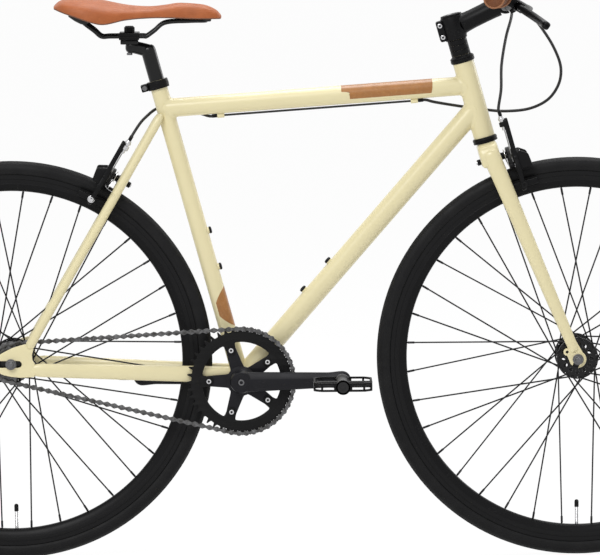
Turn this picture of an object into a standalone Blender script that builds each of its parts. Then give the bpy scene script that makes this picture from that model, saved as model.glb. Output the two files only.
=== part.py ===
"""Single-speed bicycle, modelled as its separate pieces at real size.

Metres, +Z up, +X towards the front wheel, +Y to the rider's left. The origin is on the ground,
midway between the two wheels. The drive side, with the chain, is at -Y.
"""

import math

import bmesh
import bpy
from mathutils import Matrix, Vector

# Clearances
GAP = 0.0003
SEAT_GAP = 0.0004
FLAT_ANGLE = math.radians(0.05)

# Wheels
WHEELBASE = 0.957
TYRE_RADIUS = 0.339
TYRE_WIDTH = 0.028
TYRE_TREAD_FLAT = 0.0072
TYRE_WALL = 0.0028
TYRE_SHOULDER_RISE = 0.25
TYRE_SHOULDER_SHARE = 0.97
RIM_RADIUS = 0.3165
RIM_DEPTH = 0.0285
RIM_WIDTH = 0.023
RIM_LIP = 0.0018
RIM_NOSE = 0.007
BRAKE_TRACK_HEIGHT = 0.0154
BEAD_DEPTH = 0.0045
WHEEL_STEPS = 32
SPOKE_RADIUS = 0.00115
SPOKES_PER_SIDE = 18
SPOKE_CROSSES = 3
SPOKE_CROSSING_OFFSET = 0.0007
VALVE_RADIUS = 0.003
VALVE_LENGTH = 0.042
VALVE_SIDES = 12
FRONT_VALVE_ANGLE = math.radians(-90.0)
REAR_VALVE_ANGLE = math.radians(-87.5)

# Hubs and axles
FRONT_HUB_WIDTH = 0.100
REAR_HUB_WIDTH = 0.120
FRONT_FLANGE_Y = 0.036
REAR_FLANGE_Y = 0.031
FLANGE_RADIUS = 0.036
FLANGE_THICKNESS = 0.0035
HUB_BARREL_RADIUS = 0.015
HUB_END_RADIUS = 0.0085
HUB_CONE_LENGTH = 0.0045
AXLE_RADIUS = 0.0048
AXLE_NUT_RADIUS = 0.0086
AXLE_NUT_LENGTH = 0.0085
FRONT_DROPOUT_THICKNESS = 0.005
REAR_DROPOUT_THICKNESS = 0.006

# Drive
CHAIN_PITCH = 0.0127
CHAIN_LINKS = 92
RING_TEETH = 44
SPROCKET_TEETH = 16
CHAIN_LINE = 0.042
TOOTH_THICKNESS = 0.0028
CHAIN_INNER_WIDTH = 0.0034
CHAIN_OUTER_WIDTH = 0.0078
CHAIN_HEIGHT = 0.0083
CHAIN_ROLLER_RADIUS = 0.0036
CHAIN_ROLLER_SIDES = 4
TOOTH_HEIGHT = 0.0036
TOOTH_ROOT = 0.0041
TOOTH_TIP_HALF_WIDTH = 0.0009
TOOTH_ROOT_HALF_WIDTH = 0.0034
RING_BAND_INNER_RADIUS = 0.071
BOLT_CIRCLE_RADIUS = 0.055
SPIDER_ARMS = 5
SPIDER_FIRST_ANGLE = math.radians(36.0)
SPIDER_ARM_WIDTH = 0.022
SPIDER_ARM_THICKNESS = 0.0045
RING_TAB_MARGIN = 0.001
RING_TAB_DEPTH_SHARE = 0.8
RING_TAB_WIDTH_SHARE = 0.9
RING_TAB_TURNS = (-80, -40, 0, 40, 80)
CRANK_LENGTH = 0.170
CRANK_ANGLE = math.radians(1.5)
CRANK_THICKNESS = 0.012
CRANK_ROOT_RADIUS = 0.0175
CRANK_EYE_RADIUS = 0.0145
CRANK_ROOT_Y = 0.058
CRANK_EYE_Y = 0.071
CRANK_BOSS_RADIUS = 0.019
CRANK_BOSS_STAND = 0.001
CRANK_ROOT_ARC = (math.radians(95), math.radians(265))
CRANK_EYE_ARC = (math.radians(-88), math.radians(88))
SPINDLE_RADIUS = 0.0085
SPINDLE_HALF_LENGTH = 0.060
SPINDLE_CLEARANCE = 0.0006
CARTRIDGE_LIP_WIDTH = 0.0012
CARTRIDGE_LIP_HEIGHT = 0.0016
FREEWHEEL_RADIUS = 0.0235
FREEWHEEL_THREAD_RADIUS = 0.0172
FREEWHEEL_WIDTH = 0.014
FREEWHEEL_FLANGE_GAP = 0.0045

# Pedals
PEDAL_AXLE_RADIUS = 0.004
PEDAL_INNER_Y = 0.087
PEDAL_WIDTH = 0.096
PEDAL_LENGTH = 0.098
PEDAL_CAGE_HEIGHT = 0.016
PEDAL_CAGE_WALL = 0.0035
PEDAL_CORNER = 0.012
PEDAL_BARREL_RADIUS = 0.0125
PEDAL_WEB_WIDTH = 0.012
PEDAL_WEB_PLACE = 0.0216
PEDAL_WEB_HEIGHT = 0.0096
PEDAL_CAP_THICKNESS = 0.003
PEDAL_AXLE_SHORT = 0.004
PEDAL_BARREL_STAND = 0.001
SMALL_SIDES = 12

# Frame
BOTTOM_BRACKET_DROP = 0.034
SEAT_ANGLE = math.radians(74.7)
SEAT_TUBE_LENGTH = 0.5215
SEATPOST_CLEARANCE = 0.00035
SEAT_TUBE_WALL = 0.00125
TOP_TUBE_RADIUS = 0.0159
TOP_TUBE_BELOW_SEAT_TOP = 0.0442
TOP_TUBE_BELOW_HEAD_TOP = 0.0407
DOWN_TUBE_RADIUS = 0.01745
DOWN_TUBE_ABOVE_HEAD_BOTTOM = 0.0518
TUBE_WALL = 0.0015
HEAD_ANGLE = math.radians(74.5)
FORK_RAKE = 0.0493
HEAD_TUBE_FROM_AXLE = 0.4018
HEAD_TUBE_LENGTH = 0.1315
SHELL_RADIUS = 0.020
SHELL_WIDTH = 0.068
SHELL_WALL = 0.0028
STAY_REAR_Y = 0.063
CHAINSTAY_FRONT_Y = 0.020
CHAINSTAY_REAR_HEIGHT = 0.023
CHAINSTAY_FRONT_HEIGHT = 0.029
CHAINSTAY_FLATTEN = 0.52
CHAINSTAY_FRONT_BACK = 0.0076
CHAINSTAY_FRONT_RISE = 0.008
CHAINSTAY_REAR_REACH = 0.035
CHAINSTAY_REAR_DROP = 0.010
SEATSTAY_RADIUS = 0.008
SEATSTAY_END_GAP = 0.0007
SEATSTAY_TOP_BELOW_SEAT_TOP = 0.057
SEATSTAY_TOP_BEHIND = 0.0135
BRAKE_BRIDGE_RADIUS = 0.008
DROPOUT_SLOT_RADIUS = 0.00515
DROPOUT_SLOT_REACH = 0.003
BOTTLE_BOSS_SPACING = 0.064
BOTTLE_BOSS_RADIUS = 0.0055
BOTTLE_BOSS_HEIGHT = 0.0022
BOTTLE_THREAD_RADIUS = 0.0022
REAR_DROPOUT_BELOW = ((0.036, -0.020), (0.008, -0.013), (-0.016, -0.011))
REAR_DROPOUT_ABOVE = ((-0.018, 0.011), (0.008, 0.014))
REAR_DROPOUT_FRONT = (0.036, 0.004)
REAR_DROPOUT_END_X = -0.020
DROPOUT_STAY_REACH = (0.0315, 0.030)
SEATSTAY_TOP_GAP = 0.0042
SEAT_BOSS_FROM_CRANK = 0.194
DOWN_BOSS_FROM_CRANK = 0.184
CABLE_STOP_DROP = 0.0032
CABLE_STOP_LENGTH = 0.012
CABLE_STOP_RADIUS = 0.0042
CABLE_STOP_BORE = 0.0016
FRONT_STOP_AT = 0.4214
REAR_STOP_AT = 0.0936
SEAT_CLAMP_HEIGHT = 0.0145
SEAT_CLAMP_WALL = 0.0033
SEAT_CLAMP_LUG = 0.012
SEAT_CLAMP_LUG_WIDTH = 0.020
LUG_SINK = 0.001
BOLT_STAND = 0.002
CLAMP_SLIT = 0.0015
CLAMP_BOLT_RADIUS = 0.003
TUBE_SIDES = 16

# Headset, fork and stem
STEERER_RADIUS = 0.0143
STEERER_BELOW_STEM = 0.002
CUP_CLEARANCE = 0.0009
CUP_SKIRT_WALL = 0.0007
LOWER_CUP_STAND = 0.003
LOWER_CUP_HEIGHT = 0.009
UPPER_CUP_STAND = 0.0025
UPPER_CUP_HEIGHT = 0.006
HEADSET_COVER_HEIGHT = 0.006
SPACER_WALL = 0.0022
SPACER_HEIGHT = 0.009
SPACER_COUNT = 3
CUP_SKIRT = 0.012
STEM_CLAMP_WALL = 0.0042
STEM_CLAMP_HEIGHT = 0.0395
STEM_LENGTH = 0.0964
STEM_RISE = math.radians(10.5)
STEM_EXTENSION_RADIUS = 0.0165
BAR_CLAMP_RADIUS = 0.018
BAR_CLAMP_WIDTH = 0.042
STEM_CAP_THICKNESS = 0.004
STEM_LUG = 0.012
STEM_LUG_SINK = 0.003
STEM_LUG_SHORT = 0.004
STEM_CAP_INSET = 0.0015
STEM_BARREL_SINK = 0.003
STEM_LUG_WIDTH = 0.022
STEM_BOLT_SPACING = 0.020
STEERER_WALL = 0.0016
CROWN_HEIGHT = 0.040
CROWN_DEPTH = 0.034
CROWN_WIDTH = 0.080
CROWN_SHOULDER = (0.034, 0.007)
CROWN_SIDE_DROP = 0.020
BLADE_TOP_RADIUS = 0.015
BLADE_BOTTOM_RADIUS = 0.0088
BLADE_FLATTEN = 0.68
BLADE_TOP_Y = 0.033
BLADE_TOP_FORWARD = 0.002
BLADE_END_FORWARD = 0.047
BLADE_END_RISE = 0.018
FORK_END_RADIUS = 0.014
FORK_SLOT_ANGLE = math.radians(250.0)
FORK_END_FRONT_ANGLE = math.radians(55.0)
FORK_SLOT_LIP = math.radians(28.0)
FORK_LIP_REACH = 0.0133
FORK_END_REAR = (-0.0125, -0.008)
FORK_EYELET_ARC = (math.radians(270.0), math.radians(70.0))
FORK_BLADE_SHARE = 0.8
FORK_EYELET = (-0.0184, 0.0125)
FORK_EYELET_RADIUS = 0.0063
FORK_EYELET_BORE = 0.0025

# Handlebar
BAR_CENTRE_RADIUS = 0.0127
BAR_RADIUS = 0.0111
BAR_HALF_WIDTH = 0.288
BAR_RISE = 0.020
BAR_BACKSWEEP = math.radians(6.8)
BAR_BEND_END_Y = 0.115
BAR_BEND_BACK = 0.010
BAR_END_RISE = 0.021
BAR_STRAIGHT_Y = 0.040
BAR_INNER_BENDS = ((0.0, 0.035, 0.0), (-0.002, 0.060, 0.003), (-0.006, 0.090, 0.014))
BAR_BEND_SHARE = 0.15
GRIP_LENGTH = 0.118
GRIP_RADIUS = 0.018
GRIP_FLANGE_RADIUS = 0.0215
GRIP_FLANGE_THICKNESS = 0.005
GRIP_END_THICKNESS = 0.002
GRIP_END_HOLE = 0.003
BAR_STEP = 0.022

# Levers
LEVER_DROOP = math.radians(33.0)
LEVER_CLAMP_INSET = 0.012
LEVER_CLAMP_WIDTH = 0.014
LEVER_CLAMP_RADIUS = 0.0155
LEVER_PIVOT_REACH = 0.036
LEVER_PIVOT_INBOARD = 0.012
LEVER_THICKNESS = 0.010
LEVER_CHEEK = 0.003
LEVER_PIN_RADIUS = 0.0025
LEVER_SLOT_REACH = 0.0245
LEVER_SLOT_INBOARD = 0.021
LEVER_SLOT_SIZE = 0.08
LEVER_PIN_STAND = 0.001
LEVER_CABLE_REACH = 0.028
LEVER_ADJUSTER_END = 0.040
BRACKET_ARM = ((0.0135, 0.0, 0.016), (0.024, -0.006, 0.017), (0.036, -0.012, 0.015), (0.042, -0.014, 0.010))
BRACKET_LUG = ((0.0145, -0.004, 0.015), (0.027, -0.027, 0.015))
BRACKET_LUG_THICKNESS = 0.0112
ADJUSTER_SINK = 0.019
LEVER_BLADE = ((0.030, -0.013, 0.008), (0.036, -0.012, 0.013), (0.048, 0.004, 0.014),
               (0.066, 0.024, 0.0125), (0.080, 0.054, 0.011), (0.089, 0.088, 0.011), (0.095, 0.122, 0.013))
ADJUSTER_RADIUS = 0.0045

# Brakes
BRAKE_BOLT_BELOW_HEAD = 0.0398
FRONT_BRAKE_STANDOFF = 0.020
REAR_BRAKE_STANDOFF = 0.010
REAR_BRIDGE_FROM_STAY_END = 0.3156
BRAKE_BOLT_RADIUS = 0.0029
BRAKE_HOLE_RADIUS = 0.0033
BRAKE_ARM_THICKNESS = 0.0082
BRAKE_INNER_ARM_X = 0.012
BRAKE_OUTER_ARM_X = 0.0207
BRAKE_PAD_X = 0.022
BRAKE_PAD_LENGTH = 0.050
BRAKE_PAD_HEIGHT = 0.010
BRAKE_PAD_DEPTH = 0.009
BRAKE_PAD_CLEARANCE = 0.002
BRAKE_PAD_BELOW_RIM = 0.0085
BRAKE_ARM_Y = 0.027
BRAKE_ADJUSTER_Y = 0.031
BRAKE_ADJUSTER_TOP = 0.068
BRAKE_ADJUSTER_LENGTH = 0.024
BRAKE_WIRE_END = -0.0095
BRAKE_CABLE_X = 0.015
BRAKE_CABLE_BORE = 0.0014
BRAKE_WASHER_RADIUS = 0.006
BRAKE_NUT_RADIUS = 0.0055
BRAKE_NUT_THICKNESS = 0.006
BRAKE_PAD_POST_RADIUS = 0.0035
BRAKE_PAD_POST_STAND = 0.007
BRAKE_ARM_BELOW_PAD = 0.005
BRAKE_ARM_TOP_BELOW = 0.010
BRAKE_OUTER_LIMB = ((0.036, -0.028, 0.010), (0.031, 0.0, 0.011))
BRAKE_OUTER_WEB = ((0.033, -0.006, 0.014), (0.0, 0.0, 0.016), (-0.007, 0.0, 0.012))
BRAKE_INNER_LIMB = ((0.036, -0.028, 0.010), (0.027, 0.0, 0.011), (0.0, 0.003, 0.014),
                    (-0.018, -0.006, 0.010), (-0.031, -0.017, 0.009))
BRAKE_ARM_FOOT_WIDTH = 0.009
BRAKE_ARM_TOP_WIDTH = 0.010
BRAKE_STEP_OVERLAP = 0.008

# Saddle
SEATPOST_RADIUS = 0.0127
SEATPOST_INSIDE = 0.110
SEATPOST_SHOWN = 0.066
RAIL_RADIUS = 0.0035
RAIL_HALF_SPACING = 0.022
SADDLE_REAR_BEHIND = 0.1782
SADDLE_LENGTH = 0.2822
SADDLE_CLAMP_BEHIND = 0.0468
SADDLE_CLAMP_LENGTH = 0.034
SADDLE_CLAMP_HEIGHT = 0.012
RAIL_ABOVE_SEAT_TOP = 0.0802
CRADLE_HEIGHT = 0.008
CRADLE_LENGTH = 0.030
RAIL_REAR_AT = 0.0462
RAIL_REAR_Y = 0.030
RAIL_NOSE_AT = 0.2562
RAIL_REAR_RUN = ((0.0682, 0.026, 0.011),)
RAIL_STRAIGHT = (0.0842, 0.1012, 0.1312, 0.1562, 0.1642)
RAIL_FRONT_RUN = ((0.1782, 0.0195, 0.012), (0.2002, 0.0165, 0.0215))
RAIL_NOSE_RUN = ((0.2282, 0.013), (0.2512, 0.008))
RAIL_END_STRAIGHT = 0.006
SHELL_ENDS = (0.06, 0.95)
RAIL_STEP = 0.013
SHELL_RAIL_MARGIN = 0.0003
RAIL_END_DROP = 0.0024
CLAMP_KNOB_RADIUS = 0.009
CLAMP_KNOB_ABOVE_RAIL = 0.0168
CLAMP_BOLT_BELOW_RAIL = 0.0282
SEATPOST_HEAD_RADIUS = 0.0115
SADDLE_RECESS = 0.007
SHELL_INSET = 0.006
SHELL_RISE = 0.001
SHELL_COVER_GAP = 0.0009
SADDLE_CROWN_POWER = 0.6
SADDLE_RECESS_POWER = 0.35
SADDLE_SIDE_POWER = 0.8
SADDLE_SEGMENTS = 16
SADDLE_RINGS = 18
SADDLE_TOP = ((0.0, 0.0518), (0.08, 0.0628), (0.2, 0.0653), (0.43, 0.0528), (0.57, 0.0498), (0.67, 0.0523),
              (0.74, 0.0551), (0.84, 0.0538), (0.91, 0.0508), (0.97, 0.0428), (1.0, 0.0338))
SADDLE_BOTTOM = ((0.0, 0.0418), (0.12, 0.0378), (0.22, 0.0298), (0.3, 0.0258), (0.43, 0.0308), (0.57, 0.0308),
                 (0.7, 0.0303), (0.84, 0.0283), (1.0, 0.0278))
SADDLE_HALF_WIDTH = ((0.0, 0.040), (0.06, 0.062), (0.15, 0.073), (0.25, 0.074), (0.38, 0.062),
                     (0.5, 0.045), (0.6, 0.033), (0.75, 0.024), (0.9, 0.021), (0.97, 0.016), (1.0, 0.008))

# Cables
HOUSING_RADIUS = 0.0025
WIRE_RADIUS = 0.0009
CABLE_STEP = 0.015
CABLE_END_LEAD = 0.013
FRONT_CABLE_ROUTE = ((0.374, 0.085, 0.941), (0.373, 0.055, 0.915), (0.362, 0.025, 0.880),
                     (0.353, -0.005, 0.835), (0.351, -0.028, 0.795))
REAR_CABLE_ROUTE = ((0.392, -0.094, 0.928), (0.423, -0.084, 0.887), (0.440, -0.068, 0.858),
                    (0.451, -0.050, 0.826), (0.445, -0.030, 0.795), (0.423, -0.010, 0.768),
                    (0.392, 0.008, 0.757), (0.358, 0.020, 0.755), (0.328, 0.027, 0.757),
                    (0.282, 0.022, 0.764), (0.240, 0.008, 0.772))
REAR_CABLE_END_ROUTE = ((-0.160, 0.010, 0.752), (-0.185, 0.019, 0.757), (-0.212, 0.021, 0.767),
                        (-0.232, 0.013, 0.763), (-0.248, 0.001, 0.751), (-0.258, -0.014, 0.741))

# Values worked out from the sizes above
CUP_INNER_RADIUS = STEERER_RADIUS + CUP_CLEARANCE
HEAD_TUBE_RADIUS = CUP_INNER_RADIUS + CUP_SKIRT_WALL + 2 * GAP + TUBE_WALL
LOWER_CUP_RADIUS = HEAD_TUBE_RADIUS + LOWER_CUP_STAND
UPPER_CUP_RADIUS = HEAD_TUBE_RADIUS + UPPER_CUP_STAND
SPACER_RADIUS = STEERER_RADIUS + SPACER_WALL
STEM_CLAMP_RADIUS = STEERER_RADIUS + STEM_CLAMP_WALL
SEAT_TUBE_RADIUS = SEATPOST_RADIUS + SEATPOST_CLEARANCE + SEAT_TUBE_WALL
RING_RADIUS = CHAIN_PITCH / (2 * math.sin(math.pi / RING_TEETH))
SPROCKET_RADIUS = CHAIN_PITCH / (2 * math.sin(math.pi / SPROCKET_TEETH))
REAR_AXLE = Vector((-WHEELBASE / 2, 0.0, TYRE_RADIUS))
FRONT_AXLE = Vector((WHEELBASE / 2, 0.0, TYRE_RADIUS))
FORWARD = Vector((1.0, 0.0, 0.0))
LEFT = Vector((0.0, 1.0, 0.0))
UP = Vector((0.0, 0.0, 1.0))
SIDES = {"right": -1, "left": 1}


def chain_length_in_links(centres):
    """Links of chain that go round the two sprockets when their centres are this far apart."""
    lean = math.asin((RING_RADIUS - SPROCKET_RADIUS) / centres)
    tangent = centres * math.cos(lean)
    wrapped = RING_TEETH * (math.pi + 2 * lean) + SPROCKET_TEETH * (math.pi - 2 * lean)
    return 2 * tangent / CHAIN_PITCH + wrapped / (2 * math.pi)


def chainstay_length():
    """Distance from crank to rear axle at which the chain is just taut."""
    low = RING_RADIUS + SPROCKET_RADIUS
    high = CHAIN_LINKS * CHAIN_PITCH
    for _ in range(60):
        middle = (low + high) / 2
        if chain_length_in_links(middle) < CHAIN_LINKS:
            low = middle
        else:
            high = middle
    return (low + high) / 2


CHAINSTAY = chainstay_length()
CRANK_CENTRE = REAR_AXLE + Vector((
    math.sqrt(CHAINSTAY ** 2 - BOTTOM_BRACKET_DROP ** 2), 0.0, -BOTTOM_BRACKET_DROP))


def frame_matrix(origin, x_axis, z_axis):
    """Placement with the given X and Z directions."""
    x_dir = Vector(x_axis).normalized()
    y_dir = Vector(z_axis).normalized().cross(x_dir).normalized()
    z_dir = x_dir.cross(y_dir)
    turn = Matrix((x_dir, y_dir, z_dir)).transposed().to_4x4()
    return Matrix.Translation(origin) @ turn


STEERING_UP = Vector((-math.cos(HEAD_ANGLE), 0.0, math.sin(HEAD_ANGLE)))
STEERING_FORWARD = Vector((math.sin(HEAD_ANGLE), 0.0, math.cos(HEAD_ANGLE)))
STEERING_FRAME = frame_matrix(FRONT_AXLE - STEERING_FORWARD * FORK_RAKE, STEERING_FORWARD, STEERING_UP)
SEAT_UP = Vector((-math.cos(SEAT_ANGLE), 0.0, math.sin(SEAT_ANGLE)))
SEAT_FORWARD = Vector((math.sin(SEAT_ANGLE), 0.0, math.cos(SEAT_ANGLE)))
SEAT_FRAME = frame_matrix(CRANK_CENTRE, SEAT_FORWARD, SEAT_UP)

HEAD_BOTTOM = HEAD_TUBE_FROM_AXLE
HEAD_TOP = HEAD_BOTTOM + HEAD_TUBE_LENGTH
CROWN_TOP = HEAD_BOTTOM - LOWER_CUP_HEIGHT - 2 * GAP
COVER_BOTTOM = HEAD_TOP + UPPER_CUP_HEIGHT + 2 * GAP
SPACER_BOTTOM = COVER_BOTTOM + HEADSET_COVER_HEIGHT + GAP
STEM_BOTTOM = SPACER_BOTTOM + SPACER_COUNT * SPACER_HEIGHT + GAP
STEM_TOP = STEM_BOTTOM + STEM_CLAMP_HEIGHT
STEM_CENTRE_S = (STEM_BOTTOM + STEM_TOP) / 2
STEERER_TOP = STEM_TOP - STEERER_BELOW_STEM
BRAKE_BOLT_S = HEAD_BOTTOM - BRAKE_BOLT_BELOW_HEAD


def steering_point(forward, left, up):
    """World place of a point given along the steering axis and forward of it."""
    return STEERING_FRAME @ Vector((forward, left, up))


def seat_point(forward, left, up):
    """World place of a point given along the seat tube and forward of it."""
    return SEAT_FRAME @ Vector((forward, left, up))


STEM_DIRECTION = STEERING_FORWARD * math.cos(STEM_RISE) + STEERING_UP * math.sin(STEM_RISE)
BAR_CENTRE = steering_point(0.0, 0.0, STEM_CENTRE_S) + STEM_DIRECTION * STEM_LENGTH
SEATSTAY_BOTTOM = REAR_AXLE + Vector((DROPOUT_STAY_REACH[0], 0.0, DROPOUT_STAY_REACH[1]))
SEATSTAY_TOP = seat_point(-SEATSTAY_TOP_BEHIND, 0.0, SEAT_TUBE_LENGTH - SEATSTAY_TOP_BELOW_SEAT_TOP)
STAY_TOP_Y = SEAT_TUBE_RADIUS + SEATSTAY_TOP_GAP
STAY_UP = (SEATSTAY_TOP - SEATSTAY_BOTTOM).normalized()
STAY_BACK = Vector((-STAY_UP.z, 0.0, STAY_UP.x))

# Finishes: colour, roughness, metallic
FINISHES = {
    "frame_paint": ((0.86, 0.80, 0.61), 0.35, 0.0),
    "black_alloy": ((0.025, 0.025, 0.027), 0.35, 0.6),
    "grey_alloy": ((0.09, 0.09, 0.10), 0.45, 0.6),
    "black_steel": ((0.03, 0.03, 0.03), 0.45, 0.4),
    "chain_steel": ((0.10, 0.10, 0.10), 0.40, 0.8),
    "bright_steel": ((0.70, 0.70, 0.70), 0.25, 1.0),
    "tyre_rubber": ((0.02, 0.02, 0.02), 0.75, 0.0),
    "tan_cover": ((0.50, 0.22, 0.10), 0.55, 0.0),
    "black_plastic": ((0.02, 0.02, 0.02), 0.50, 0.0),
}


def start_scene():
    """Removes the scene's objects and makes the collection for the bicycle."""
    for old in list(bpy.data.objects):
        bpy.data.objects.remove(old, do_unlink=True)
    pieces = bpy.data.collections.new("single_speed_bicycle")
    bpy.context.scene.collection.children.link(pieces)
    return pieces


PIECES = start_scene()
BODIES = {}


def make_materials():
    """One Principled material for each finish."""
    made = {}
    for name, (colour, roughness, metallic) in FINISHES.items():
        finish = bpy.data.materials.new(name)
        finish.use_nodes = True
        shader = finish.node_tree.nodes["Principled BSDF"]
        shader.inputs["Base Color"].default_value = (*colour, 1.0)
        shader.inputs["Roughness"].default_value = roughness
        shader.inputs["Metallic"].default_value = metallic
        made[name] = finish
    return made


MATERIALS = make_materials()


def add_body(name, place, parent=None):
    """Empty on a joint's axis, which carries the pieces that move with that joint."""
    body = bpy.data.objects.new(name + "_axis", None)
    PIECES.objects.link(body)
    body.empty_display_size = 0.05
    body.matrix_world = place
    if parent:
        body.parent = BODIES[parent][0]
        body.matrix_parent_inverse = BODIES[parent][1].inverted()
    BODIES[name] = (body, place.copy())


def join_flat_faces(mesh):
    """Joins faces that lie in one plane, which the cuts and unions leave in slivers."""
    shape = bmesh.new()
    shape.from_mesh(mesh)
    bmesh.ops.dissolve_limit(shape, angle_limit=FLAT_ANGLE, use_dissolve_boundaries=False,
                             verts=shape.verts, edges=shape.edges)
    bmesh.ops.triangulate(shape, faces=shape.faces)
    shape.to_mesh(mesh)
    shape.free()


def finish_piece(piece, name, finish, body=None):
    """Names a piece, gives it its material and hangs it on the body it moves with."""
    join_flat_faces(piece.data)
    piece.name = name
    piece.data.name = name
    piece.data.materials.clear()
    piece.data.materials.append(MATERIALS[finish])
    piece.data.shade_smooth()
    piece.data.set_sharp_from_angle(angle=math.radians(32))
    if body:
        piece.parent = BODIES[body][0]
        piece.matrix_parent_inverse = BODIES[body][1].inverted()


def new_object(data, place):
    """Object for a mesh or curve at the given place."""
    made = bpy.data.objects.new("shape", data)
    PIECES.objects.link(made)
    made.matrix_world = place
    return made


def from_bmesh(shape, place):
    """Object made from a bmesh."""
    mesh = bpy.data.meshes.new("shape")
    shape.to_mesh(mesh)
    shape.free()
    return new_object(mesh, place)


def as_mesh(piece):
    """Plain mesh object of a piece as its curve or modifiers make it."""
    bpy.context.view_layer.update()
    graph = bpy.context.evaluated_depsgraph_get()
    mesh = bpy.data.meshes.new_from_object(piece.evaluated_get(graph))
    shape = bmesh.new()
    shape.from_mesh(mesh)
    bmesh.ops.remove_doubles(shape, verts=shape.verts, dist=1e-6)
    shape.to_mesh(mesh)
    shape.free()
    made = new_object(mesh, piece.matrix_world.copy())
    bpy.data.objects.remove(piece, do_unlink=True)
    return made


def combine(base, tool, operation):
    """Boolean of two mesh objects; the tool is used up."""
    cut = base.modifiers.new(operation.lower(), "BOOLEAN")
    cut.operation = operation
    cut.object = tool
    made = as_mesh(base)
    bpy.data.objects.remove(tool, do_unlink=True)
    return made


def union(base, *tools):
    """Base joined with each tool."""
    for tool in tools:
        base = combine(base, tool, "UNION")
    return base


def cut(base, *tools):
    """Base with each tool taken out of it."""
    for tool in tools:
        base = combine(base, tool, "DIFFERENCE")
    return base


def box(place, size):
    """Block of the given size, centred on its place."""
    shape = bmesh.new()
    bmesh.ops.create_cube(shape, size=1.0, matrix=Matrix.Diagonal((*size, 1.0)))
    return from_bmesh(shape, place)


def cone(place, low_radius, high_radius, low, high, sides, flatten=1.0):
    """Cylinder or cone along local Z from low to high; flatten narrows it along local Y."""
    shape = bmesh.new()
    lift = Matrix.Translation((0.0, 0.0, (low + high) / 2))
    bmesh.ops.create_cone(shape, cap_ends=True, segments=sides, radius1=low_radius,
                          radius2=high_radius, depth=high - low,
                          matrix=Matrix.Diagonal((1.0, flatten, 1.0, 1.0)) @ lift)
    return from_bmesh(shape, place)


def cylinder(place, radius, low, high, sides):
    """Round bar along local Z from low to high."""
    return cone(place, radius, radius, low, high, sides)


def between(start, end, side=LEFT):
    """Placement at start with Z towards end and Y near the given side; also the length."""
    along = Vector(end) - Vector(start)
    z_dir = along.normalized()
    if abs(z_dir.dot(side)) > 0.99:
        side = FORWARD
    x_dir = Vector(side).cross(z_dir).normalized()
    return frame_matrix(Vector(start), x_dir, z_dir), along.length


def rod(start, end, radius, sides, end_radius=None, flatten=1.0):
    """Straight round bar between two points, tapered if an end radius is given."""
    place, length = between(start, end)
    return cone(place, radius, end_radius or radius, 0.0, length, sides, flatten)


def pipe(start, end, radius, wall, sides):
    """Straight open tube between two points."""
    place, length = between(start, end)
    profile = ((radius, length), (radius, 0.0), (radius - wall, 0.0), (radius - wall, length))
    return turned(place, profile, sides)


def facet_outset(sides):
    """Ratio of the circle round a regular polygon's corners to the circle inside it."""
    return 1.0 / math.cos(math.pi / sides)


def turned(place, profile, steps):
    """Closed (radius, height) outline turned about local Z, running down its outer side.

    The turned facets lie outside the true circle, so what fits inside stays clear.
    """
    outset = facet_outset(steps)
    shape = bmesh.new()
    corners = [shape.verts.new((radius * outset, 0.0, height)) for radius, height in profile]
    for first, second in zip(corners, corners[1:] + corners[:1]):
        shape.edges.new((first, second))
    made = from_bmesh(shape, place)
    screw = made.modifiers.new("turn", "SCREW")
    screw.axis = "Z"
    screw.angle = 2 * math.pi
    screw.steps = steps
    screw.render_steps = steps
    screw.use_merge_vertices = True
    screw.merge_threshold = 1e-5
    return as_mesh(made)


def plate(place, outline, thickness, holes=()):
    """Flat plate in local XY, centred on its thickness, with the given hole outlines."""
    curve = bpy.data.curves.new("plate", "CURVE")
    curve.dimensions = "2D"
    curve.fill_mode = "BOTH"
    curve.extrude = thickness / 2
    for loop in (outline, *holes):
        spline = curve.splines.new("POLY")
        spline.points.add(len(loop) - 1)
        for point, (x, y) in zip(spline.points, loop):
            point.co = (x, y, 0.0, 1.0)
        spline.use_cyclic_u = True
    return as_mesh(new_object(curve, place))


def tube(points, radius, resolution, shares=None):
    """Round tube along points, with an optional share of the radius at each point."""
    curve = bpy.data.curves.new("tube", "CURVE")
    curve.dimensions = "3D"
    curve.bevel_depth = radius
    curve.bevel_resolution = resolution
    curve.use_fill_caps = True
    spline = curve.splines.new("POLY")
    spline.points.add(len(points) - 1)
    for index, (point, place) in enumerate(zip(spline.points, points)):
        point.co = (*place, 1.0)
        point.radius = shares[index] if shares else 1.0
    return as_mesh(new_object(curve, Matrix.Identity(4)))


def circle(radius, count, centre=(0.0, 0.0), start=0.0):
    """Points round a circle."""
    turns = [start + 2 * math.pi * index / count for index in range(count)]
    return [(centre[0] + radius * math.cos(a), centre[1] + radius * math.sin(a)) for a in turns]


def arc(radius, first, last, count, centre=(0.0, 0.0)):
    """Points along an arc, both ends included."""
    turns = [first + (last - first) * index / (count - 1) for index in range(count)]
    return [(centre[0] + radius * math.cos(a), centre[1] + radius * math.sin(a)) for a in turns]


def strip(rows):
    """Outline of a flat bar from rows of x, y and its width there."""
    line = [Vector((x, y)) for x, y, _ in rows]
    left, right = [], []
    for index, (point, (_, _, width)) in enumerate(zip(line, rows)):
        before = line[max(index - 1, 0)]
        after = line[min(index + 1, len(line) - 1)]
        ahead = (after - before).normalized()
        across = Vector((-ahead.y, ahead.x)) * width / 2
        left.append(point + across)
        right.append(point - across)
    return [tuple(p) for p in right + left[::-1]]


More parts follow.
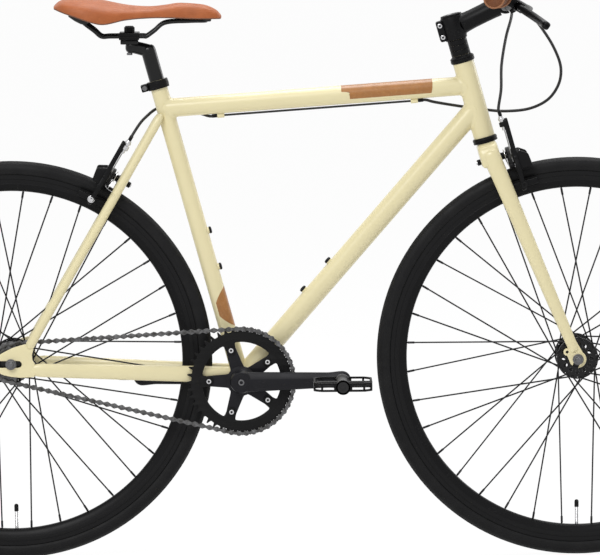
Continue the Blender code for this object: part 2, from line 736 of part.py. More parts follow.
def smooth_path(knots, step):
    """Evenly spaced points on a smooth curve through the knots."""
    line = [Vector(knot) for knot in knots]
    ends = [line[0] * 2 - line[1]] + line + [line[-1] * 2 - line[-2]]
    fine = []
    for index in range(1, len(ends) - 2):
        a, b, c, d = ends[index - 1:index + 3]
        for part in range(24):
            t = part / 24
            fine.append(0.5 * (2 * b + (c - a) * t + (2 * a - 5 * b + 4 * c - d) * t ** 2
                               + (3 * b - a - 3 * c + d) * t ** 3))
    fine.append(line[-1])
    lengths = [(second - first).length for first, second in zip(fine, fine[1:])]
    count = max(2, round(sum(lengths) / step))
    spacing = sum(lengths) / count
    points, travelled, wanted = [fine[0]], 0.0, spacing
    for first, second, length in zip(fine, fine[1:], lengths):
        while length > 0 and travelled + length >= wanted - 1e-9 and len(points) < count:
            points.append(first.lerp(second, (wanted - travelled) / length))
            wanted += spacing
        travelled += length
    return points + [fine[-1]]


def interpolate(table, place):
    """Smooth value at a place from a short table of (place, value) rows."""
    for index in range(len(table) - 1):
        if place <= table[index + 1][0]:
            break
    x0, y0 = table[index]
    x1, y1 = table[index + 1]

    def slope(at):
        low = table[max(at - 1, 0)]
        high = table[min(at + 1, len(table) - 1)]
        return (high[1] - low[1]) / (high[0] - low[0])

    width = x1 - x0
    t = min(max((place - x0) / width, 0.0), 1.0)
    m0, m1 = slope(index) * width, slope(index + 1) * width
    return ((2 * t ** 3 - 3 * t ** 2 + 1) * y0 + (t ** 3 - 2 * t ** 2 + t) * m0
            + (-2 * t ** 3 + 3 * t ** 2) * y1 + (t ** 3 - t ** 2) * m1)


def across_frame(centre, start_angle=0.0):
    """Placement with Z along +Y, and X in the wheel's plane at the given angle above +X."""
    x_dir = Vector((math.cos(start_angle), 0.0, math.sin(start_angle)))
    return frame_matrix(centre, x_dir, LEFT)


def side_plane(centre):
    """Placement for a flat outline drawn as seen from the drive side: X forward, Y up."""
    return frame_matrix(centre, FORWARD, -LEFT)


def two_sided(outer, inner):
    """Section symmetric about height 0, from the half outlines on its outer and inner sides."""
    return ([(r, y) for r, y in reversed(outer)] + [(r, -y) for r, y in outer]
            + [(r, -y) for r, y in inner] + [(r, y) for r, y in reversed(inner)])


# Wheels

LIP_INNER_Y = RIM_WIDTH / 2 - RIM_LIP
BEAD_LOW = RIM_RADIUS - BEAD_DEPTH
TYRE_CENTRE = TYRE_RADIUS - TYRE_WIDTH / 2
RIM_NOSE_RADIUS = RIM_RADIUS - RIM_DEPTH


def wheel_ring(axle, outer, inner):
    """Ring round an axle, with a flat facet resting on the ground."""
    half_step = math.pi / WHEEL_STEPS
    return turned(across_frame(axle, -math.pi / 2 + half_step), two_sided(outer, inner), WHEEL_STEPS)


def build_tyre(name, axle, body):
    half = TYRE_WIDTH / 2
    bead_y = LIP_INNER_Y - 2 * GAP
    shoulder = (TYRE_CENTRE + half * TYRE_SHOULDER_RISE, half * TYRE_SHOULDER_SHARE)
    outer = ((TYRE_RADIUS, TYRE_TREAD_FLAT / 2), shoulder, (RIM_RADIUS + 2 * GAP, bead_y),
             (BEAD_LOW, bead_y))
    inner = ((BEAD_LOW, bead_y - TYRE_WALL), (TYRE_CENTRE, half - TYRE_WALL),
             (TYRE_RADIUS - TYRE_WALL, TYRE_TREAD_FLAT / 2))
    finish_piece(wheel_ring(axle, outer, inner), name, "tyre_rubber", body)


def wheel_spin_frame(axle, angle):
    """Placement at an axle with Z pointing out along a spoke's direction and Y to the left."""
    return frame_matrix(axle, Vector((math.sin(angle), 0.0, -math.cos(angle))),
                        Vector((math.cos(angle), 0.0, math.sin(angle))))


def build_rim(name, axle, body, valve_angle):
    half = RIM_WIDTH / 2
    bed = BEAD_LOW - SEAT_GAP
    outer = ((bed, LIP_INNER_Y), (RIM_RADIUS, LIP_INNER_Y), (RIM_RADIUS, half))
    inner = ((RIM_RADIUS - BRAKE_TRACK_HEIGHT, half), (RIM_NOSE_RADIUS, RIM_NOSE / 2))
    rim = wheel_ring(axle, outer, inner)
    hole = cylinder(wheel_spin_frame(axle, valve_angle), VALVE_RADIUS + SEAT_GAP,
                    RIM_NOSE_RADIUS - RIM_DEPTH, RIM_RADIUS, VALVE_SIDES)
    finish_piece(cut(rim, hole), name, "black_alloy", body)


def build_inner_tube(name, axle, body, valve_angle):
    outer = ((TYRE_CENTRE, TYRE_WIDTH / 2 - TYRE_WALL - 2 * GAP),)
    inner = ((BEAD_LOW + SEAT_GAP, LIP_INNER_Y - TYRE_WALL - 4 * GAP),)
    ring = wheel_ring(axle, outer, inner)
    stem = cylinder(wheel_spin_frame(axle, valve_angle), VALVE_RADIUS,
                    RIM_NOSE_RADIUS - VALVE_LENGTH, TYRE_CENTRE, VALVE_SIDES)
    finish_piece(union(ring, stem), name, "bright_steel", body)


def round_wheel(radius, turn, y):
    """Point at a radius and an angle about a wheel's axis."""
    return Vector((radius * math.cos(turn), y, radius * math.sin(turn)))


def build_spokes(name, axle, body, valve_angle, side, flange_y):
    """One side's spokes, crossing in one cone, half of them leading and half trailing."""
    step = 2 * math.pi / SPOKES_PER_SIDE
    first = valve_angle + side * step / 4
    hub_radius = FLANGE_RADIUS / math.cos(math.pi / TUBE_SIDES) + SEAT_GAP + SPOKE_RADIUS
    rim_radius = RIM_NOSE_RADIUS - 2 * GAP
    rim_y = side * RIM_NOSE / 4
    crossed = []
    for heading in (1, -1):
        hub_y = side * flange_y + heading * SPOKE_CROSSING_OFFSET
        shape = bmesh.new()
        for index in range(SPOKES_PER_SIDE // 2):
            rim_turn = first + (2 * index + (heading < 0)) * step
            hub_turn = rim_turn + heading * SPOKE_CROSSES * step
            start = round_wheel(hub_radius, hub_turn, hub_y)
            place, length = between(start, round_wheel(rim_radius, rim_turn, rim_y))
            bmesh.ops.create_cone(shape, cap_ends=True, segments=3, radius1=SPOKE_RADIUS,
                                  radius2=SPOKE_RADIUS, depth=length,
                                  matrix=place @ Matrix.Translation((0.0, 0.0, length / 2)))
        crossed.append(from_bmesh(shape, Matrix.Translation(axle)))
    finish_piece(union(*crossed), name, "black_steel", body)


def hub_outline(width, flange_y, ends):
    """Hub section from the left end to the right; ends are the outlines beyond each flange."""
    half_flange = FLANGE_THICKNESS / 2
    left_end, right_end = ends
    profile = list(left_end)
    profile += [(FLANGE_RADIUS, flange_y + half_flange), (FLANGE_RADIUS, flange_y - half_flange),
                (HUB_BARREL_RADIUS, flange_y - 3 * half_flange),
                (HUB_BARREL_RADIUS, -flange_y + 3 * half_flange),
                (FLANGE_RADIUS, -flange_y + half_flange), (FLANGE_RADIUS, -flange_y - half_flange)]
    profile += list(right_end)
    bore = AXLE_RADIUS + GAP
    profile += [(bore, -width / 2 + GAP), (bore, width / 2 - GAP)]
    return profile


def plain_end(width, flange_y, side):
    """Cone from a flange down to its locknut."""
    end = side * (width / 2 - GAP)
    root = side * (flange_y + FLANGE_THICKNESS / 2)
    shoulder = root + side * HUB_CONE_LENGTH
    points = [(HUB_END_RADIUS, end), (HUB_END_RADIUS, shoulder), (HUB_BARREL_RADIUS, root)]
    return points if side > 0 else points[::-1]


def build_front_hub():
    ends = (plain_end(FRONT_HUB_WIDTH, FRONT_FLANGE_Y, 1), plain_end(FRONT_HUB_WIDTH, FRONT_FLANGE_Y, -1))
    hub = turned(across_frame(FRONT_AXLE), hub_outline(FRONT_HUB_WIDTH, FRONT_FLANGE_Y, ends), TUBE_SIDES)
    finish_piece(hub, "front_hub", "black_alloy", "front_wheel")


FREEWHEEL_INNER_Y = REAR_FLANGE_Y + FLANGE_THICKNESS / 2 + FREEWHEEL_FLANGE_GAP


def build_rear_hub():
    """Rear hub with the threaded boss that the freewheel screws on."""
    boss_end = -(FREEWHEEL_INNER_Y + FREEWHEEL_WIDTH)
    thread = FREEWHEEL_THREAD_RADIUS
    right_end = [(thread, -REAR_FLANGE_Y - FLANGE_THICKNESS / 2), (thread, boss_end),
                 (HUB_END_RADIUS, boss_end), (HUB_END_RADIUS, -REAR_HUB_WIDTH / 2 + GAP)]
    ends = (plain_end(REAR_HUB_WIDTH, REAR_FLANGE_Y, 1), right_end)
    hub = turned(across_frame(REAR_AXLE), hub_outline(REAR_HUB_WIDTH, REAR_FLANGE_Y, ends), TUBE_SIDES)
    finish_piece(hub, "rear_hub", "black_alloy", "rear_wheel")


def build_axle(name, axle, hub_width, dropout_thickness, body):
    """Threaded axle with a nut outside each dropout."""
    nut_start = hub_width / 2 + dropout_thickness + GAP
    tip = nut_start + AXLE_NUT_LENGTH + AXLE_RADIUS
    place = across_frame(axle)
    pieces = [cylinder(place, AXLE_RADIUS, -tip, tip, SMALL_SIDES)]
    for side in (-1, 1):
        low, high = sorted((side * nut_start, side * (nut_start + AXLE_NUT_LENGTH)))
        pieces.append(cylinder(place, AXLE_NUT_RADIUS, low, high, 6))
    finish_piece(union(*pieces), name, "black_steel", body)


def build_wheels():
    wheels = (("front", FRONT_AXLE, FRONT_VALVE_ANGLE, FRONT_FLANGE_Y),
              ("rear", REAR_AXLE, REAR_VALVE_ANGLE, REAR_FLANGE_Y))
    for end, axle, valve_angle, flange_y in wheels:
        body = end + "_wheel"
        build_tyre(end + "_tyre", axle, body)
        build_rim(end + "_rim", axle, body, valve_angle)
        build_inner_tube(end + "_inner_tube", axle, body, valve_angle)
        for side_name, side in SIDES.items():
            build_spokes(f"{end}_spokes_{side_name}", axle, body, valve_angle, side, flange_y)
    build_front_hub()
    build_rear_hub()
    build_axle("front_axle", FRONT_AXLE, FRONT_HUB_WIDTH, FRONT_DROPOUT_THICKNESS, "steering")
    build_axle("rear_axle", REAR_AXLE, REAR_HUB_WIDTH, REAR_DROPOUT_THICKNESS, None)


# Chain and sprockets

CHAIN_LEAN = math.asin((RING_RADIUS - SPROCKET_RADIUS) / CHAINSTAY)
CHAIN_LINE_ANGLE = math.atan2(REAR_AXLE.z - CRANK_CENTRE.z, REAR_AXLE.x - CRANK_CENTRE.x)
UPPER_TANGENT = CHAIN_LINE_ANGLE - math.pi / 2 + CHAIN_LEAN
LOWER_TANGENT = CHAIN_LINE_ANGLE + math.pi / 2 - CHAIN_LEAN
RUN_LINKS = CHAINSTAY * math.cos(CHAIN_LEAN) / CHAIN_PITCH
RING_WRAP_LINKS = RING_TEETH * (UPPER_TANGENT + 2 * math.pi - LOWER_TANGENT) / (2 * math.pi)
SPROCKET_WRAP_LINKS = SPROCKET_TEETH * (LOWER_TANGENT - UPPER_TANGENT) / (2 * math.pi)
CHAIN_PHASE = 0.25


def on_circle(centre, radius, angle):
    return Vector((centre.x + radius * math.cos(angle), centre.z + radius * math.sin(angle)))


def chain_place(links):
    """Place and outward direction, in X and Z, at a number of links along the chain's loop."""
    ring_step = 2 * math.pi / RING_TEETH
    sprocket_step = 2 * math.pi / SPROCKET_TEETH
    if links < RING_WRAP_LINKS:
        angle = LOWER_TANGENT + links * ring_step
        return on_circle(CRANK_CENTRE, RING_RADIUS, angle), angle
    links -= RING_WRAP_LINKS
    if links < RUN_LINKS:
        start = on_circle(CRANK_CENTRE, RING_RADIUS, UPPER_TANGENT)
        end = on_circle(REAR_AXLE, SPROCKET_RADIUS, UPPER_TANGENT)
        return start.lerp(end, links / RUN_LINKS), UPPER_TANGENT
    links -= RUN_LINKS
    if links < SPROCKET_WRAP_LINKS:
        angle = UPPER_TANGENT + links * sprocket_step
        return on_circle(REAR_AXLE, SPROCKET_RADIUS, angle), angle
    links -= SPROCKET_WRAP_LINKS
    start = on_circle(REAR_AXLE, SPROCKET_RADIUS, LOWER_TANGENT)
    end = on_circle(CRANK_CENTRE, RING_RADIUS, LOWER_TANGENT)
    return start.lerp(end, links / RUN_LINKS), LOWER_TANGENT


def drive_plane(y):
    """Placement for an outline in world X and Z, seen from the drive side, at the given y."""
    return side_plane(Vector((0.0, y, 0.0)))


def chain_edge(offset):
    """Outline of the chain's inner or outer edge: a point at each roller round a sprocket."""
    first_run = (RING_WRAP_LINKS, RING_WRAP_LINKS + RUN_LINKS)
    second_run = (first_run[1] + SPROCKET_WRAP_LINKS, CHAIN_LINKS)
    stops = [0.0, *first_run, second_run[0]]
    for index in range(CHAIN_LINKS):
        links = index + CHAIN_PHASE
        if links < first_run[0] or first_run[1] < links < second_run[0]:
            stops.append(links)
    outline = []
    for links in sorted(stops):
        middle, angle = chain_place(links)
        outline.append(tuple(middle + Vector((math.cos(angle), math.sin(angle))) * offset))
    return outline


def build_chain():
    """Chain as two bands of side plates joined by a roller at every pitch."""
    band = (CHAIN_OUTER_WIDTH - CHAIN_INNER_WIDTH) / 2
    reach = (CHAIN_INNER_WIDTH + band) / 2
    rollers = bmesh.new()
    for index in range(CHAIN_LINKS):
        middle, angle = chain_place(index + CHAIN_PHASE)
        outward = Vector((math.cos(angle), 0.0, math.sin(angle)))
        place = frame_matrix(Vector((middle.x, -CHAIN_LINE, middle.y)), outward, LEFT)
        bmesh.ops.create_cone(rollers, cap_ends=True, segments=CHAIN_ROLLER_SIDES,
                              radius1=CHAIN_ROLLER_RADIUS, radius2=CHAIN_ROLLER_RADIUS,
                              depth=2 * reach, matrix=place)
    chain = from_bmesh(rollers, Matrix.Identity(4))
    for side in (-1, 1):
        y = -CHAIN_LINE + side * (CHAIN_INNER_WIDTH + band) / 2
        chain = union(chain, plate(drive_plane(y), chain_edge(CHAIN_HEIGHT / 2), band,
                                   (chain_edge(-CHAIN_HEIGHT / 2),)))
    finish_piece(chain, "chain", "chain_steel")


def toothed_outline(teeth, radius, first_roller):
    """Outline of a sprocket whose teeth stand halfway between the chain's rollers."""
    step = 2 * math.pi / teeth
    seat = radius * math.cos(step / 2)
    outline = []
    for index in range(teeth):
        angle = first_roller + (index + 0.5) * step
        out = Vector((math.cos(angle), math.sin(angle)))
        along = Vector((-out.y, out.x))
        root, tip = seat - TOOTH_ROOT, seat + TOOTH_HEIGHT
        corners = ((root, -TOOTH_ROOT_HALF_WIDTH), (tip, -TOOTH_TIP_HALF_WIDTH),
                   (tip, TOOTH_TIP_HALF_WIDTH), (root, TOOTH_ROOT_HALF_WIDTH))
        outline += [tuple(out * height + along * width) for height, width in corners]
    return outline


RING_FIRST_ROLLER = LOWER_TANGENT + CHAIN_PHASE * 2 * math.pi / RING_TEETH
SPROCKET_FIRST_ROLLER = UPPER_TANGENT + (CHAIN_PHASE - RING_WRAP_LINKS - RUN_LINKS) \
    * 2 * math.pi / SPROCKET_TEETH


def build_chainring():
    """Toothed ring with an inward tab at each spider arm."""
    centre = side_plane(Vector((CRANK_CENTRE.x, -CHAIN_LINE, CRANK_CENTRE.z)))
    spread = 2 * math.pi / SPIDER_ARMS
    tab_half = SPIDER_ARM_WIDTH / 2 + RING_TAB_MARGIN
    inner = []
    for index in range(SPIDER_ARMS):
        angle = SPIDER_FIRST_ANGLE + index * spread
        half = math.asin(tab_half / RING_BAND_INNER_RADIUS)
        out = Vector((math.cos(angle), math.sin(angle)))
        along = Vector((-out.y, out.x))
        for turn in RING_TAB_TURNS:
            corner = math.radians(turn)
            depth = BOLT_CIRCLE_RADIUS - tab_half * RING_TAB_DEPTH_SHARE * math.cos(corner)
            reach = tab_half * RING_TAB_WIDTH_SHARE * math.sin(corner)
            inner.append(tuple(out * depth + along * reach))
        inner += arc(RING_BAND_INNER_RADIUS, angle + half, angle + spread - half, 6)
    outline = toothed_outline(RING_TEETH, RING_RADIUS, RING_FIRST_ROLLER)
    ring = plate(centre, outline, TOOTH_THICKNESS, (inner,))
    finish_piece(ring, "chainring", "black_alloy", "crankset")


def build_freewheel():
    """Freewheel body with its sprocket, screwed on the rear hub."""
    place = across_frame(REAR_AXLE)
    inner = FREEWHEEL_THREAD_RADIUS * facet_outset(TUBE_SIDES) + GAP
    high = -FREEWHEEL_INNER_Y
    low = high - FREEWHEEL_WIDTH
    profile = ((FREEWHEEL_RADIUS, high), (FREEWHEEL_RADIUS, low), (inner, low), (inner, high))
    body = turned(place, profile, TUBE_SIDES)
    teeth = toothed_outline(SPROCKET_TEETH, SPROCKET_RADIUS, SPROCKET_FIRST_ROLLER)
    bore = circle((FREEWHEEL_RADIUS + inner) / 2, TUBE_SIDES)
    centre = side_plane(Vector((REAR_AXLE.x, -CHAIN_LINE, REAR_AXLE.z)))
    sprocket = plate(centre, teeth, TOOTH_THICKNESS, (bore,))
    finish_piece(union(body, sprocket), "freewheel", "bright_steel", "freewheel")


# Cranks and pedals

RING_INNER_FACE = CHAIN_LINE - TOOTH_THICKNESS / 2
SPIDER_OUTER_FACE = RING_INNER_FACE - GAP
SPIDER_CENTRE_Y = SPIDER_OUTER_FACE - SPIDER_ARM_THICKNESS / 2


def crank_outline():
    """Side view of a crank arm from the spindle to the pedal eye."""
    root = arc(CRANK_ROOT_RADIUS, *CRANK_ROOT_ARC, 9)
    eye = arc(CRANK_EYE_RADIUS, *CRANK_EYE_ARC, 9, (CRANK_LENGTH, 0.0))
    return root + eye


def spider_outline():
    """Five rounded arms reaching to the chainring's bolts."""
    half = SPIDER_ARM_WIDTH / 2
    spread = 2 * math.pi / SPIDER_ARMS
    outline = []
    for index in range(SPIDER_ARMS):
        angle = SPIDER_FIRST_ANGLE + index * spread
        out = Vector((math.cos(angle), math.sin(angle)))
        outline += arc(half, angle - math.pi / 2, angle + math.pi / 2, 6, tuple(out * BOLT_CIRCLE_RADIUS))
        outline += circle(CRANK_BOSS_RADIUS + half / 2, 1, start=angle + spread / 2)
    return outline


def crank_pedal_centre(side, y):
    """Point on the pedal axle of one side."""
    reach = -side * CRANK_LENGTH
    return CRANK_CENTRE + Vector((reach * math.cos(CRANK_ANGLE), side * y, reach * math.sin(CRANK_ANGLE)))


def build_crank(side_name, side):
    """Crank arm with its boss and pedal axle; the right one carries the spider."""
    turn = CRANK_ANGLE if side < 0 else CRANK_ANGLE + math.pi
    out = Vector((math.cos(turn), 0.0, math.sin(turn)))
    start = CRANK_CENTRE + LEFT * side * CRANK_ROOT_Y
    end = CRANK_CENTRE + out * CRANK_LENGTH + LEFT * side * CRANK_EYE_Y
    along = (end - start).normalized()
    face = Vector((-out.z, 0.0, out.x))
    arm = plate(frame_matrix(start, along, along.cross(face)), crank_outline(), CRANK_THICKNESS)
    across = across_frame(CRANK_CENTRE)
    boss_inner = SPIDER_CENTRE_Y - SPIDER_ARM_THICKNESS / 2 + GAP
    boss_outer = CRANK_ROOT_Y + CRANK_THICKNESS / 2 + CRANK_BOSS_STAND
    low, high = sorted((side * boss_inner, side * boss_outer))
    crank = union(arm, cylinder(across, CRANK_BOSS_RADIUS, low, high, TUBE_SIDES))
    if side < 0:
        place = frame_matrix(CRANK_CENTRE - LEFT * SPIDER_CENTRE_Y, FORWARD, -LEFT)
        crank = union(crank, plate(place, spider_outline(), SPIDER_ARM_THICKNESS))
    axle_centre = crank_pedal_centre(side, 0.0)
    axle_tip = PEDAL_INNER_Y + PEDAL_WIDTH - PEDAL_AXLE_SHORT
    low, high = sorted((side * (CRANK_EYE_Y - CRANK_THICKNESS / 3), side * axle_tip))
    crank = union(crank, cylinder(across_frame(axle_centre), PEDAL_AXLE_RADIUS, low, high, SMALL_SIDES))
    low, high = sorted((side * (boss_inner - SPINDLE_RADIUS), side * (SPINDLE_HALF_LENGTH + GAP)))
    bore = cylinder(across, (SPINDLE_RADIUS + GAP) * facet_outset(TUBE_SIDES), low, high, TUBE_SIDES)
    finish_piece(cut(crank, bore), f"crank_{side_name}", "grey_alloy", "crankset")


def build_pedal(side_name, side):
    """Cage pedal: a barrel on the axle, two webs and the rectangular cage round it."""
    middle_y = side * (PEDAL_INNER_Y + PEDAL_WIDTH / 2)
    centre = crank_pedal_centre(side, 0.0) + LEFT * middle_y
    length, width, wall = PEDAL_LENGTH / 2, PEDAL_WIDTH / 2, PEDAL_CAGE_WALL
    corner = PEDAL_CORNER
    rectangle = [(-length + corner, -width), (length - corner, -width), (length, -width + corner),
                 (length, width - corner), (length - corner, width), (-length + corner, width),
                 (-length, width - corner), (-length, -width + corner)]
    opening = [(x * (length - wall) / length, y * (width - wall) / width) for x, y in rectangle]
    level = Matrix.Translation(centre)
    pedal = plate(level, rectangle, PEDAL_CAGE_HEIGHT, (opening,))
    for place in (-PEDAL_WEB_PLACE, PEDAL_WEB_PLACE):
        web = box(level @ Matrix.Translation((0.0, place, 0.0)),
                  (PEDAL_LENGTH - wall, PEDAL_WEB_WIDTH, PEDAL_WEB_HEIGHT))
        pedal = union(pedal, web)
    across = across_frame(centre)
    end = width + PEDAL_BARREL_STAND
    barrel = cylinder(across, PEDAL_BARREL_RADIUS, -end, end, TUBE_SIDES)
    bore_radius = (PEDAL_AXLE_RADIUS + GAP) * facet_outset(SMALL_SIDES)
    low, high = sorted((side * (-end - PEDAL_BARREL_RADIUS), side * (width - PEDAL_CAP_THICKNESS)))
    pedal = cut(union(pedal, barrel), cylinder(across, bore_radius, low, high, SMALL_SIDES))
    finish_piece(pedal, f"pedal_{side_name}", "black_plastic", f"pedal_{side_name}")


def build_drive():
    across = across_frame(CRANK_CENTRE)
    inner_radius = SPINDLE_RADIUS + SPINDLE_CLEARANCE
    outer_radius = SHELL_RADIUS - SHELL_WALL - GAP
    half = SHELL_WIDTH / 2
    lip = half + CARTRIDGE_LIP_WIDTH
    cup = outer_radius + CARTRIDGE_LIP_HEIGHT
    profile = ((cup, lip), (cup, half + GAP), (outer_radius, half + GAP), (outer_radius, -half - GAP),
               (cup, -half - GAP), (cup, -lip), (inner_radius, -lip), (inner_radius, lip))
    cartridge = turned(across, profile, TUBE_SIDES)
    finish_piece(cartridge, "bottom_bracket_cartridge", "black_steel")
    spindle = cylinder(across, SPINDLE_RADIUS, -SPINDLE_HALF_LENGTH, SPINDLE_HALF_LENGTH, TUBE_SIDES)
    finish_piece(spindle, "bottom_bracket_spindle", "bright_steel", "crankset")
    build_chain()
    build_chainring()
    build_freewheel()
    for side_name, side in SIDES.items():
        build_crank(side_name, side)
        build_pedal(side_name, side)


# Frame

TOP_TUBE_START = seat_point(0.0, 0.0, SEAT_TUBE_LENGTH - TOP_TUBE_BELOW_SEAT_TOP)
TOP_TUBE_END = steering_point(0.0, 0.0, HEAD_TOP - TOP_TUBE_BELOW_HEAD_TOP)
TOP_TUBE_DIRECTION = (TOP_TUBE_END - TOP_TUBE_START).normalized()
TOP_TUBE_DOWN = LEFT.cross(TOP_TUBE_DIRECTION)
DOWN_TUBE_END = steering_point(0.0, 0.0, HEAD_BOTTOM + DOWN_TUBE_ABOVE_HEAD_BOTTOM)
DOWN_TUBE_DIRECTION = (DOWN_TUBE_END - CRANK_CENTRE).normalized()
DOWN_TUBE_UPPER_SIDE = DOWN_TUBE_DIRECTION.cross(LEFT)


def clear_of(start, end, radius, sides=TUBE_SIDES):
    """Cutter that leaves the usual gap round a turned tube between two points."""
    outset = facet_outset(sides)
    place, length = between(start, end)
    return cylinder(place, (radius * outset + GAP) * outset, -radius, length + radius, sides)


def clear_of_seat_tube():
    """Cutter for the seat tube."""
    return clear_of(CRANK_CENTRE, seat_point(0.0, 0.0, SEAT_TUBE_LENGTH), SEAT_TUBE_RADIUS)


def clear_of_head_tube():
    """Cutter for the head tube."""
    return clear_of(steering_point(0.0, 0.0, HEAD_BOTTOM), steering_point(0.0, 0.0, HEAD_TOP),
                    HEAD_TUBE_RADIUS)


def clear_of_shell():
    """Cutter for the bottom bracket shell."""
    half = LEFT * SHELL_WIDTH / 2
    return clear_of(CRANK_CENTRE - half, CRANK_CENTRE + half, SHELL_RADIUS)


def bottle_bosses(tube_piece, start, along, outward, first, radius):
    """Tube with two threaded bottle bosses, the first at a distance from its start."""
    for place in (first, first + BOTTLE_BOSS_SPACING):
        foot = start + along * place
        boss = rod(foot + outward * (radius - GAP), foot + outward * (radius + BOTTLE_BOSS_HEIGHT),
                   BOTTLE_BOSS_RADIUS, TUBE_SIDES)
        top = foot + outward * (radius + 2 * BOTTLE_BOSS_HEIGHT)
        hole = rod(foot, top, BOTTLE_THREAD_RADIUS, SMALL_SIDES)
        tube_piece = cut(union(tube_piece, boss), hole)
    return tube_piece


def cable_stop_centre(place):
    """Centre of a cable stop under the top tube, at a distance along the tube from its rear end."""
    drop = TOP_TUBE_DOWN * (TOP_TUBE_RADIUS + CABLE_STOP_DROP)
    return TOP_TUBE_START + TOP_TUBE_DIRECTION * place + drop


def build_main_tubes():
    head = pipe(steering_point(0.0, 0.0, HEAD_BOTTOM), steering_point(0.0, 0.0, HEAD_TOP),
                HEAD_TUBE_RADIUS, TUBE_WALL, TUBE_SIDES)
    finish_piece(head, "head_tube", "frame_paint")

    seat = pipe(CRANK_CENTRE, seat_point(0.0, 0.0, SEAT_TUBE_LENGTH),
                SEAT_TUBE_RADIUS, SEAT_TUBE_WALL, TUBE_SIDES)
    seat = cut(seat, clear_of_shell())
    seat = bottle_bosses(seat, CRANK_CENTRE, SEAT_UP, SEAT_FORWARD, SEAT_BOSS_FROM_CRANK, SEAT_TUBE_RADIUS)
    finish_piece(seat, "seat_tube", "frame_paint")

    top = pipe(TOP_TUBE_START, TOP_TUBE_END, TOP_TUBE_RADIUS, TUBE_WALL, TUBE_SIDES)
    for place in (FRONT_STOP_AT, REAR_STOP_AT):
        centre = cable_stop_centre(place)
        half = TOP_TUBE_DIRECTION * CABLE_STOP_LENGTH / 2
        top = union(top, rod(centre - half, centre + half, CABLE_STOP_RADIUS, SMALL_SIDES))
        top = cut(top, rod(centre - half * 2, centre + half * 2, CABLE_STOP_BORE, 8))
    top = cut(top, clear_of_seat_tube(), clear_of_head_tube())
    finish_piece(top, "top_tube", "frame_paint")

    down = pipe(CRANK_CENTRE, DOWN_TUBE_END, DOWN_TUBE_RADIUS, TUBE_WALL, TUBE_SIDES)
    down = cut(down, clear_of_shell(), clear_of_head_tube(), clear_of_seat_tube())
    down = bottle_bosses(down, CRANK_CENTRE, DOWN_TUBE_DIRECTION, DOWN_TUBE_UPPER_SIDE,
                         DOWN_BOSS_FROM_CRANK, DOWN_TUBE_RADIUS)
    finish_piece(down, "down_tube", "frame_paint")

    half = LEFT * SHELL_WIDTH / 2
    shell = pipe(CRANK_CENTRE - half, CRANK_CENTRE + half, SHELL_RADIUS, SHELL_WALL, TUBE_SIDES)
    finish_piece(shell, "bottom_bracket_shell", "frame_paint")


def rear_dropout_outline():
    """Dropout seen from the side, about the axle: slot open to the rear, lug for the seatstay."""
    slot = DROPOUT_SLOT_RADIUS
    across_lug = Vector((STAY_UP.z, -STAY_UP.x)) * SEATSTAY_RADIUS
    lug = Vector(DROPOUT_STAY_REACH)
    outline = [*REAR_DROPOUT_BELOW, (REAR_DROPOUT_END_X, -slot)]
    outline += arc(slot, -math.pi / 2, math.pi / 2, 7, (DROPOUT_SLOT_REACH, 0.0))
    outline += [(REAR_DROPOUT_END_X, slot), *REAR_DROPOUT_ABOVE]
    outline += [tuple(lug - across_lug), tuple(lug + across_lug), REAR_DROPOUT_FRONT]
    return outline


def build_stays():
    """Chainstays with the dropouts, and the pair of seatstays with the brake bridge."""
    for side_name, side in SIDES.items():
        front = CRANK_CENTRE + Vector((
            -CHAINSTAY_FRONT_BACK, side * CHAINSTAY_FRONT_Y, CHAINSTAY_FRONT_RISE))
        rear = REAR_AXLE + Vector((CHAINSTAY_REAR_REACH, side * STAY_REAR_Y, -CHAINSTAY_REAR_DROP))
        stay = rod(front, rear, CHAINSTAY_FRONT_HEIGHT / 2, TUBE_SIDES, CHAINSTAY_REAR_HEIGHT / 2,
                   CHAINSTAY_FLATTEN)
        stay = cut(stay, clear_of_shell(), clear_of_seat_tube())
        dropout = plate(side_plane(REAR_AXLE + LEFT * side * STAY_REAR_Y), rear_dropout_outline(),
                        REAR_DROPOUT_THICKNESS)
        finish_piece(union(stay, dropout), f"chainstay_{side_name}", "frame_paint")

    stays = []
    for side in SIDES.values():
        bottom = SEATSTAY_BOTTOM + LEFT * side * STAY_REAR_Y
        top = SEATSTAY_TOP + LEFT * side * STAY_TOP_Y
        bottom = bottom + (top - bottom).normalized() * SEATSTAY_END_GAP
        stays.append(rod(bottom, top, SEATSTAY_RADIUS, TUBE_SIDES))
    share = REAR_BRIDGE_FROM_STAY_END / (SEATSTAY_TOP - SEATSTAY_BOTTOM).length
    reach = LEFT * (STAY_REAR_Y + (STAY_TOP_Y - STAY_REAR_Y) * share)
    bridge = rod(REAR_BRIDGE - reach, REAR_BRIDGE + reach, BRAKE_BRIDGE_RADIUS, TUBE_SIDES)
    pair = union(bridge, *stays)
    through = STAY_BACK * BRAKE_BRIDGE_RADIUS * 2
    hole = rod(REAR_BRIDGE - through, REAR_BRIDGE + through, BRAKE_HOLE_RADIUS, SMALL_SIDES)
    finish_piece(cut(pair, hole, clear_of_seat_tube()), "seatstays", "frame_paint")


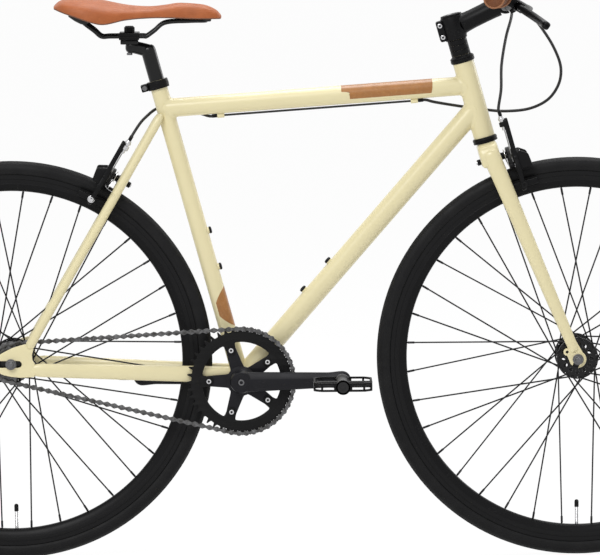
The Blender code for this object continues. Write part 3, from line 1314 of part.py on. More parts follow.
def build_seat_clamp():
    """Split collar at the top of the seat tube, drawn together by a bolt behind it."""
    inner = SEAT_TUBE_RADIUS * facet_outset(TUBE_SIDES) + GAP
    low, high = SEAT_TUBE_LENGTH - SEAT_CLAMP_HEIGHT, SEAT_TUBE_LENGTH
    outer = inner + SEAT_CLAMP_WALL
    profile = ((outer, high), (outer, low), (inner, low), (inner, high))
    collar = turned(SEAT_FRAME, profile, TUBE_SIDES)
    middle = (low + high) / 2
    lug_at = outer + SEAT_CLAMP_LUG / 2 - LUG_SINK
    lug = box(SEAT_FRAME @ Matrix.Translation((-lug_at, 0.0, middle)),
              (SEAT_CLAMP_LUG, SEAT_CLAMP_LUG_WIDTH, SEAT_CLAMP_HEIGHT - 2 * LUG_SINK))
    slit = box(SEAT_FRAME @ Matrix.Translation((-lug_at, 0.0, middle)),
               (SEAT_CLAMP_LUG * 2, CLAMP_SLIT, SEAT_CLAMP_HEIGHT * 2))
    collar = cut(union(collar, lug), slit)
    reach = LEFT * (SEAT_CLAMP_LUG_WIDTH / 2 + BOLT_STAND)
    centre = seat_point(-lug_at, 0.0, middle)
    bolt = rod(centre - reach, centre + reach, CLAMP_BOLT_RADIUS, SMALL_SIDES)
    finish_piece(union(collar, bolt), "seat_clamp", "black_alloy")


# Headset, fork and stem

def turned_on_steering(profile, name, finish, body=None):
    """Finished piece turned about the steering axis."""
    finish_piece(turned(STEERING_FRAME, profile, TUBE_SIDES), name, finish, body)


def build_headset():
    skirt = HEAD_TUBE_RADIUS - TUBE_WALL - 2 * GAP
    inner = CUP_INNER_RADIUS
    low = HEAD_BOTTOM - GAP
    turned_on_steering(((skirt, low + CUP_SKIRT), (skirt, low), (LOWER_CUP_RADIUS, low),
                        (LOWER_CUP_RADIUS, low - LOWER_CUP_HEIGHT), (inner, low - LOWER_CUP_HEIGHT),
                        (inner, low + CUP_SKIRT)), "headset_lower_cup", "black_alloy")
    high = HEAD_TOP + GAP
    turned_on_steering(((UPPER_CUP_RADIUS, high + UPPER_CUP_HEIGHT), (UPPER_CUP_RADIUS, high),
                        (skirt, high), (skirt, high - CUP_SKIRT), (inner, high - CUP_SKIRT),
                        (inner, high + UPPER_CUP_HEIGHT)), "headset_upper_cup", "black_alloy")
    inner = STEERER_RADIUS + GAP
    top = COVER_BOTTOM + HEADSET_COVER_HEIGHT
    turned_on_steering(((SPACER_RADIUS, top), (UPPER_CUP_RADIUS, COVER_BOTTOM + HEADSET_COVER_HEIGHT / 3),
                        (UPPER_CUP_RADIUS, COVER_BOTTOM), (inner, COVER_BOTTOM), (inner, top)),
                       "headset_cover", "black_alloy", "steering")
    top = SPACER_BOTTOM + SPACER_COUNT * SPACER_HEIGHT
    profile = ((SPACER_RADIUS, top), (SPACER_RADIUS, SPACER_BOTTOM), (inner, SPACER_BOTTOM), (inner, top))
    turned_on_steering(profile, "headset_spacers", "black_alloy", "steering")


def fork_dropout_outline():
    """Fork end seen from the drive side, about the axle: a slot open below and an eyelet behind."""
    slot = DROPOUT_SLOT_RADIUS
    down = Vector((math.cos(FORK_SLOT_ANGLE), math.sin(FORK_SLOT_ANGLE))) * FORK_END_RADIUS
    across = Vector((-down.y, down.x)).normalized() * slot
    blade_end = steering_point(BLADE_END_FORWARD, 0.0, BLADE_END_RISE + FORK_END_RADIUS) - FRONT_AXLE
    blade_half = STEERING_FORWARD * BLADE_BOTTOM_RADIUS * FORK_BLADE_SHARE
    front, rear = blade_end + blade_half, blade_end - blade_half
    outline = [(front.x, front.z)]
    slot_turn = FORK_SLOT_ANGLE - 2 * math.pi
    outline += arc(FORK_END_RADIUS, FORK_END_FRONT_ANGLE, slot_turn + FORK_SLOT_LIP, 7)
    outline += [tuple(down + across)]
    outline += arc(slot, slot_turn + math.pi / 2, slot_turn + 3 * math.pi / 2, 9)
    outline += [tuple(down.normalized() * FORK_LIP_REACH - across), FORK_END_REAR]
    outline += arc(FORK_EYELET_RADIUS, *FORK_EYELET_ARC, 7, FORK_EYELET)
    outline += [(rear.x, rear.z)]
    return outline


def build_fork():
    """Steerer, crown, two tapered blades and their ends, welded into one."""
    steerer = cylinder(STEERING_FRAME, STEERER_RADIUS, CROWN_TOP - CROWN_HEIGHT / 2, STEERER_TOP,
                       TUBE_SIDES)
    bore = cylinder(STEERING_FRAME, STEERER_RADIUS - STEERER_WALL, CROWN_TOP, STEM_TOP, SMALL_SIDES)
    fork = cut(steerer, bore)
    front_view = frame_matrix(STEERING_FRAME.translation, LEFT, STEERING_FORWARD)
    half, low = CROWN_WIDTH / 2, CROWN_TOP - CROWN_HEIGHT
    shoulder, shoulder_drop = CROWN_SHOULDER
    outline = [(LOWER_CUP_RADIUS, CROWN_TOP), (shoulder, CROWN_TOP - shoulder_drop),
               (half, CROWN_TOP - CROWN_SIDE_DROP), (half, low)]
    outline += [(-y, z) for y, z in reversed(outline)]
    fork = union(fork, plate(front_view, outline, CROWN_DEPTH))
    dropout_y = (FRONT_HUB_WIDTH + FRONT_DROPOUT_THICKNESS) / 2
    for side in SIDES.values():
        blade = rod(steering_point(BLADE_TOP_FORWARD, side * BLADE_TOP_Y, CROWN_TOP - CROWN_HEIGHT / 2),
                    steering_point(BLADE_END_FORWARD, side * dropout_y, BLADE_END_RISE),
                    BLADE_TOP_RADIUS, TUBE_SIDES, BLADE_BOTTOM_RADIUS, BLADE_FLATTEN)
        place = side_plane(FRONT_AXLE + LEFT * side * dropout_y)
        dropout = plate(place, fork_dropout_outline(), FRONT_DROPOUT_THICKNESS,
                        (circle(FORK_EYELET_BORE, 8, FORK_EYELET),))
        fork = union(fork, blade, dropout)
    behind, ahead = (steering_point(depth, 0.0, BRAKE_BOLT_S) for depth in (-CROWN_DEPTH, CROWN_DEPTH))
    hole = rod(behind, ahead, BRAKE_HOLE_RADIUS, SMALL_SIDES)
    finish_piece(cut(fork, hole), "fork", "frame_paint", "steering")


BAR_CLAMP_FRAME = frame_matrix(BAR_CENTRE, STEM_DIRECTION, LEFT)


def bar_bore():
    """Cutter for the hole that takes the bar."""
    radius = (BAR_CENTRE_RADIUS + GAP) * facet_outset(TUBE_SIDES)
    return cylinder(BAR_CLAMP_FRAME, radius, -BAR_CLAMP_WIDTH, BAR_CLAMP_WIDTH, TUBE_SIDES)


def bar_clamp_half(side):
    """Half of the barrel round the bar, behind it (-1) or in front of it (1)."""
    barrel = cylinder(BAR_CLAMP_FRAME, BAR_CLAMP_RADIUS, -BAR_CLAMP_WIDTH / 2, BAR_CLAMP_WIDTH / 2,
                      TUBE_SIDES)
    size = 4 * BAR_CLAMP_RADIUS
    other = box(BAR_CLAMP_FRAME @ Matrix.Translation((side * (CLAMP_SLIT - size) / 2, 0.0, 0.0)),
                (size, size, size))
    return cut(barrel, bar_bore(), other)


def build_stem():
    clamp = cylinder(STEERING_FRAME, STEM_CLAMP_RADIUS, STEM_BOTTOM, STEM_TOP, TUBE_SIDES)
    root = steering_point(0.0, 0.0, STEM_CENTRE_S)
    extension = rod(root, root + STEM_DIRECTION * (STEM_LENGTH - BAR_CLAMP_RADIUS + STEM_BARREL_SINK),
                    STEM_EXTENSION_RADIUS, TUBE_SIDES)
    lug_at = STEM_CLAMP_RADIUS + STEM_LUG / 2 - STEM_LUG_SINK
    lug = box(STEERING_FRAME @ Matrix.Translation((-lug_at, 0.0, STEM_CENTRE_S)),
              (STEM_LUG, STEM_LUG_WIDTH, STEM_CLAMP_HEIGHT - STEM_LUG_SHORT))
    slit = box(STEERING_FRAME @ Matrix.Translation((-lug_at, 0.0, STEM_CENTRE_S)),
               (STEM_LUG * 2, CLAMP_SLIT, STEM_CLAMP_HEIGHT * 2))
    steerer_bore = cylinder(STEERING_FRAME, (STEERER_RADIUS + GAP) * facet_outset(TUBE_SIDES),
                            SPACER_BOTTOM, STEM_TOP + STEM_CLAMP_RADIUS, TUBE_SIDES)
    stem = union(clamp, extension, lug)
    cap_seat = cylinder(STEERING_FRAME, STEM_CLAMP_RADIUS, STEM_TOP, STEM_TOP + STEM_CLAMP_HEIGHT, TUBE_SIDES)
    stem = cut(stem, steerer_bore, slit, bar_bore(), cap_seat)
    stem = union(stem, bar_clamp_half(-1))
    for height in (-STEM_BOLT_SPACING / 2, STEM_BOLT_SPACING / 2):
        centre = steering_point(-lug_at, 0.0, STEM_CENTRE_S + height)
        reach = LEFT * (STEM_LUG_WIDTH / 2 + BOLT_STAND / 2)
        stem = union(stem, rod(centre - reach, centre + reach, CLAMP_BOLT_RADIUS, SMALL_SIDES))
    finish_piece(stem, "stem", "black_alloy", "steering")
    finish_piece(bar_clamp_half(1), "stem_faceplate", "black_alloy", "steering")
    cap = cylinder(STEERING_FRAME, STEM_CLAMP_RADIUS - STEM_CAP_INSET, STEM_TOP + GAP,
                   STEM_TOP + GAP + STEM_CAP_THICKNESS, TUBE_SIDES)
    finish_piece(cap, "stem_cap", "black_alloy", "steering")


# Handlebar, grips and levers

def bar_knots(side):
    """Places on one half of the bar, from beside the clamp to the end, about its centre."""
    end = Vector((-BAR_BEND_BACK - (BAR_HALF_WIDTH - BAR_BEND_END_Y) * math.tan(BAR_BACKSWEEP),
                  side * BAR_HALF_WIDTH, BAR_END_RISE))
    bend = Vector((-BAR_BEND_BACK, side * BAR_BEND_END_Y, BAR_RISE))
    inner = [Vector((x, side * y, z)) for x, y, z in BAR_INNER_BENDS]
    return inner + [bend, bend.lerp(end, BAR_BEND_SHARE), end]


def bar_end_frame(side):
    """Placement at the end of the bar with Z pointing out along it."""
    inner, end = bar_knots(side)[-2:]
    return between(BAR_CENTRE + end, BAR_CENTRE + end * 2 - inner, UP)[0]


def build_handlebar():
    right = smooth_path(bar_knots(-1), BAR_STEP)
    left = smooth_path(bar_knots(1), BAR_STEP)
    points = [BAR_CENTRE + point for point in right[::-1] + left]
    thin = BAR_RADIUS / BAR_CENTRE_RADIUS
    shares = [1.0 if abs(point.y) < BAR_STRAIGHT_Y else thin for point in points]
    finish_piece(tube(points, BAR_CENTRE_RADIUS, 4, shares), "handlebar", "black_alloy", "steering")


def build_grips():
    bore = BAR_RADIUS + GAP
    end, disc = GAP, GAP + GRIP_END_THICKNESS
    inner = -GRIP_LENGTH
    profile = ((GRIP_RADIUS, disc), (GRIP_RADIUS, inner + GRIP_FLANGE_THICKNESS),
               (GRIP_FLANGE_RADIUS, inner + GRIP_FLANGE_THICKNESS), (GRIP_FLANGE_RADIUS, inner),
               (bore, inner), (bore, end), (GRIP_END_HOLE, end), (GRIP_END_HOLE, disc))
    for side_name, side in SIDES.items():
        finish_piece(turned(bar_end_frame(side), profile, TUBE_SIDES), f"grip_{side_name}", "tan_cover",
                     "steering")


LEVER_DIRECTION = Vector((math.cos(LEVER_DROOP), 0.0, -math.sin(LEVER_DROOP)))
LEVER_UP = Vector((math.sin(LEVER_DROOP), 0.0, math.cos(LEVER_DROOP)))
LEVER_CLAMP_REACH = GRIP_LENGTH + LEVER_CLAMP_INSET


def lever_frame(side):
    """Placement on the bar's axis at the lever clamp: X towards the lever, Z along its pivot."""
    origin = bar_end_frame(side) @ Vector((0.0, 0.0, -LEVER_CLAMP_REACH))
    return frame_matrix(origin, LEVER_DIRECTION, LEVER_UP)


def lever_pivot(side):
    """Centre of a lever's pin."""
    return lever_frame(side) @ Vector((LEVER_PIVOT_REACH, -side * LEVER_PIVOT_INBOARD, 0.0))


def adjuster_tip(side):
    """Inboard end of the barrel adjuster, where the cable housing starts."""
    return lever_frame(side) @ Vector((LEVER_CABLE_REACH, -side * LEVER_ADJUSTER_END, 0.0))


def on_side(rows, side):
    """Rows of reach, distance outboard and width, turned to the given side."""
    return [(reach, side * outboard, width) for reach, outboard, width in rows]


def build_bracket(side_name, side):
    """Clamp ring round the bar, with a slotted arm for the lever and a barrel adjuster."""
    ring_place = bar_end_frame(side) @ Matrix.Translation((0.0, 0.0, -LEVER_CLAMP_REACH))
    half = LEVER_CLAMP_WIDTH / 2
    bore = BAR_RADIUS + GAP
    profile = ((LEVER_CLAMP_RADIUS, half), (LEVER_CLAMP_RADIUS, -half), (bore, -half), (bore, half))
    ring = turned(ring_place, profile, TUBE_SIDES)
    frame = lever_frame(side)
    thickness = LEVER_THICKNESS + 2 * LEVER_CHEEK
    arm = plate(frame, strip(on_side(BRACKET_ARM, side)), thickness)
    lug = plate(frame, strip(on_side(BRACKET_LUG, side)), BRACKET_LUG_THICKNESS)
    bracket = union(arm, lug)
    size = LEVER_SLOT_SIZE
    slot_place = Vector((LEVER_SLOT_REACH + size / 2, side * (size / 2 - LEVER_SLOT_INBOARD), 0.0))
    slot = box(frame @ Matrix.Translation(slot_place), (size, size, LEVER_THICKNESS + 2 * SEAT_GAP))
    bar_room = cylinder(ring_place, (bore + LEVER_CLAMP_RADIUS) / 2, -GRIP_LENGTH, GRIP_LENGTH, TUBE_SIDES)
    bracket = union(cut(bracket, slot, bar_room), ring)
    pivot = lever_pivot(side)
    reach = LEVER_UP * (thickness / 2 + LEVER_PIN_STAND)
    pin = rod(pivot - reach, pivot + reach, LEVER_PIN_RADIUS, SMALL_SIDES)
    tip = adjuster_tip(side) + LEFT * side * GAP
    adjuster = rod(tip + LEFT * side * ADJUSTER_SINK, tip, ADJUSTER_RADIUS, SMALL_SIDES)
    finish_piece(union(bracket, pin, adjuster), f"brake_bracket_{side_name}", "black_alloy", "steering")


def build_lever(side_name, side):
    """Lever blade turning on the bracket's pin."""
    blade = plate(lever_frame(side), strip(on_side(LEVER_BLADE, side)), LEVER_THICKNESS)
    pivot = lever_pivot(side)
    hole = rod(pivot - LEVER_UP * LEVER_THICKNESS, pivot + LEVER_UP * LEVER_THICKNESS,
               LEVER_PIN_RADIUS + SEAT_GAP, SMALL_SIDES)
    finish_piece(cut(blade, hole), f"brake_lever_{side_name}", "black_alloy", f"brake_lever_{side_name}")


# Brakes

REAR_BRIDGE = SEATSTAY_BOTTOM + STAY_UP * REAR_BRIDGE_FROM_STAY_END
FRONT_BRAKE_FRAME = frame_matrix(steering_point(FRONT_BRAKE_STANDOFF, 0.0, BRAKE_BOLT_S),
                                 STEERING_FORWARD, STEERING_UP)
REAR_BRAKE_FRAME = frame_matrix(REAR_BRIDGE + STAY_BACK * REAR_BRAKE_STANDOFF, STAY_BACK, STAY_UP)
BRAKES = {"front": (FRONT_BRAKE_FRAME, FRONT_AXLE, "steering"),
          "rear": (REAR_BRAKE_FRAME, REAR_AXLE, None)}


def cable_side(frame):
    """Sign of the caliper's own Y on the drive side, where the cable comes down."""
    return -1 if frame.col[1].y > 0 else 1


def caliper_plane(frame, depth):
    """Placement for an arm's outline: X across the wheel, Y up, at a depth along the pivot bolt."""
    centre = frame @ Vector((depth, 0.0, 0.0))
    return frame_matrix(centre, frame.col[1].to_3d(), frame.col[0].to_3d())


def pad_centre(frame, axle):
    """Place of the pads, midway across the wheel, on the rim's braking surface."""
    start = frame @ Vector((BRAKE_PAD_X, 0.0, 0.0)) - axle
    down = -frame.col[2].to_3d()
    ahead = start.dot(down)
    radius = RIM_RADIUS - BRAKE_PAD_BELOW_RIM
    drop = -ahead - math.sqrt(ahead ** 2 - start.length_squared + radius ** 2)
    return axle + start + down * drop


def across_wheel(rows, side):
    """Rows of distance across the wheel, height and width, turned to the given side."""
    return [(side * across, height, width) for across, height, width in rows]


def build_caliper_arm(end, across, outer):
    """One arm; across is its pad's side in the caliper's own Y."""
    frame, axle, _ = BRAKES[end]
    pad = pad_centre(frame, axle)
    reach = -(frame.inverted() @ pad).z
    depth = BRAKE_OUTER_ARM_X if outer else BRAKE_INNER_ARM_X
    place = caliper_plane(frame, depth)
    side = across
    foot = (BRAKE_ARM_Y, -reach - BRAKE_ARM_BELOW_PAD, BRAKE_ARM_FOOT_WIDTH)
    if outer:
        head = (BRAKE_ADJUSTER_Y, BRAKE_ADJUSTER_TOP - BRAKE_ARM_TOP_BELOW, BRAKE_ARM_TOP_WIDTH)
        limb_outline = strip(across_wheel((foot, *BRAKE_OUTER_LIMB, head), side))
        web_outline = strip(across_wheel(BRAKE_OUTER_WEB, side))
        limb = plate(place, limb_outline, BRAKE_ARM_THICKNESS)
        web = plate(place, web_outline, BRAKE_ARM_THICKNESS)
        top = frame @ Vector((BRAKE_CABLE_X, side * BRAKE_ADJUSTER_Y, BRAKE_ADJUSTER_TOP))
        down = frame.col[2].to_3d() * -BRAKE_ADJUSTER_LENGTH
        arm = union(limb, web, rod(top + down, top, ADJUSTER_RADIUS, SMALL_SIDES))
        arm = cut(arm, rod(top + down * 2, top - down, BRAKE_CABLE_BORE, 8))
    else:
        limb_outline = strip(across_wheel((foot, *BRAKE_INNER_LIMB), side))
        limb = plate(place, limb_outline, BRAKE_ARM_THICKNESS)
        step = BRAKE_PAD_X - BRAKE_INNER_ARM_X
        block = frame @ Matrix.Translation((BRAKE_PAD_X - step / 2, side * BRAKE_ARM_Y, -reach))
        width = BRAKE_ARM_FOOT_WIDTH
        arm = union(limb, box(block, (step + BRAKE_STEP_OVERLAP, width, width)))
    hole_end = frame @ Vector((2 * BRAKE_PAD_X, 0.0, 0.0))
    arm = cut(arm, rod(frame.translation, hole_end, BRAKE_HOLE_RADIUS, SMALL_SIDES))
    out = frame.col[1].to_3d() * side
    radial = (pad - axle).normalized()
    pad_y = RIM_WIDTH / 2 + BRAKE_PAD_CLEARANCE + BRAKE_PAD_DEPTH / 2
    pad_place = frame_matrix(pad + out * pad_y, radial.cross(out), radial)
    arm = union(arm, box(pad_place, (BRAKE_PAD_LENGTH, BRAKE_PAD_DEPTH, BRAKE_PAD_HEIGHT)))
    post_end = pad + out * (BRAKE_ARM_Y + BRAKE_PAD_POST_STAND)
    arm = union(arm, rod(pad + out * pad_y, post_end, BRAKE_PAD_POST_RADIUS, SMALL_SIDES))
    side_name = "left" if out.y > 0 else "right"
    name = f"{end}_brake_arm_{side_name}"
    finish_piece(arm, name, "black_alloy", name)


def build_pivot_bolt(end):
    """Bolt that carries both arms, with its nuts and the washers between the parts."""
    frame, _, carrier = BRAKES[end]
    if end == "front":
        face = CROWN_DEPTH / 2 - FRONT_BRAKE_STANDOFF
        back = -CROWN_DEPTH / 2 - FRONT_BRAKE_STANDOFF
    else:
        face = BRAKE_BRIDGE_RADIUS - REAR_BRAKE_STANDOFF
        back = -BRAKE_BRIDGE_RADIUS - REAR_BRAKE_STANDOFF
    across = frame_matrix(frame.translation, frame.col[2].to_3d(), frame.col[0].to_3d())
    inner_face = BRAKE_INNER_ARM_X - BRAKE_ARM_THICKNESS / 2
    outer_face = BRAKE_OUTER_ARM_X + BRAKE_ARM_THICKNESS / 2
    nut = BRAKE_NUT_THICKNESS
    bolt = cylinder(across, BRAKE_BOLT_RADIUS, back - GAP - nut, outer_face + GAP + nut, SMALL_SIDES)
    washer = cylinder(across, BRAKE_WASHER_RADIUS, face + GAP, inner_face - GAP, SMALL_SIDES)
    rear_nut = cylinder(across, BRAKE_NUT_RADIUS, back - GAP - nut, back - GAP, 6)
    front_nut = cylinder(across, BRAKE_NUT_RADIUS, outer_face + GAP, outer_face + GAP + nut, 6)
    whole = union(bolt, washer, rear_nut, front_nut)
    finish_piece(whole, f"{end}_brake_pivot_bolt", "black_steel", carrier)


def build_brakes():
    for end, (frame, _, _) in BRAKES.items():
        build_caliper_arm(end, cable_side(frame), True)
        build_caliper_arm(end, -cable_side(frame), False)
        build_pivot_bolt(end)


# Cables

def caliper_cable_end(frame):
    """Places from above a caliper's barrel adjuster to its top, then the bare wire to the anchor."""
    side = cable_side(frame) * BRAKE_ADJUSTER_Y
    top = BRAKE_ADJUSTER_TOP + GAP
    heights = (top + CABLE_END_LEAD, top, top - GAP, BRAKE_WIRE_END)
    places = [frame @ Vector((BRAKE_CABLE_X, side, height)) for height in heights]
    return places[:2], places[2:]


def build_cable(name, stretches, body=None):
    """Cable from stretches of (radius, places in order); a stretch of two places is straight."""
    points, shares = [], []
    for radius, knots in stretches:
        line = smooth_path(knots, CABLE_STEP) if len(knots) > 2 else knots
        points += line
        shares += [radius / HOUSING_RADIUS] * len(line)
    finish_piece(tube(points, HOUSING_RADIUS, 2, shares), name, "black_plastic", body)


def build_cables():
    """Housings, with bare wire under the top tube and below each caliper's adjuster."""
    inboard = LEFT * -CABLE_END_LEAD
    end, wire = caliper_cable_end(FRONT_BRAKE_FRAME)
    start = adjuster_tip(1)
    housing = [start, start + inboard, *map(Vector, FRONT_CABLE_ROUTE), *end]
    build_cable("front_brake_cable", ((HOUSING_RADIUS, housing), (WIRE_RADIUS, wire)), "steering")

    end, wire = caliper_cable_end(REAR_BRAKE_FRAME)
    start = adjuster_tip(-1)
    to_face = TOP_TUBE_DIRECTION * (CABLE_STOP_LENGTH / 2 + GAP)
    lead = TOP_TUBE_DIRECTION * CABLE_END_LEAD
    gap = TOP_TUBE_DIRECTION * GAP
    front_stop = cable_stop_centre(FRONT_STOP_AT) + to_face
    rear_stop = cable_stop_centre(REAR_STOP_AT) - to_face
    first = [start, start - inboard, *map(Vector, REAR_CABLE_ROUTE), front_stop + lead, front_stop]
    second = [rear_stop, rear_stop - lead, *map(Vector, REAR_CABLE_END_ROUTE), *end]
    bare = [front_stop - gap, rear_stop + gap]
    build_cable("rear_brake_cable", ((HOUSING_RADIUS, first), (WIRE_RADIUS, bare),
                                     (HOUSING_RADIUS, second), (WIRE_RADIUS, wire)))


# Saddle

SEAT_TUBE_TOP = seat_point(0.0, 0.0, SEAT_TUBE_LENGTH)
SADDLE_FRAME = Matrix.Translation(SEAT_TUBE_TOP + Vector((-SADDLE_REAR_BEHIND, 0.0, RAIL_ABOVE_SEAT_TOP)))
CLAMP_FRAME = Matrix.Translation(SEAT_TUBE_TOP + Vector((-SADDLE_CLAMP_BEHIND, 0.0, RAIL_ABOVE_SEAT_TOP)))


def saddle_size(place):
    """Half width, top and bottom above the rails, at a place from the saddle's rear (0) to its nose (1)."""
    return (interpolate(SADDLE_HALF_WIDTH, place), interpolate(SADDLE_TOP, place),
            interpolate(SADDLE_BOTTOM, place))


def cover_lift(height, crown, recess):
    """Height of the cover's skin above the saddle's edge, for a height of -1 to 1 on a ball."""
    if height < 0:
        return recess * abs(height) ** SADDLE_RECESS_POWER
    return crown * height ** SADDLE_CROWN_POWER


def shell_lift(height, crown, recess):
    """The same for the shell, which is flat below and fills the recess under the cover."""
    if height < 0:
        return SHELL_RISE
    top = min(recess, crown) - SHELL_COVER_GAP
    return SHELL_RISE + (top - SHELL_RISE) * height ** SADDLE_RECESS_POWER


def saddle_form(rear, nose, inset, lift):
    """Closed body from a ball stretched to the saddle's width and crown at each place."""
    shape = bmesh.new()
    bmesh.ops.create_uvsphere(shape, u_segments=SADDLE_SEGMENTS, v_segments=SADDLE_RINGS, radius=1.0)
    for corner in shape.verts:
        place = rear + (nose - rear) * (1.0 + corner.co.z) / 2
        half_width, top, bottom = saddle_size(place)
        recess = min(SADDLE_RECESS, (top - bottom) / 3)
        ring = math.hypot(corner.co.x, corner.co.y)
        at_pole = ring < 1e-4
        if at_pole:
            width = 0.0
            rise = (lift(1.0, top - bottom, recess) + lift(-1.0, top - bottom, recess)) / 2
        else:
            share = corner.co.y / ring
            width = (half_width - inset) * math.copysign(abs(share) ** SADDLE_SIDE_POWER, share)
            rise = lift(-corner.co.x / ring, top - bottom, recess)
        corner.co = (place * SADDLE_LENGTH, width, bottom + rise)
    return from_bmesh(shape, SADDLE_FRAME)


def rail_end_height(x):
    """Height at which a rail meets the shell's flat underside."""
    return saddle_size(x / SADDLE_LENGTH)[2] + SHELL_RISE - GAP - SHELL_RAIL_MARGIN


def rail_knots():
    """Places along the saddle's one bent rail: up at the rear, along the clamp, round the nose."""
    rear_z = rail_end_height(RAIL_REAR_AT) - RAIL_END_DROP
    nose_z = rail_end_height(RAIL_NOSE_AT) - RAIL_RADIUS
    side = [Vector((RAIL_REAR_AT, RAIL_REAR_Y, rear_z)),
            Vector((RAIL_REAR_AT, RAIL_REAR_Y, rear_z - RAIL_END_STRAIGHT))]
    side += [Vector((x, y, rise)) for x, y, rise in RAIL_REAR_RUN]
    side += [Vector((x, RAIL_HALF_SPACING, 0.0)) for x in RAIL_STRAIGHT]
    side += [Vector((x, y, rise)) for x, y, rise in RAIL_FRONT_RUN]
    side += [Vector((x, y, nose_z)) for x, y in RAIL_NOSE_RUN]
    other = [Vector((knot.x, -knot.y, knot.z)) for knot in reversed(side)]
    return side + [Vector((RAIL_NOSE_AT, 0.0, nose_z))] + other


def build_saddle():
    cover = saddle_form(0.0, 1.0, 0.0, cover_lift)
    finish_piece(cover, "saddle_cover", "tan_cover", "saddle")
    shell = saddle_form(*SHELL_ENDS, SHELL_INSET, shell_lift)
    finish_piece(shell, "saddle_shell", "black_plastic", "saddle")
    rails = [SADDLE_FRAME @ point for point in smooth_path(rail_knots(), RAIL_STEP)]
    finish_piece(tube(rails, RAIL_RADIUS, 2), "saddle_rails", "black_steel", "saddle")

    block = box(CLAMP_FRAME, (SADDLE_CLAMP_LENGTH, 2 * (RAIL_HALF_SPACING + 2 * RAIL_RADIUS),
                              SADDLE_CLAMP_HEIGHT))
    for side in SIDES.values():
        rail = CLAMP_FRAME @ (LEFT * side * RAIL_HALF_SPACING)
        reach = FORWARD * SADDLE_CLAMP_LENGTH
        bore = (RAIL_RADIUS + GAP) * facet_outset(SMALL_SIDES)
        block = cut(block, rod(rail - reach, rail + reach, bore, SMALL_SIDES))
    knob = cylinder(CLAMP_FRAME, CLAMP_KNOB_RADIUS, SADDLE_CLAMP_HEIGHT / 2 - GAP, CLAMP_KNOB_ABOVE_RAIL,
                    TUBE_SIDES)
    bolt = cylinder(CLAMP_FRAME, CLAMP_BOLT_RADIUS, -CLAMP_BOLT_BELOW_RAIL, 0.0, SMALL_SIDES)
    finish_piece(union(block, knob, bolt), "saddle_clamp", "black_alloy", "saddle")

    top = SEAT_TUBE_LENGTH + SEATPOST_SHOWN
    post = cylinder(SEAT_FRAME, SEATPOST_RADIUS, SEAT_TUBE_LENGTH - SEATPOST_INSIDE, top, TUBE_SIDES)
    seat_below = SADDLE_CLAMP_HEIGHT / 2 + GAP
    head_start = seat_point(0.0, 0.0, top - SEATPOST_RADIUS)
    head_end = CLAMP_FRAME @ Vector((0.0, 0.0, -seat_below - SEATPOST_HEAD_RADIUS))
    head = rod(head_start, head_end, SEATPOST_HEAD_RADIUS, TUBE_SIDES)
    cradle = box(CLAMP_FRAME @ Matrix.Translation((0.0, 0.0, -seat_below - CRADLE_HEIGHT / 2)),
                 (CRADLE_LENGTH, 2 * SEATPOST_RADIUS, CRADLE_HEIGHT))
    hole = cylinder(CLAMP_FRAME, CLAMP_BOLT_RADIUS + SEAT_GAP, -CLAMP_BOLT_BELOW_RAIL - SEATPOST_RADIUS, 0.0,
                    SMALL_SIDES)
    finish_piece(cut(union(post, head, cradle), hole), "seatpost", "black_alloy", "saddle")


# The whole bicycle

def make_bodies():
    """Empties on the axes of everything that moves."""
    add_body("steering", STEERING_FRAME)
    add_body("front_wheel", across_frame(FRONT_AXLE), "steering")
    add_body("rear_wheel", across_frame(REAR_AXLE))
    add_body("crankset", across_frame(CRANK_CENTRE))
    add_body("freewheel", across_frame(REAR_AXLE))
    add_body("saddle", SEAT_FRAME)
    for side_name, side in SIDES.items():
        add_body(f"pedal_{side_name}", across_frame(crank_pedal_centre(side, 0.0)), "crankset")
        place = lever_frame(side)
        place.translation = lever_pivot(side)
        add_body(f"brake_lever_{side_name}", place, "steering")
        for end, (frame, _, carrier) in BRAKES.items():
            add_body(f"{end}_brake_arm_{side_name}", frame, carrier)


def build_bicycle():
    make_bodies()
    build_main_tubes()
    build_stays()
    build_seat_clamp()
    build_headset()
    build_fork()
    build_stem()
    build_handlebar()
    build_grips()
    for side_name, side in SIDES.items():
        build_bracket(side_name, side)
        build_lever(side_name, side)
    build_brakes()
    build_cables()
    build_saddle()
    build_wheels()
    build_drive()


build_bicycle()
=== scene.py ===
"""Single-speed bicycle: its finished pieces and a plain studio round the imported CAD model."""

from math import acos, asin, atan2, copysign, cos, degrees, pi, radians, sin, sqrt, tan

import bmesh
import bpy
from bpy.props import FloatProperty, FloatVectorProperty, IntProperty, PointerProperty
from mathutils import Matrix, Vector


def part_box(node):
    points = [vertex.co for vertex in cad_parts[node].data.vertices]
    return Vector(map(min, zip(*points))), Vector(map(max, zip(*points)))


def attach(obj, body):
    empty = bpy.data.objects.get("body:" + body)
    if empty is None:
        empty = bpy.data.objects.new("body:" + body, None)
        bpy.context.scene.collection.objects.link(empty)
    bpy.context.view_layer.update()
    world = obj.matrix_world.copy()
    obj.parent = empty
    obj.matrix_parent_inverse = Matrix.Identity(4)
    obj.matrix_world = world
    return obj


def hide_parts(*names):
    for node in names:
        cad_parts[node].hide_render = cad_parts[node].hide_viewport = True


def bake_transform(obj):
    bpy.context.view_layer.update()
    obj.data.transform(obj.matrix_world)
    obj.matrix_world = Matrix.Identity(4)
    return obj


bl_info = {
    "name": "Single-speed bicycle",
    "version": (1, 0, 0),
    "blender": (4, 5, 0),
    "location": "View3D > Sidebar > Bicycle",
    "description": "Builds the finished pieces of a single-speed bicycle and its studio",
    "category": "Object",
}

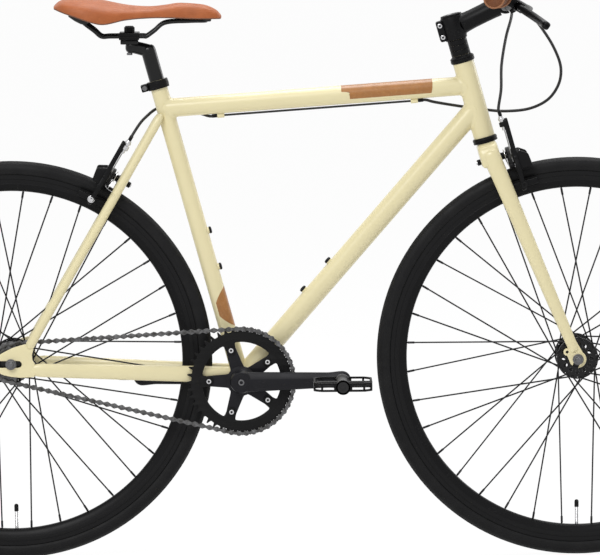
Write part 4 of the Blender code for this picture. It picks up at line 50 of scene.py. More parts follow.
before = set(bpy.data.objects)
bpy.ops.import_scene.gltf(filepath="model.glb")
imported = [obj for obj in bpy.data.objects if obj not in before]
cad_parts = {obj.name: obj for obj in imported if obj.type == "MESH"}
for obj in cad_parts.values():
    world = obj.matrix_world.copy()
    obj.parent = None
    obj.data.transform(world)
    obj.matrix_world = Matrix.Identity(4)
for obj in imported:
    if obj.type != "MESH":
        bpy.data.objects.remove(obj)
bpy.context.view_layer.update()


def middle(node):
    """Centre of a CAD node's box."""
    low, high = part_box(node)
    return (low + high) / 2


# Places and sizes shared with the CAD part, in metres

GAP = 0.0003
LEFT = Vector((0.0, 1.0, 0.0))
FORWARD = Vector((1.0, 0.0, 0.0))
UP = Vector((0.0, 0.0, 1.0))
SIDES = {"right": -1, "left": 1}
REAR_AXLE = middle("rear_axle")
FRONT_AXLE = middle("front_axle")
AXLES = {"front": FRONT_AXLE, "rear": REAR_AXLE}
CRANK_CENTRE = middle("bottom_bracket_spindle")
CHAINSTAY = (CRANK_CENTRE - REAR_AXLE).length

TYRE_WALL = 0.0028
RIM_RADIUS = 0.3165
RIM_NOSE_RADIUS = 0.288
RIM_HALF_WIDTH = 0.0115
BRAKE_TRACK_DROP = 0.0085
PAD_CLEARANCE = 0.002
BEAD_LOW = 0.312
VALVE_END_RADIUS = RIM_NOSE_RADIUS - 0.042
VALVE_ANGLES = {"front": radians(-90.0), "rear": radians(-89.25)}
HUB_WIDTHS = {"front": 0.1, "rear": 0.12}
FLANGE_YS = {"front": 0.036, "rear": 0.031}
DROPOUT_THICKNESSES = {"front": 0.005, "rear": 0.006}
FLANGE_RADIUS = 0.0352
FLANGE_THICKNESS = 0.0035
SPOKE_HOLE_RADIUS = 0.0322
SPOKES_CROSSED = 3
HUB_END_RADIUS = 0.0085
AXLE_RADIUS = 0.0048
AXLE_NUT_LENGTH = 0.0085

CHAIN_PITCH = 0.0127
CHAIN_LINKS = 92
RING_TEETH = 44
SPROCKET_TEETH = 16
RING_RADIUS = CHAIN_PITCH / (2 * sin(pi / RING_TEETH))
SPROCKET_RADIUS = CHAIN_PITCH / (2 * sin(pi / SPROCKET_TEETH))
CHAIN_LINE = 0.042
TOOTH_THICKNESS = 0.0028
CHAIN_PHASE = 0.25
BOLT_CIRCLE_RADIUS = 0.055
SPIDER_ARMS = 5
SPIDER_FIRST_ANGLE = radians(36.0)
SPIDER_ARM_THICKNESS = 0.0045
SPIDER_CENTRE_Y = CHAIN_LINE - TOOTH_THICKNESS / 2 - GAP - SPIDER_ARM_THICKNESS / 2
CRANK_LENGTH = 0.17
CRANK_ANGLE = radians(1.5)
CRANK_ROOT_Y = 0.058
CRANK_EYE_Y = 0.071
SPINDLE_RADIUS = 0.0085
FREEWHEEL_INNER_Y = 0.03725
FREEWHEEL_WIDTH = 0.014
PEDAL_INNER_Y = 0.087
PEDAL_WIDTH = 0.096

SEAT_ANGLE = radians(74.7)
SEAT_TUBE_LENGTH = 0.5215
SEAT_TUBE_RADIUS = 0.0143
COLLAR_RISE = 0.005
RAIL_RISE = 0.0802
TOP_TUBE_RADIUS = 0.0159
DOWN_TUBE_RADIUS = 0.01745
TUBE_WALL = 0.0015
HEAD_ANGLE = radians(74.5)
FORK_RAKE = 0.0493
HEAD_BOTTOM = 0.4018
HEAD_TOP = 0.5333
HEAD_TUBE_RADIUS = 0.018
SHELL_RADIUS = 0.02
SHELL_HALF_WIDTH = 0.034
STAY_REAR_Y = 0.063
SEATSTAY_RADIUS = 0.008
STAY_TOP_Y = 0.0185
BRIDGE_REACH = 0.3156
DROPOUT_STAY_REACH = Vector((0.0315, 0.03))
DROPOUT_SLOT_RADIUS = 0.00515
BOSS_SPACING = 0.064
CABLE_STOPS_AT = (0.4214, 0.0936)
CABLE_STOP_DROP = 0.0032
CABLE_STOP_LENGTH = 0.012

CUP_INNER_RADIUS = 0.0152
CUP_SKIRT_RADIUS = 0.0159
LOWER_CUP_RADIUS = 0.021
UPPER_CUP_RADIUS = 0.0205
STEERER_RADIUS = 0.0143
SPACER_RADIUS = 0.0165
CROWN_TOP = 0.3922
COVER_BOTTOM = 0.5399
SPACER_BOTTOM = 0.5462
SPACERS = 3
SPACER_HEIGHT = 0.009
STEM_BOTTOM = 0.5735
STEM_TOP = 0.613
STEM_CENTRE = (STEM_BOTTOM + STEM_TOP) / 2
STEM_LENGTH = 0.0964
STEM_RISE = radians(10.5)
STEM_CLAMP_RADIUS = 0.0185
FACEPLATE_RADIUS = 0.018
FACEPLATE_WIDTH = 0.042
FACEPLATE_SLIT = 0.00075
BRAKE_BOLT_S = 0.362
CROWN_DEPTH = 0.034
BLADE_END_RISE = 0.018
BLADE_END_FORWARD = 0.047
FORK_END_Y = 0.0525
FORK_END_RADIUS = 0.014
EYELET = (-0.0184, 0.0125)

BAR_RADIUS = 0.0111
BAR_CENTRE_RADIUS = 0.0127
BAR_HALF_WIDTH = 0.288
GRIP_LENGTH = 0.118
GRIP_RADIUS = 0.0177
GRIP_RIBS = 34
LEVER_DROOP = radians(33.0)
LEVER_CLAMP_REACH = GRIP_LENGTH + 0.012
ADJUSTER_DEPTH = 0.015
ADJUSTER_SPREAD = 0.031
LIMB_THICKNESS = 0.0082

HOUSING_RADIUS = 0.0025
WIRE_RADIUS = 0.0009
CABLE_END_LEAD = 0.013


def shift(x, y, z):
    """Placement moved by x, y and z."""
    return Matrix.Translation((x, y, z))


def frame_matrix(origin, x_axis, z_axis):
    """Placement with the given X and Z directions."""
    x_dir = Vector(x_axis).normalized()
    y_dir = Vector(z_axis).normalized().cross(x_dir).normalized()
    turn = Matrix((x_dir, y_dir, x_dir.cross(y_dir))).transposed().to_4x4()
    return Matrix.Translation(origin) @ turn


STEERING_UP = Vector((-cos(HEAD_ANGLE), 0.0, sin(HEAD_ANGLE)))
STEERING_FORWARD = Vector((sin(HEAD_ANGLE), 0.0, cos(HEAD_ANGLE)))
STEERING_FRAME = frame_matrix(FRONT_AXLE - STEERING_FORWARD * FORK_RAKE, STEERING_FORWARD, STEERING_UP)
SEAT_UP = Vector((-cos(SEAT_ANGLE), 0.0, sin(SEAT_ANGLE)))
SEAT_FORWARD = Vector((sin(SEAT_ANGLE), 0.0, cos(SEAT_ANGLE)))
SEAT_FRAME = frame_matrix(CRANK_CENTRE, SEAT_FORWARD, SEAT_UP)


def steering_point(forward, left, up):
    """World place of a point given along the steering axis and forward of it."""
    return STEERING_FRAME @ Vector((forward, left, up))


def seat_point(forward, left, up):
    """World place of a point given along the seat tube and forward of it."""
    return SEAT_FRAME @ Vector((forward, left, up))


STEM_DIRECTION = STEERING_FORWARD * cos(STEM_RISE) + STEERING_UP * sin(STEM_RISE)
BAR_CENTRE = steering_point(0.0, 0.0, STEM_CENTRE) + STEM_DIRECTION * STEM_LENGTH
SEATSTAY_BOTTOM = REAR_AXLE + Vector((DROPOUT_STAY_REACH.x, 0.0, DROPOUT_STAY_REACH.y))
SEATSTAY_TOP = seat_point(-0.0135, 0.0, SEAT_TUBE_LENGTH - 0.057)
STAY_UP = (SEATSTAY_TOP - SEATSTAY_BOTTOM).normalized()
STAY_BACK = Vector((-STAY_UP.z, 0.0, STAY_UP.x))
REAR_BRIDGE = SEATSTAY_BOTTOM + STAY_UP * BRIDGE_REACH
TOP_TUBE_START = seat_point(0.0, 0.0, SEAT_TUBE_LENGTH - 0.0442)
TOP_TUBE_END = steering_point(0.0, 0.0, HEAD_TOP - 0.0407)
TOP_TUBE_DIRECTION = (TOP_TUBE_END - TOP_TUBE_START).normalized()
TOP_TUBE_DOWN = LEFT.cross(TOP_TUBE_DIRECTION)
DOWN_TUBE_END = steering_point(0.0, 0.0, HEAD_BOTTOM + 0.0518)
DOWN_TUBE_DIRECTION = (DOWN_TUBE_END - CRANK_CENTRE).normalized()
SEAT_TUBE_TOP = seat_point(0.0, 0.0, SEAT_TUBE_LENGTH)
SADDLE_FRAME = Matrix.Translation(SEAT_TUBE_TOP + Vector((-0.1735, 0.0, RAIL_RISE)))
CLAMP_FRAME = Matrix.Translation(SEAT_TUBE_TOP + Vector((-0.0468, 0.0, RAIL_RISE)))
BAR_CLAMP_FRAME = frame_matrix(BAR_CENTRE, STEM_DIRECTION, LEFT)
FRONT_BRAKE_FRAME = frame_matrix(steering_point(0.02, 0.0, BRAKE_BOLT_S), STEERING_FORWARD, STEERING_UP)
REAR_BRAKE_FRAME = frame_matrix(REAR_BRIDGE + STAY_BACK * 0.01, STAY_BACK, STAY_UP)
BRAKES = {"front": (FRONT_BRAKE_FRAME, FRONT_AXLE, "steering"),
          "rear": (REAR_BRAKE_FRAME, REAR_AXLE, "frame")}
LEVER_DIRECTION = Vector((cos(LEVER_DROOP), 0.0, -sin(LEVER_DROOP)))
LEVER_UP = Vector((sin(LEVER_DROOP), 0.0, cos(LEVER_DROOP)))


# What a user may change

def size(name, default, description):
    """Length that the sidebar shows."""
    return FloatProperty(name=name, default=default, description=description, min=0.0, unit="LENGTH",
                         precision=4)


def tint(name, default, description):
    """Colour that the sidebar shows."""
    return FloatVectorProperty(name=name, default=default, description=description, min=0.0, max=1.0,
                               subtype="COLOR", size=3)


class BicycleSizes(bpy.types.PropertyGroup):
    """Sizes of the finished pieces."""

    tyre_radius: size("Tyre radius", 0.339, "From the axle to the tread")
    tyre_width: size("Tyre width", 0.028, "Across the tyre's sidewalls")
    tread_groove: size("Tread groove", 0.0004, "Depth of the grooves round the tread")
    sidewall_rib: size("Sidewall rib", 0.00035, "Height of the ribs round the sidewall")
    spoke_radius: size("Spoke radius", 0.0013, "Half the thickness of a spoke")
    spokes_per_side: IntProperty(name="Spokes per side", default=18, min=4, max=36,
                                 description="Spokes on each side of a wheel")
    weld: size("Weld", 0.0042, "Reach of the smooth fillets where tubes meet")
    link_thickness: size("Link plate", 0.001, "Thickness of a chain link's plates")
    grip_rib: size("Grip rib", 0.0007, "Depth of the grooves round the grips")
    leather_lip: size("Leather lip", 0.0011, "Thickness of the saddle's folded lower edge")
    pad_groove: size("Pad groove", 0.0012, "Depth of the grooves in the brake pads")


class BicycleColours(bpy.types.PropertyGroup):
    """Colours of the finishes."""

    paint: tint("Frame paint", (0.775, 0.695, 0.42), "Cream paint of the frame and fork")
    leather: tint("Saddle leather", (0.405, 0.106, 0.027), "Tan cover of the saddle")
    grip: tint("Grips", (0.12, 0.035, 0.008), "Tan rubber of the grips")
    band: tint("Bands", (0.37, 0.145, 0.024), "Plain tan bands on the tubes")
    black: tint("Black parts", (0.006, 0.006, 0.0065), "Anodised and painted black metal")
    crank: tint("Cranks", (0.011, 0.011, 0.0135), "Grey anodised cranks")
    rubber: tint("Tyres", (0.0095, 0.0095, 0.01), "Tyre rubber")
    chain: tint("Chain", (0.15, 0.15, 0.155), "Dark steel of the chain")
    steel: tint("Bright steel", (0.62, 0.62, 0.63), "Plated bolts, nuts and adjusters")


# Points and outlines

def between(start, end, side=LEFT):
    """Placement at start with Z towards end; also the length."""
    along = Vector(end) - Vector(start)
    z_dir = along.normalized()
    if abs(z_dir.dot(side)) > 0.99:
        side = FORWARD
    return frame_matrix(Vector(start), Vector(side).cross(z_dir), z_dir), along.length


def across_frame(centre, side=1):
    """Placement with X forward and Z out of one side, the left one unless another is given."""
    return frame_matrix(centre, FORWARD, LEFT * side)


def side_plane(centre):
    """Placement for an outline drawn as seen from the drive side: X forward, Y up."""
    return frame_matrix(centre, FORWARD, -LEFT)


STRIP_STEP = 0.002


def arc(radius, first, last, count, centre=(0.0, 0.0)):
    """Points along an arc, both ends included."""
    turns = [first + (last - first) * index / (count - 1) for index in range(count)]
    return [(centre[0] + radius * cos(a), centre[1] + radius * sin(a)) for a in turns]


def circle(radius, count, centre=(0.0, 0.0)):
    """Points round a circle."""
    return arc(radius, 0.0, 2 * pi * (count - 1) / count, count, centre)


def round_steps(count):
    """Angles of equal steps round a circle."""
    return [2 * pi * index / count for index in range(count)]


def oval(across, up, flat=1.0, count=48):
    """Directions round an oval as high as 1 and as wide as its flatness."""
    return [across * cos(a) * flat + up * sin(a) for a in round_steps(count)]


def rectangle(length, width):
    """Corners of a rectangle."""
    x, y = length / 2, width / 2
    return [(-x, -y), (x, -y), (x, y), (-x, y)]


def bent(start, corner, end, t):
    """Point at t, from 0 to 1, of the round bend between two points."""
    return start * (1 - t) ** 2 + corner * 2 * t * (1 - t) + end * t ** 2


def soften(outline, reach, steps=3):
    """Closed outline with its corners rounded off."""
    line = [Vector(point) for point in outline]
    made = []
    for index, corner in enumerate(line):
        back = line[index - 1] - corner
        ahead = line[(index + 1) % len(line)] - corner
        start = corner + back * min(0.45, reach / max(back.length, 1e-9))
        end = corner + ahead * min(0.45, reach / max(ahead.length, 1e-9))
        made += [tuple(bent(start, corner, end, step / steps)) for step in range(steps + 1)]
    return made


def smooth_path(knots, step):
    """Evenly spaced points on a smooth curve through the knots."""
    line = [Vector(knot) for knot in knots]
    ends = [line[0] * 2 - line[1]] + line + [line[-1] * 2 - line[-2]]
    fine = []
    for index in range(1, len(ends) - 2):
        a, b, c, d = ends[index - 1:index + 3]
        for part in range(24):
            t = part / 24
            fine.append(0.5 * (2 * b + (c - a) * t + (2 * a - 5 * b + 4 * c - d) * t ** 2
                               + (3 * b - a - 3 * c + d) * t ** 3))
    fine.append(line[-1])
    lengths = [(second - first).length for first, second in zip(fine, fine[1:])]
    count = max(2, round(sum(lengths) / step))
    spacing = sum(lengths) / count
    points, travelled, wanted = [fine[0]], 0.0, spacing
    for first, second, length in zip(fine, fine[1:], lengths):
        while length > 0 and travelled + length >= wanted - 1e-9 and len(points) < count:
            points.append(first.lerp(second, (wanted - travelled) / length))
            wanted += spacing
        travelled += length
    return points + [fine[-1]]


def strip(rows):
    """Outline of a curved flat bar with round ends, from rows of x, y and its width there."""
    line = smooth_path(rows, STRIP_STEP)
    left, right = [], []
    for index, point in enumerate(line):
        before, after = line[max(index - 1, 0)], line[min(index + 1, len(line) - 1)]
        ahead = Vector((after.x - before.x, after.y - before.y)).normalized()
        across = Vector((-ahead.y, ahead.x)) * point.z / 2
        left.append(Vector((point.x, point.y)) + across)
        right.append(Vector((point.x, point.y)) - across)

    def round_end(point, first):
        start = atan2(first.y - point.y, first.x - point.x)
        return arc(point.z / 2, start, start + pi, 9, (point.x, point.y))[1:-1]

    ends = round_end(line[-1], right[-1]), round_end(line[0], left[0])
    return [tuple(point) for point in (*right, *ends[0], *left[::-1], *ends[1])]


def interpolate(table, place):
    """Smooth value at a place from a short table of (place, value) rows."""
    for index in range(len(table) - 1):
        if place <= table[index + 1][0]:
            break
    x0, y0 = table[index]
    x1, y1 = table[index + 1]

    def slope(at):
        low = table[max(at - 1, 0)]
        high = table[min(at + 1, len(table) - 1)]
        return (high[1] - low[1]) / (high[0] - low[0])

    width = x1 - x0
    t = min(max((place - x0) / width, 0.0), 1.0)
    m0, m1 = slope(index) * width, slope(index + 1) * width
    return ((2 * t ** 3 - 3 * t ** 2 + 1) * y0 + (t ** 3 - 2 * t ** 2 + t) * m0
            + (-2 * t ** 3 + 3 * t ** 2) * y1 + (t ** 3 - t ** 2) * m1)


# Closed parts and the pieces made of them

DOME_ANGLES = (0, 25, 50, 78)
DOME_SHARE = 0.6
SHARP_ANGLE = 34


class Shape:
    """Closed parts of one piece, put together before they become a mesh."""

    def __init__(self):
        self.points, self.faces, self.slots, self.maps = [], [], [], []

    def add(self, points, faces, finish=0, maps=None):
        """Adds points and faces with their finish and map places."""
        first = len(self.points)
        self.points += points
        self.faces += [[first + corner for corner in face] for face in faces]
        self.slots += [finish] * len(faces) if isinstance(finish, int) else finish
        self.maps += maps or [[(0.0, 0.0)] * len(face) for face in faces]

    def skin(self, rings, finish=0, loop=False):
        """Surface over rings of points; a loop joins the last ring to the first, else both are closed."""
        count = len(rings[0])
        around, widest = [], 0.0
        for ring in rings:
            steps = [(b - a).length for a, b in zip(ring, ring[1:] + ring[:1])]
            if sum(steps) > widest:
                widest = sum(steps)
                around = [sum(steps[:index]) for index in range(count + 1)]
        along = [0.0]
        for first, second in zip(rings, rings[1:] + rings[:1]):
            along.append(along[-1] + (second[0] - first[0]).length)
        points = [point for ring in rings for point in ring]
        faces, maps, slots = [], [], []
        for row in range(len(rings) if loop else len(rings) - 1):
            above = (row + 1) % len(rings)
            for spot in range(count):
                beside = (spot + 1) % count
                faces.append([row * count + spot, row * count + beside,
                              above * count + beside, above * count + spot])
                maps.append([(around[spot], along[row]), (around[spot + 1], along[row]),
                             (around[spot + 1], along[row + 1]), (around[spot], along[row + 1])])
                slots.append(finish if isinstance(finish, int) else finish[row])
        if not loop:
            for row, order in ((0, range(count - 1, -1, -1)), (len(rings) - 1, range(count))):
                faces.append([row * count + spot for spot in order])
                maps.append([(around[spot], along[row]) for spot in order])
                slots.append(finish if isinstance(finish, int) else finish[min(row, len(finish) - 1)])
        self.add(points, faces, slots, maps)

    def turned(self, place, profile, steps, finish=0, closed=True):
        """(radius, height) outline turned about local Z; an open one is closed flat at both ends."""
        rings = [[place @ Vector((radius * cos(a), radius * sin(a), height)) for a in round_steps(steps)]
                 for radius, height in profile]
        self.skin(rings, finish, loop=closed)

    def bar(self, place, radius, low, high, steps, finish, edge=0.0004):
        """Round bar along local Z with softened edges."""
        low, high = sorted((low, high))
        near = edge * 0.3
        profile = [(radius - edge, low), (radius - near, low + near), (radius, low + edge),
                   (radius, high - edge), (radius - near, high - near), (radius - edge, high)]
        self.turned(place, profile, steps, finish, closed=False)

    def rod(self, start, end, radius, steps, finish=0, edge=0.0003):
        """Straight round bar between two points."""
        place, length = between(start, end)
        self.bar(place, radius, 0.0, length, steps, finish, edge)

    def ring(self, place, outer, inner, low, high, steps, finish=0, edge=0.0004):
        """Round ring along local Z with softened edges."""
        low, high = sorted((low, high))
        profile = soften([(outer, high), (outer, low), (inner, low), (inner, high)], edge, 2)
        self.turned(place, profile, steps, finish)

    def tube(self, points, radius, sides, finish=0, loop=False, flatten=1.0, side=LEFT, dome=True):
        """Round tube along points, with one radius or one at each point."""
        points = [Vector(point) for point in points]
        radii = list(radius) if isinstance(radius, (list, tuple)) else [radius] * len(points)
        rings = []
        across = None
        for index, point in enumerate(points):
            if loop:
                ahead = points[(index + 1) % len(points)] - points[index - 1]
            else:
                ahead = points[min(index + 1, len(points) - 1)] - points[max(index - 1, 0)]
            ahead.normalize()
            if across is None:
                across = Vector(side) - ahead * ahead.dot(side)
                if across.length < 0.05:
                    across = FORWARD - ahead * ahead.dot(FORWARD)
            across = (across - ahead * ahead.dot(across)).normalized()
            other = ahead.cross(across)
            spread = oval(across, other, flatten, sides)
            caps = [(0.0, 1.0)]
            if dome and not loop and index in (0, len(points) - 1):
                facing = 1 if index else -1
                caps = [(facing * sin(radians(a)), cos(radians(a))) for a in DOME_ANGLES[::facing]]
            for rise, share in caps:
                centre = point + ahead * radii[index] * rise * DOME_SHARE
                rings.append([centre + spot * radii[index] * share for spot in spread])
        self.skin(rings, finish, loop)

    def knurled(self, place, radius, low, high, ridges, finish, depth=0.0004):
        """Round bar along local Z with ridges along it."""
        low, high = sorted((low, high))
        rings = []
        for share, height in ((0.86, low), (1.0, low + 0.0005), (1.0, high - 0.0005), (0.86, high)):
            reaches = [(radius - depth * (spot % 2)) * share for spot in range(2 * ridges)]
            rings.append([place @ Vector((reach * cos(a), reach * sin(a), height))
                          for reach, a in zip(reaches, round_steps(2 * ridges))])
        self.skin(rings, finish)

    def plate(self, place, outline, thickness, finish=0, holes=(), edge=0.0005, steps=1):
        """Flat plate in local XY, centred on its thickness, with holes and softened edges."""
        curve = bpy.data.curves.new("outline", "CURVE")
        curve.dimensions = "2D"
        curve.fill_mode = "BOTH"
        curve.extrude = thickness / 2 - edge
        curve.bevel_depth = edge
        curve.bevel_resolution = steps
        curve.offset = -edge
        for loop in (outline, *holes):
            spline = curve.splines.new("POLY")
            spline.points.add(len(loop) - 1)
            for point, (x, y) in zip(spline.points, loop):
                point.co = (x, y, 0.0, 1.0)
            spline.use_cyclic_u = True
        self.take(evaluated_mesh(show("outline", curve)), place, finish)
        bpy.data.curves.remove(curve)

    def take(self, mesh, place, finish):
        """Adds a mesh, merged and placed, and drops it."""
        shape = bmesh.new()
        shape.from_mesh(mesh)
        bmesh.ops.remove_doubles(shape, verts=shape.verts, dist=1e-6)
        bmesh.ops.dissolve_degenerate(shape, edges=shape.edges, dist=1e-7)
        shape.verts.index_update()
        points = [place @ corner.co for corner in shape.verts]
        faces = [[corner.index for corner in face.verts] for face in shape.faces]
        maps = [[(corner.co.x, corner.co.y) for corner in face.verts] for face in shape.faces]
        shape.free()
        bpy.data.meshes.remove(mesh)
        self.add(points, faces, finish, maps)

    def block(self, place, extent, finish, edge=0.0008):
        """Box centred on its place, with rounded edges."""
        self.plate(place, rectangle(*extent[:2]), extent[2], finish, edge=edge)

    def hexagon(self, place, radius, low, high, finish, socket=0.0):
        """Hexagon nut or bolt head along local Z, with a socket in its high end if it has one."""
        low, high = sorted((low, high))
        holes = (circle(socket, 6),) if socket else ()
        self.plate(place @ shift(0.0, 0.0, (low + high) / 2), soften(circle(radius, 6), radius * 0.12),
                   high - low, finish, holes, edge=min(0.0004, (high - low) / 4))

    def mesh(self, name, finishes, sharp=SHARP_ANGLE):
        """Mesh of the shape, with outward normals and its finishes."""
        made = bpy.data.meshes.new(name)
        made.from_pydata([tuple(point) for point in self.points], [], self.faces)
        made.polygons.foreach_set("material_index", self.slots)
        layer = made.uv_layers.new(name="UVMap")
        layer.data.foreach_set("uv", [value for face in self.maps for spot in face for value in spot])
        for finish in finishes:
            made.materials.append(finish)
        shape = bmesh.new()
        shape.from_mesh(made)
        bmesh.ops.recalc_face_normals(shape, faces=shape.faces)
        shape.to_mesh(made)
        shape.free()
        return smoothed(made, sharp)

    def piece(self, name, finishes, body, slot, *nodes, sharp=SHARP_ANGLE):
        """Finished piece that rides on a body and stands for CAD nodes."""
        return settle(show(name, self.mesh(name, finishes, sharp)), body, slot, *nodes)


def show(name, data):
    """New object in the scene."""
    made = bpy.data.objects.new(name, data)
    bpy.context.scene.collection.objects.link(made)
    return made


def smoothed(mesh, sharp):
    """Mesh shaded smooth but for edges above an angle in degrees."""
    mesh.shade_smooth()
    mesh.set_sharp_from_angle(angle=radians(sharp))
    return mesh


def settle(made, body, slot, *nodes):
    """Hangs a piece on its body and hides the CAD nodes that it stands for."""
    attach(made, body)
    if nodes:
        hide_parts(*nodes)
    return made


def evaluated_mesh(carrier):
    """Plain mesh of an object as its curve or modifiers make it; the object is removed."""
    bpy.context.view_layer.update()
    graph = bpy.context.evaluated_depsgraph_get()
    mesh = bpy.data.meshes.new_from_object(carrier.evaluated_get(graph))
    bpy.data.objects.remove(carrier, do_unlink=True)
    return mesh


# What repeats, made with geometry nodes

def feed(tree, node, inputs):
    """Links a node's inputs to sockets, or sets them to values."""
    for key, value in inputs.items():
        if isinstance(value, bpy.types.NodeSocket):
            tree.links.new(value, node.inputs[key])
        else:
            node.inputs[key].default_value = value


def add_node(tree, kind, inputs, **settings):
    """Node with its settings and inputs; returns its outputs."""
    node = tree.nodes.new(kind)
    for label, value in settings.items():
        setattr(node, label, value)
    feed(tree, node, inputs)
    return node.outputs


def add_math(tree, operation, *values):
    """Math node fed by sockets or numbers; returns its output."""
    return add_node(tree, "ShaderNodeMath", dict(enumerate(values)), operation=operation)[0]


def times(tree, first, second):
    """Product of two sockets or numbers."""
    return add_math(tree, "MULTIPLY", first, second)


def new_socket(tree, label, kind, in_out="INPUT"):
    """Named socket of a node tree."""
    return tree.interface.new_socket(name=label, in_out=in_out, socket_type="NodeSocket" + kind)


def new_tree(name, inputs):
    """Geometry node tree with named inputs; also their sockets and their identifiers."""
    tree = bpy.data.node_groups.new(name, "GeometryNodeTree")
    keys = {label: new_socket(tree, label, kind).identifier
            for label, kind in (("Part", "Geometry"), *inputs, ("Finish", "Material"))}
    new_socket(tree, "Copies", "Geometry", "OUTPUT")
    return tree, tree.nodes.new("NodeGroupInput").outputs, keys


def end_tree(tree, given, copies):
    """Makes the copies real and gives them their finish."""
    real = add_node(tree, "GeometryNodeRealizeInstances", {0: copies})[0]
    done = add_node(tree, "GeometryNodeSetMaterial", {"Geometry": real, "Material": given["Finish"]})[0]
    add_node(tree, "NodeGroupOutput", {0: done})


def ring_tree():
    """Tree that repeats a part round an axis."""
    tree, given, keys = new_tree("copies_round_an_axis", (
        ("Count", "Int"), ("Centre", "Vector"), ("Axis", "Vector")))
    spots = add_node(tree, "GeometryNodePoints", {"Count": given["Count"]})[0]
    copies = add_node(tree, "GeometryNodeInstanceOnPoints", {"Points": spots, "Instance": given["Part"]})[0]
    index = add_node(tree, "GeometryNodeInputIndex", {})[0]
    angle = times(tree, add_math(tree, "DIVIDE", index, given["Count"]), 2 * pi)
    turn = add_node(tree, "FunctionNodeAxisAngleToRotation", {"Axis": given["Axis"], "Angle": angle})[0]
    end_tree(tree, given, add_node(tree, "GeometryNodeRotateInstances", {
        "Local Space": False, "Instances": copies, "Rotation": turn, "Pivot Point": given["Centre"]})[0])
    return tree, keys


def path_tree():
    """Tree that puts a part on points, turned about Y by each point's own angle."""
    tree, given, keys = new_tree("copies_on_points", (("Copied", "Object"),))
    source = add_node(tree, "GeometryNodeObjectInfo", {"Object": given["Copied"]})["Geometry"]
    facing = add_node(tree, "GeometryNodeInputNamedAttribute", {"Name": "turn"}, data_type="FLOAT")
    turn = add_node(tree, "FunctionNodeAxisAngleToRotation", {
        "Axis": (0.0, -1.0, 0.0), "Angle": facing["Attribute"]})[0]
    end_tree(tree, given, add_node(tree, "GeometryNodeInstanceOnPoints", {
        "Points": given["Part"], "Instance": source, "Rotation": turn})[0])
    return tree, keys


def grown(name, source, tree_and_keys, values, body, slot, *nodes):
    """Piece that a node tree makes from a source mesh, as a plain mesh."""
    tree, keys = tree_and_keys
    carrier = show(name, source)
    modifier = carrier.modifiers.new("copies", "NODES")
    modifier.node_group = tree
    for label, value in values.items():
        modifier[keys[label]] = value
    mesh = evaluated_mesh(carrier)
    mesh.name = name
    return settle(show(name, smoothed(mesh, SHARP_ANGLE)), body, slot, *nodes)


def copied_round(name, shape, finish, count, centre, axis, body, slot, *nodes):
    """Piece of equal copies of a shape round an axis."""
    values = {"Count": count, "Centre": tuple(centre), "Axis": tuple(axis), "Finish": finish}
    return grown(name, shape.mesh(name, [finish]), TREES["ring"], values, body, slot, *nodes)


def copied_on_points(name, shape, finish, spots, body, slot, *nodes):
    """Piece of copies of a shape at points with an angle each."""
    source = bpy.data.meshes.new(name)
    source.from_pydata([tuple(point) for point, _ in spots], [], [])
    source.attributes.new("turn", "FLOAT", "POINT").data.foreach_set("value", [a for _, a in spots])
    copied = show(name + "_source", shape.mesh(name + "_source", [finish]))
    made = grown(name, source, TREES["path"], {"Copied": copied, "Finish": finish}, body, slot, *nodes)
    bpy.data.objects.remove(copied, do_unlink=True)
    return made


TREES = {}


# Finishes

def group_base(name, inputs, outputs):
    """Shader node group with named inputs and outputs; also its inputs' sockets and its end."""
    group = bpy.data.node_groups.new(name, "ShaderNodeTree")
    for label, kind, default in inputs:
        new_socket(group, label, kind).default_value = default
    for label, kind in outputs:
        new_socket(group, label, kind, "OUTPUT")
    return group, group.nodes.new("NodeGroupInput").outputs, group.nodes.new("NodeGroupOutput")


def coordinates(tree, kind="Object"):
    """Coordinates that a pattern lies on."""
    return add_node(tree, "ShaderNodeTexCoord", {})[kind]


def add_noise(tree, vector, scale, detail=3.0, rough=0.55, stretch=None):
    """Noise texture fed by a vector; returns its factor."""
    if stretch:
        vector = add_node(tree, "ShaderNodeMapping", {"Scale": stretch, "Vector": vector})[0]
    return add_node(tree, "ShaderNodeTexNoise", {
        "Vector": vector, "Scale": scale, "Detail": detail, "Roughness": rough})["Fac"]


def add_mix(tree, factor, first, second):
    """Colour mix fed by sockets or colours; returns its colour."""
    return add_node(tree, "ShaderNodeMix", {0: factor, 6: first, 7: second}, data_type="RGBA")[2]


def tinted(tree, tone, mask, share, colour):
    """Colour turned towards another by a share of a mask."""
    return add_mix(tree, times(tree, mask, share), tone, colour)


def ramp(tree, value, low, high):
    """Value spread from 0 at low to 1 at high."""
    return add_node(tree, "ShaderNodeMapRange", {"Value": value, "From Min": low, "From Max": high})[0]


def share_of(tree, value, share, base):
    """Base plus a share of a value."""
    return add_math(tree, "MULTIPLY_ADD", value, share, base)


def surface_group():
    """Slow drift of colour and gloss, with a fine height, over any surface."""
    group, given, leave = group_base(
        "surface_drift",
        (("Colour", "Color", (0.5, 0.5, 0.5, 1.0)), ("Other Colour", "Color", (0.4, 0.4, 0.4, 1.0)),
         ("Drift Scale", "Float", 30.0), ("Grain Scale", "Float", 900.0), ("Roughness", "Float", 0.4),
         ("Roughness Drift", "Float", 0.1)),
        (("Colour", "Color"), ("Roughness", "Float"), ("Height", "Float")))
    place = coordinates(group)
    share = ramp(group, add_noise(group, place, given["Drift Scale"]), 0.3, 0.7)
    grain = add_noise(group, place, given["Grain Scale"], 2.0)
    both = add_math(group, "ADD", times(group, share, 0.6), times(group, grain, 0.8))
    swing = add_math(group, "SUBTRACT", both, 0.7)
    gloss = share_of(group, swing, given["Roughness Drift"], given["Roughness"])
    feed(group, leave, {"Colour": add_mix(group, share, given["Colour"], given["Other Colour"]),
                        "Roughness": gloss, "Height": grain})
    return group


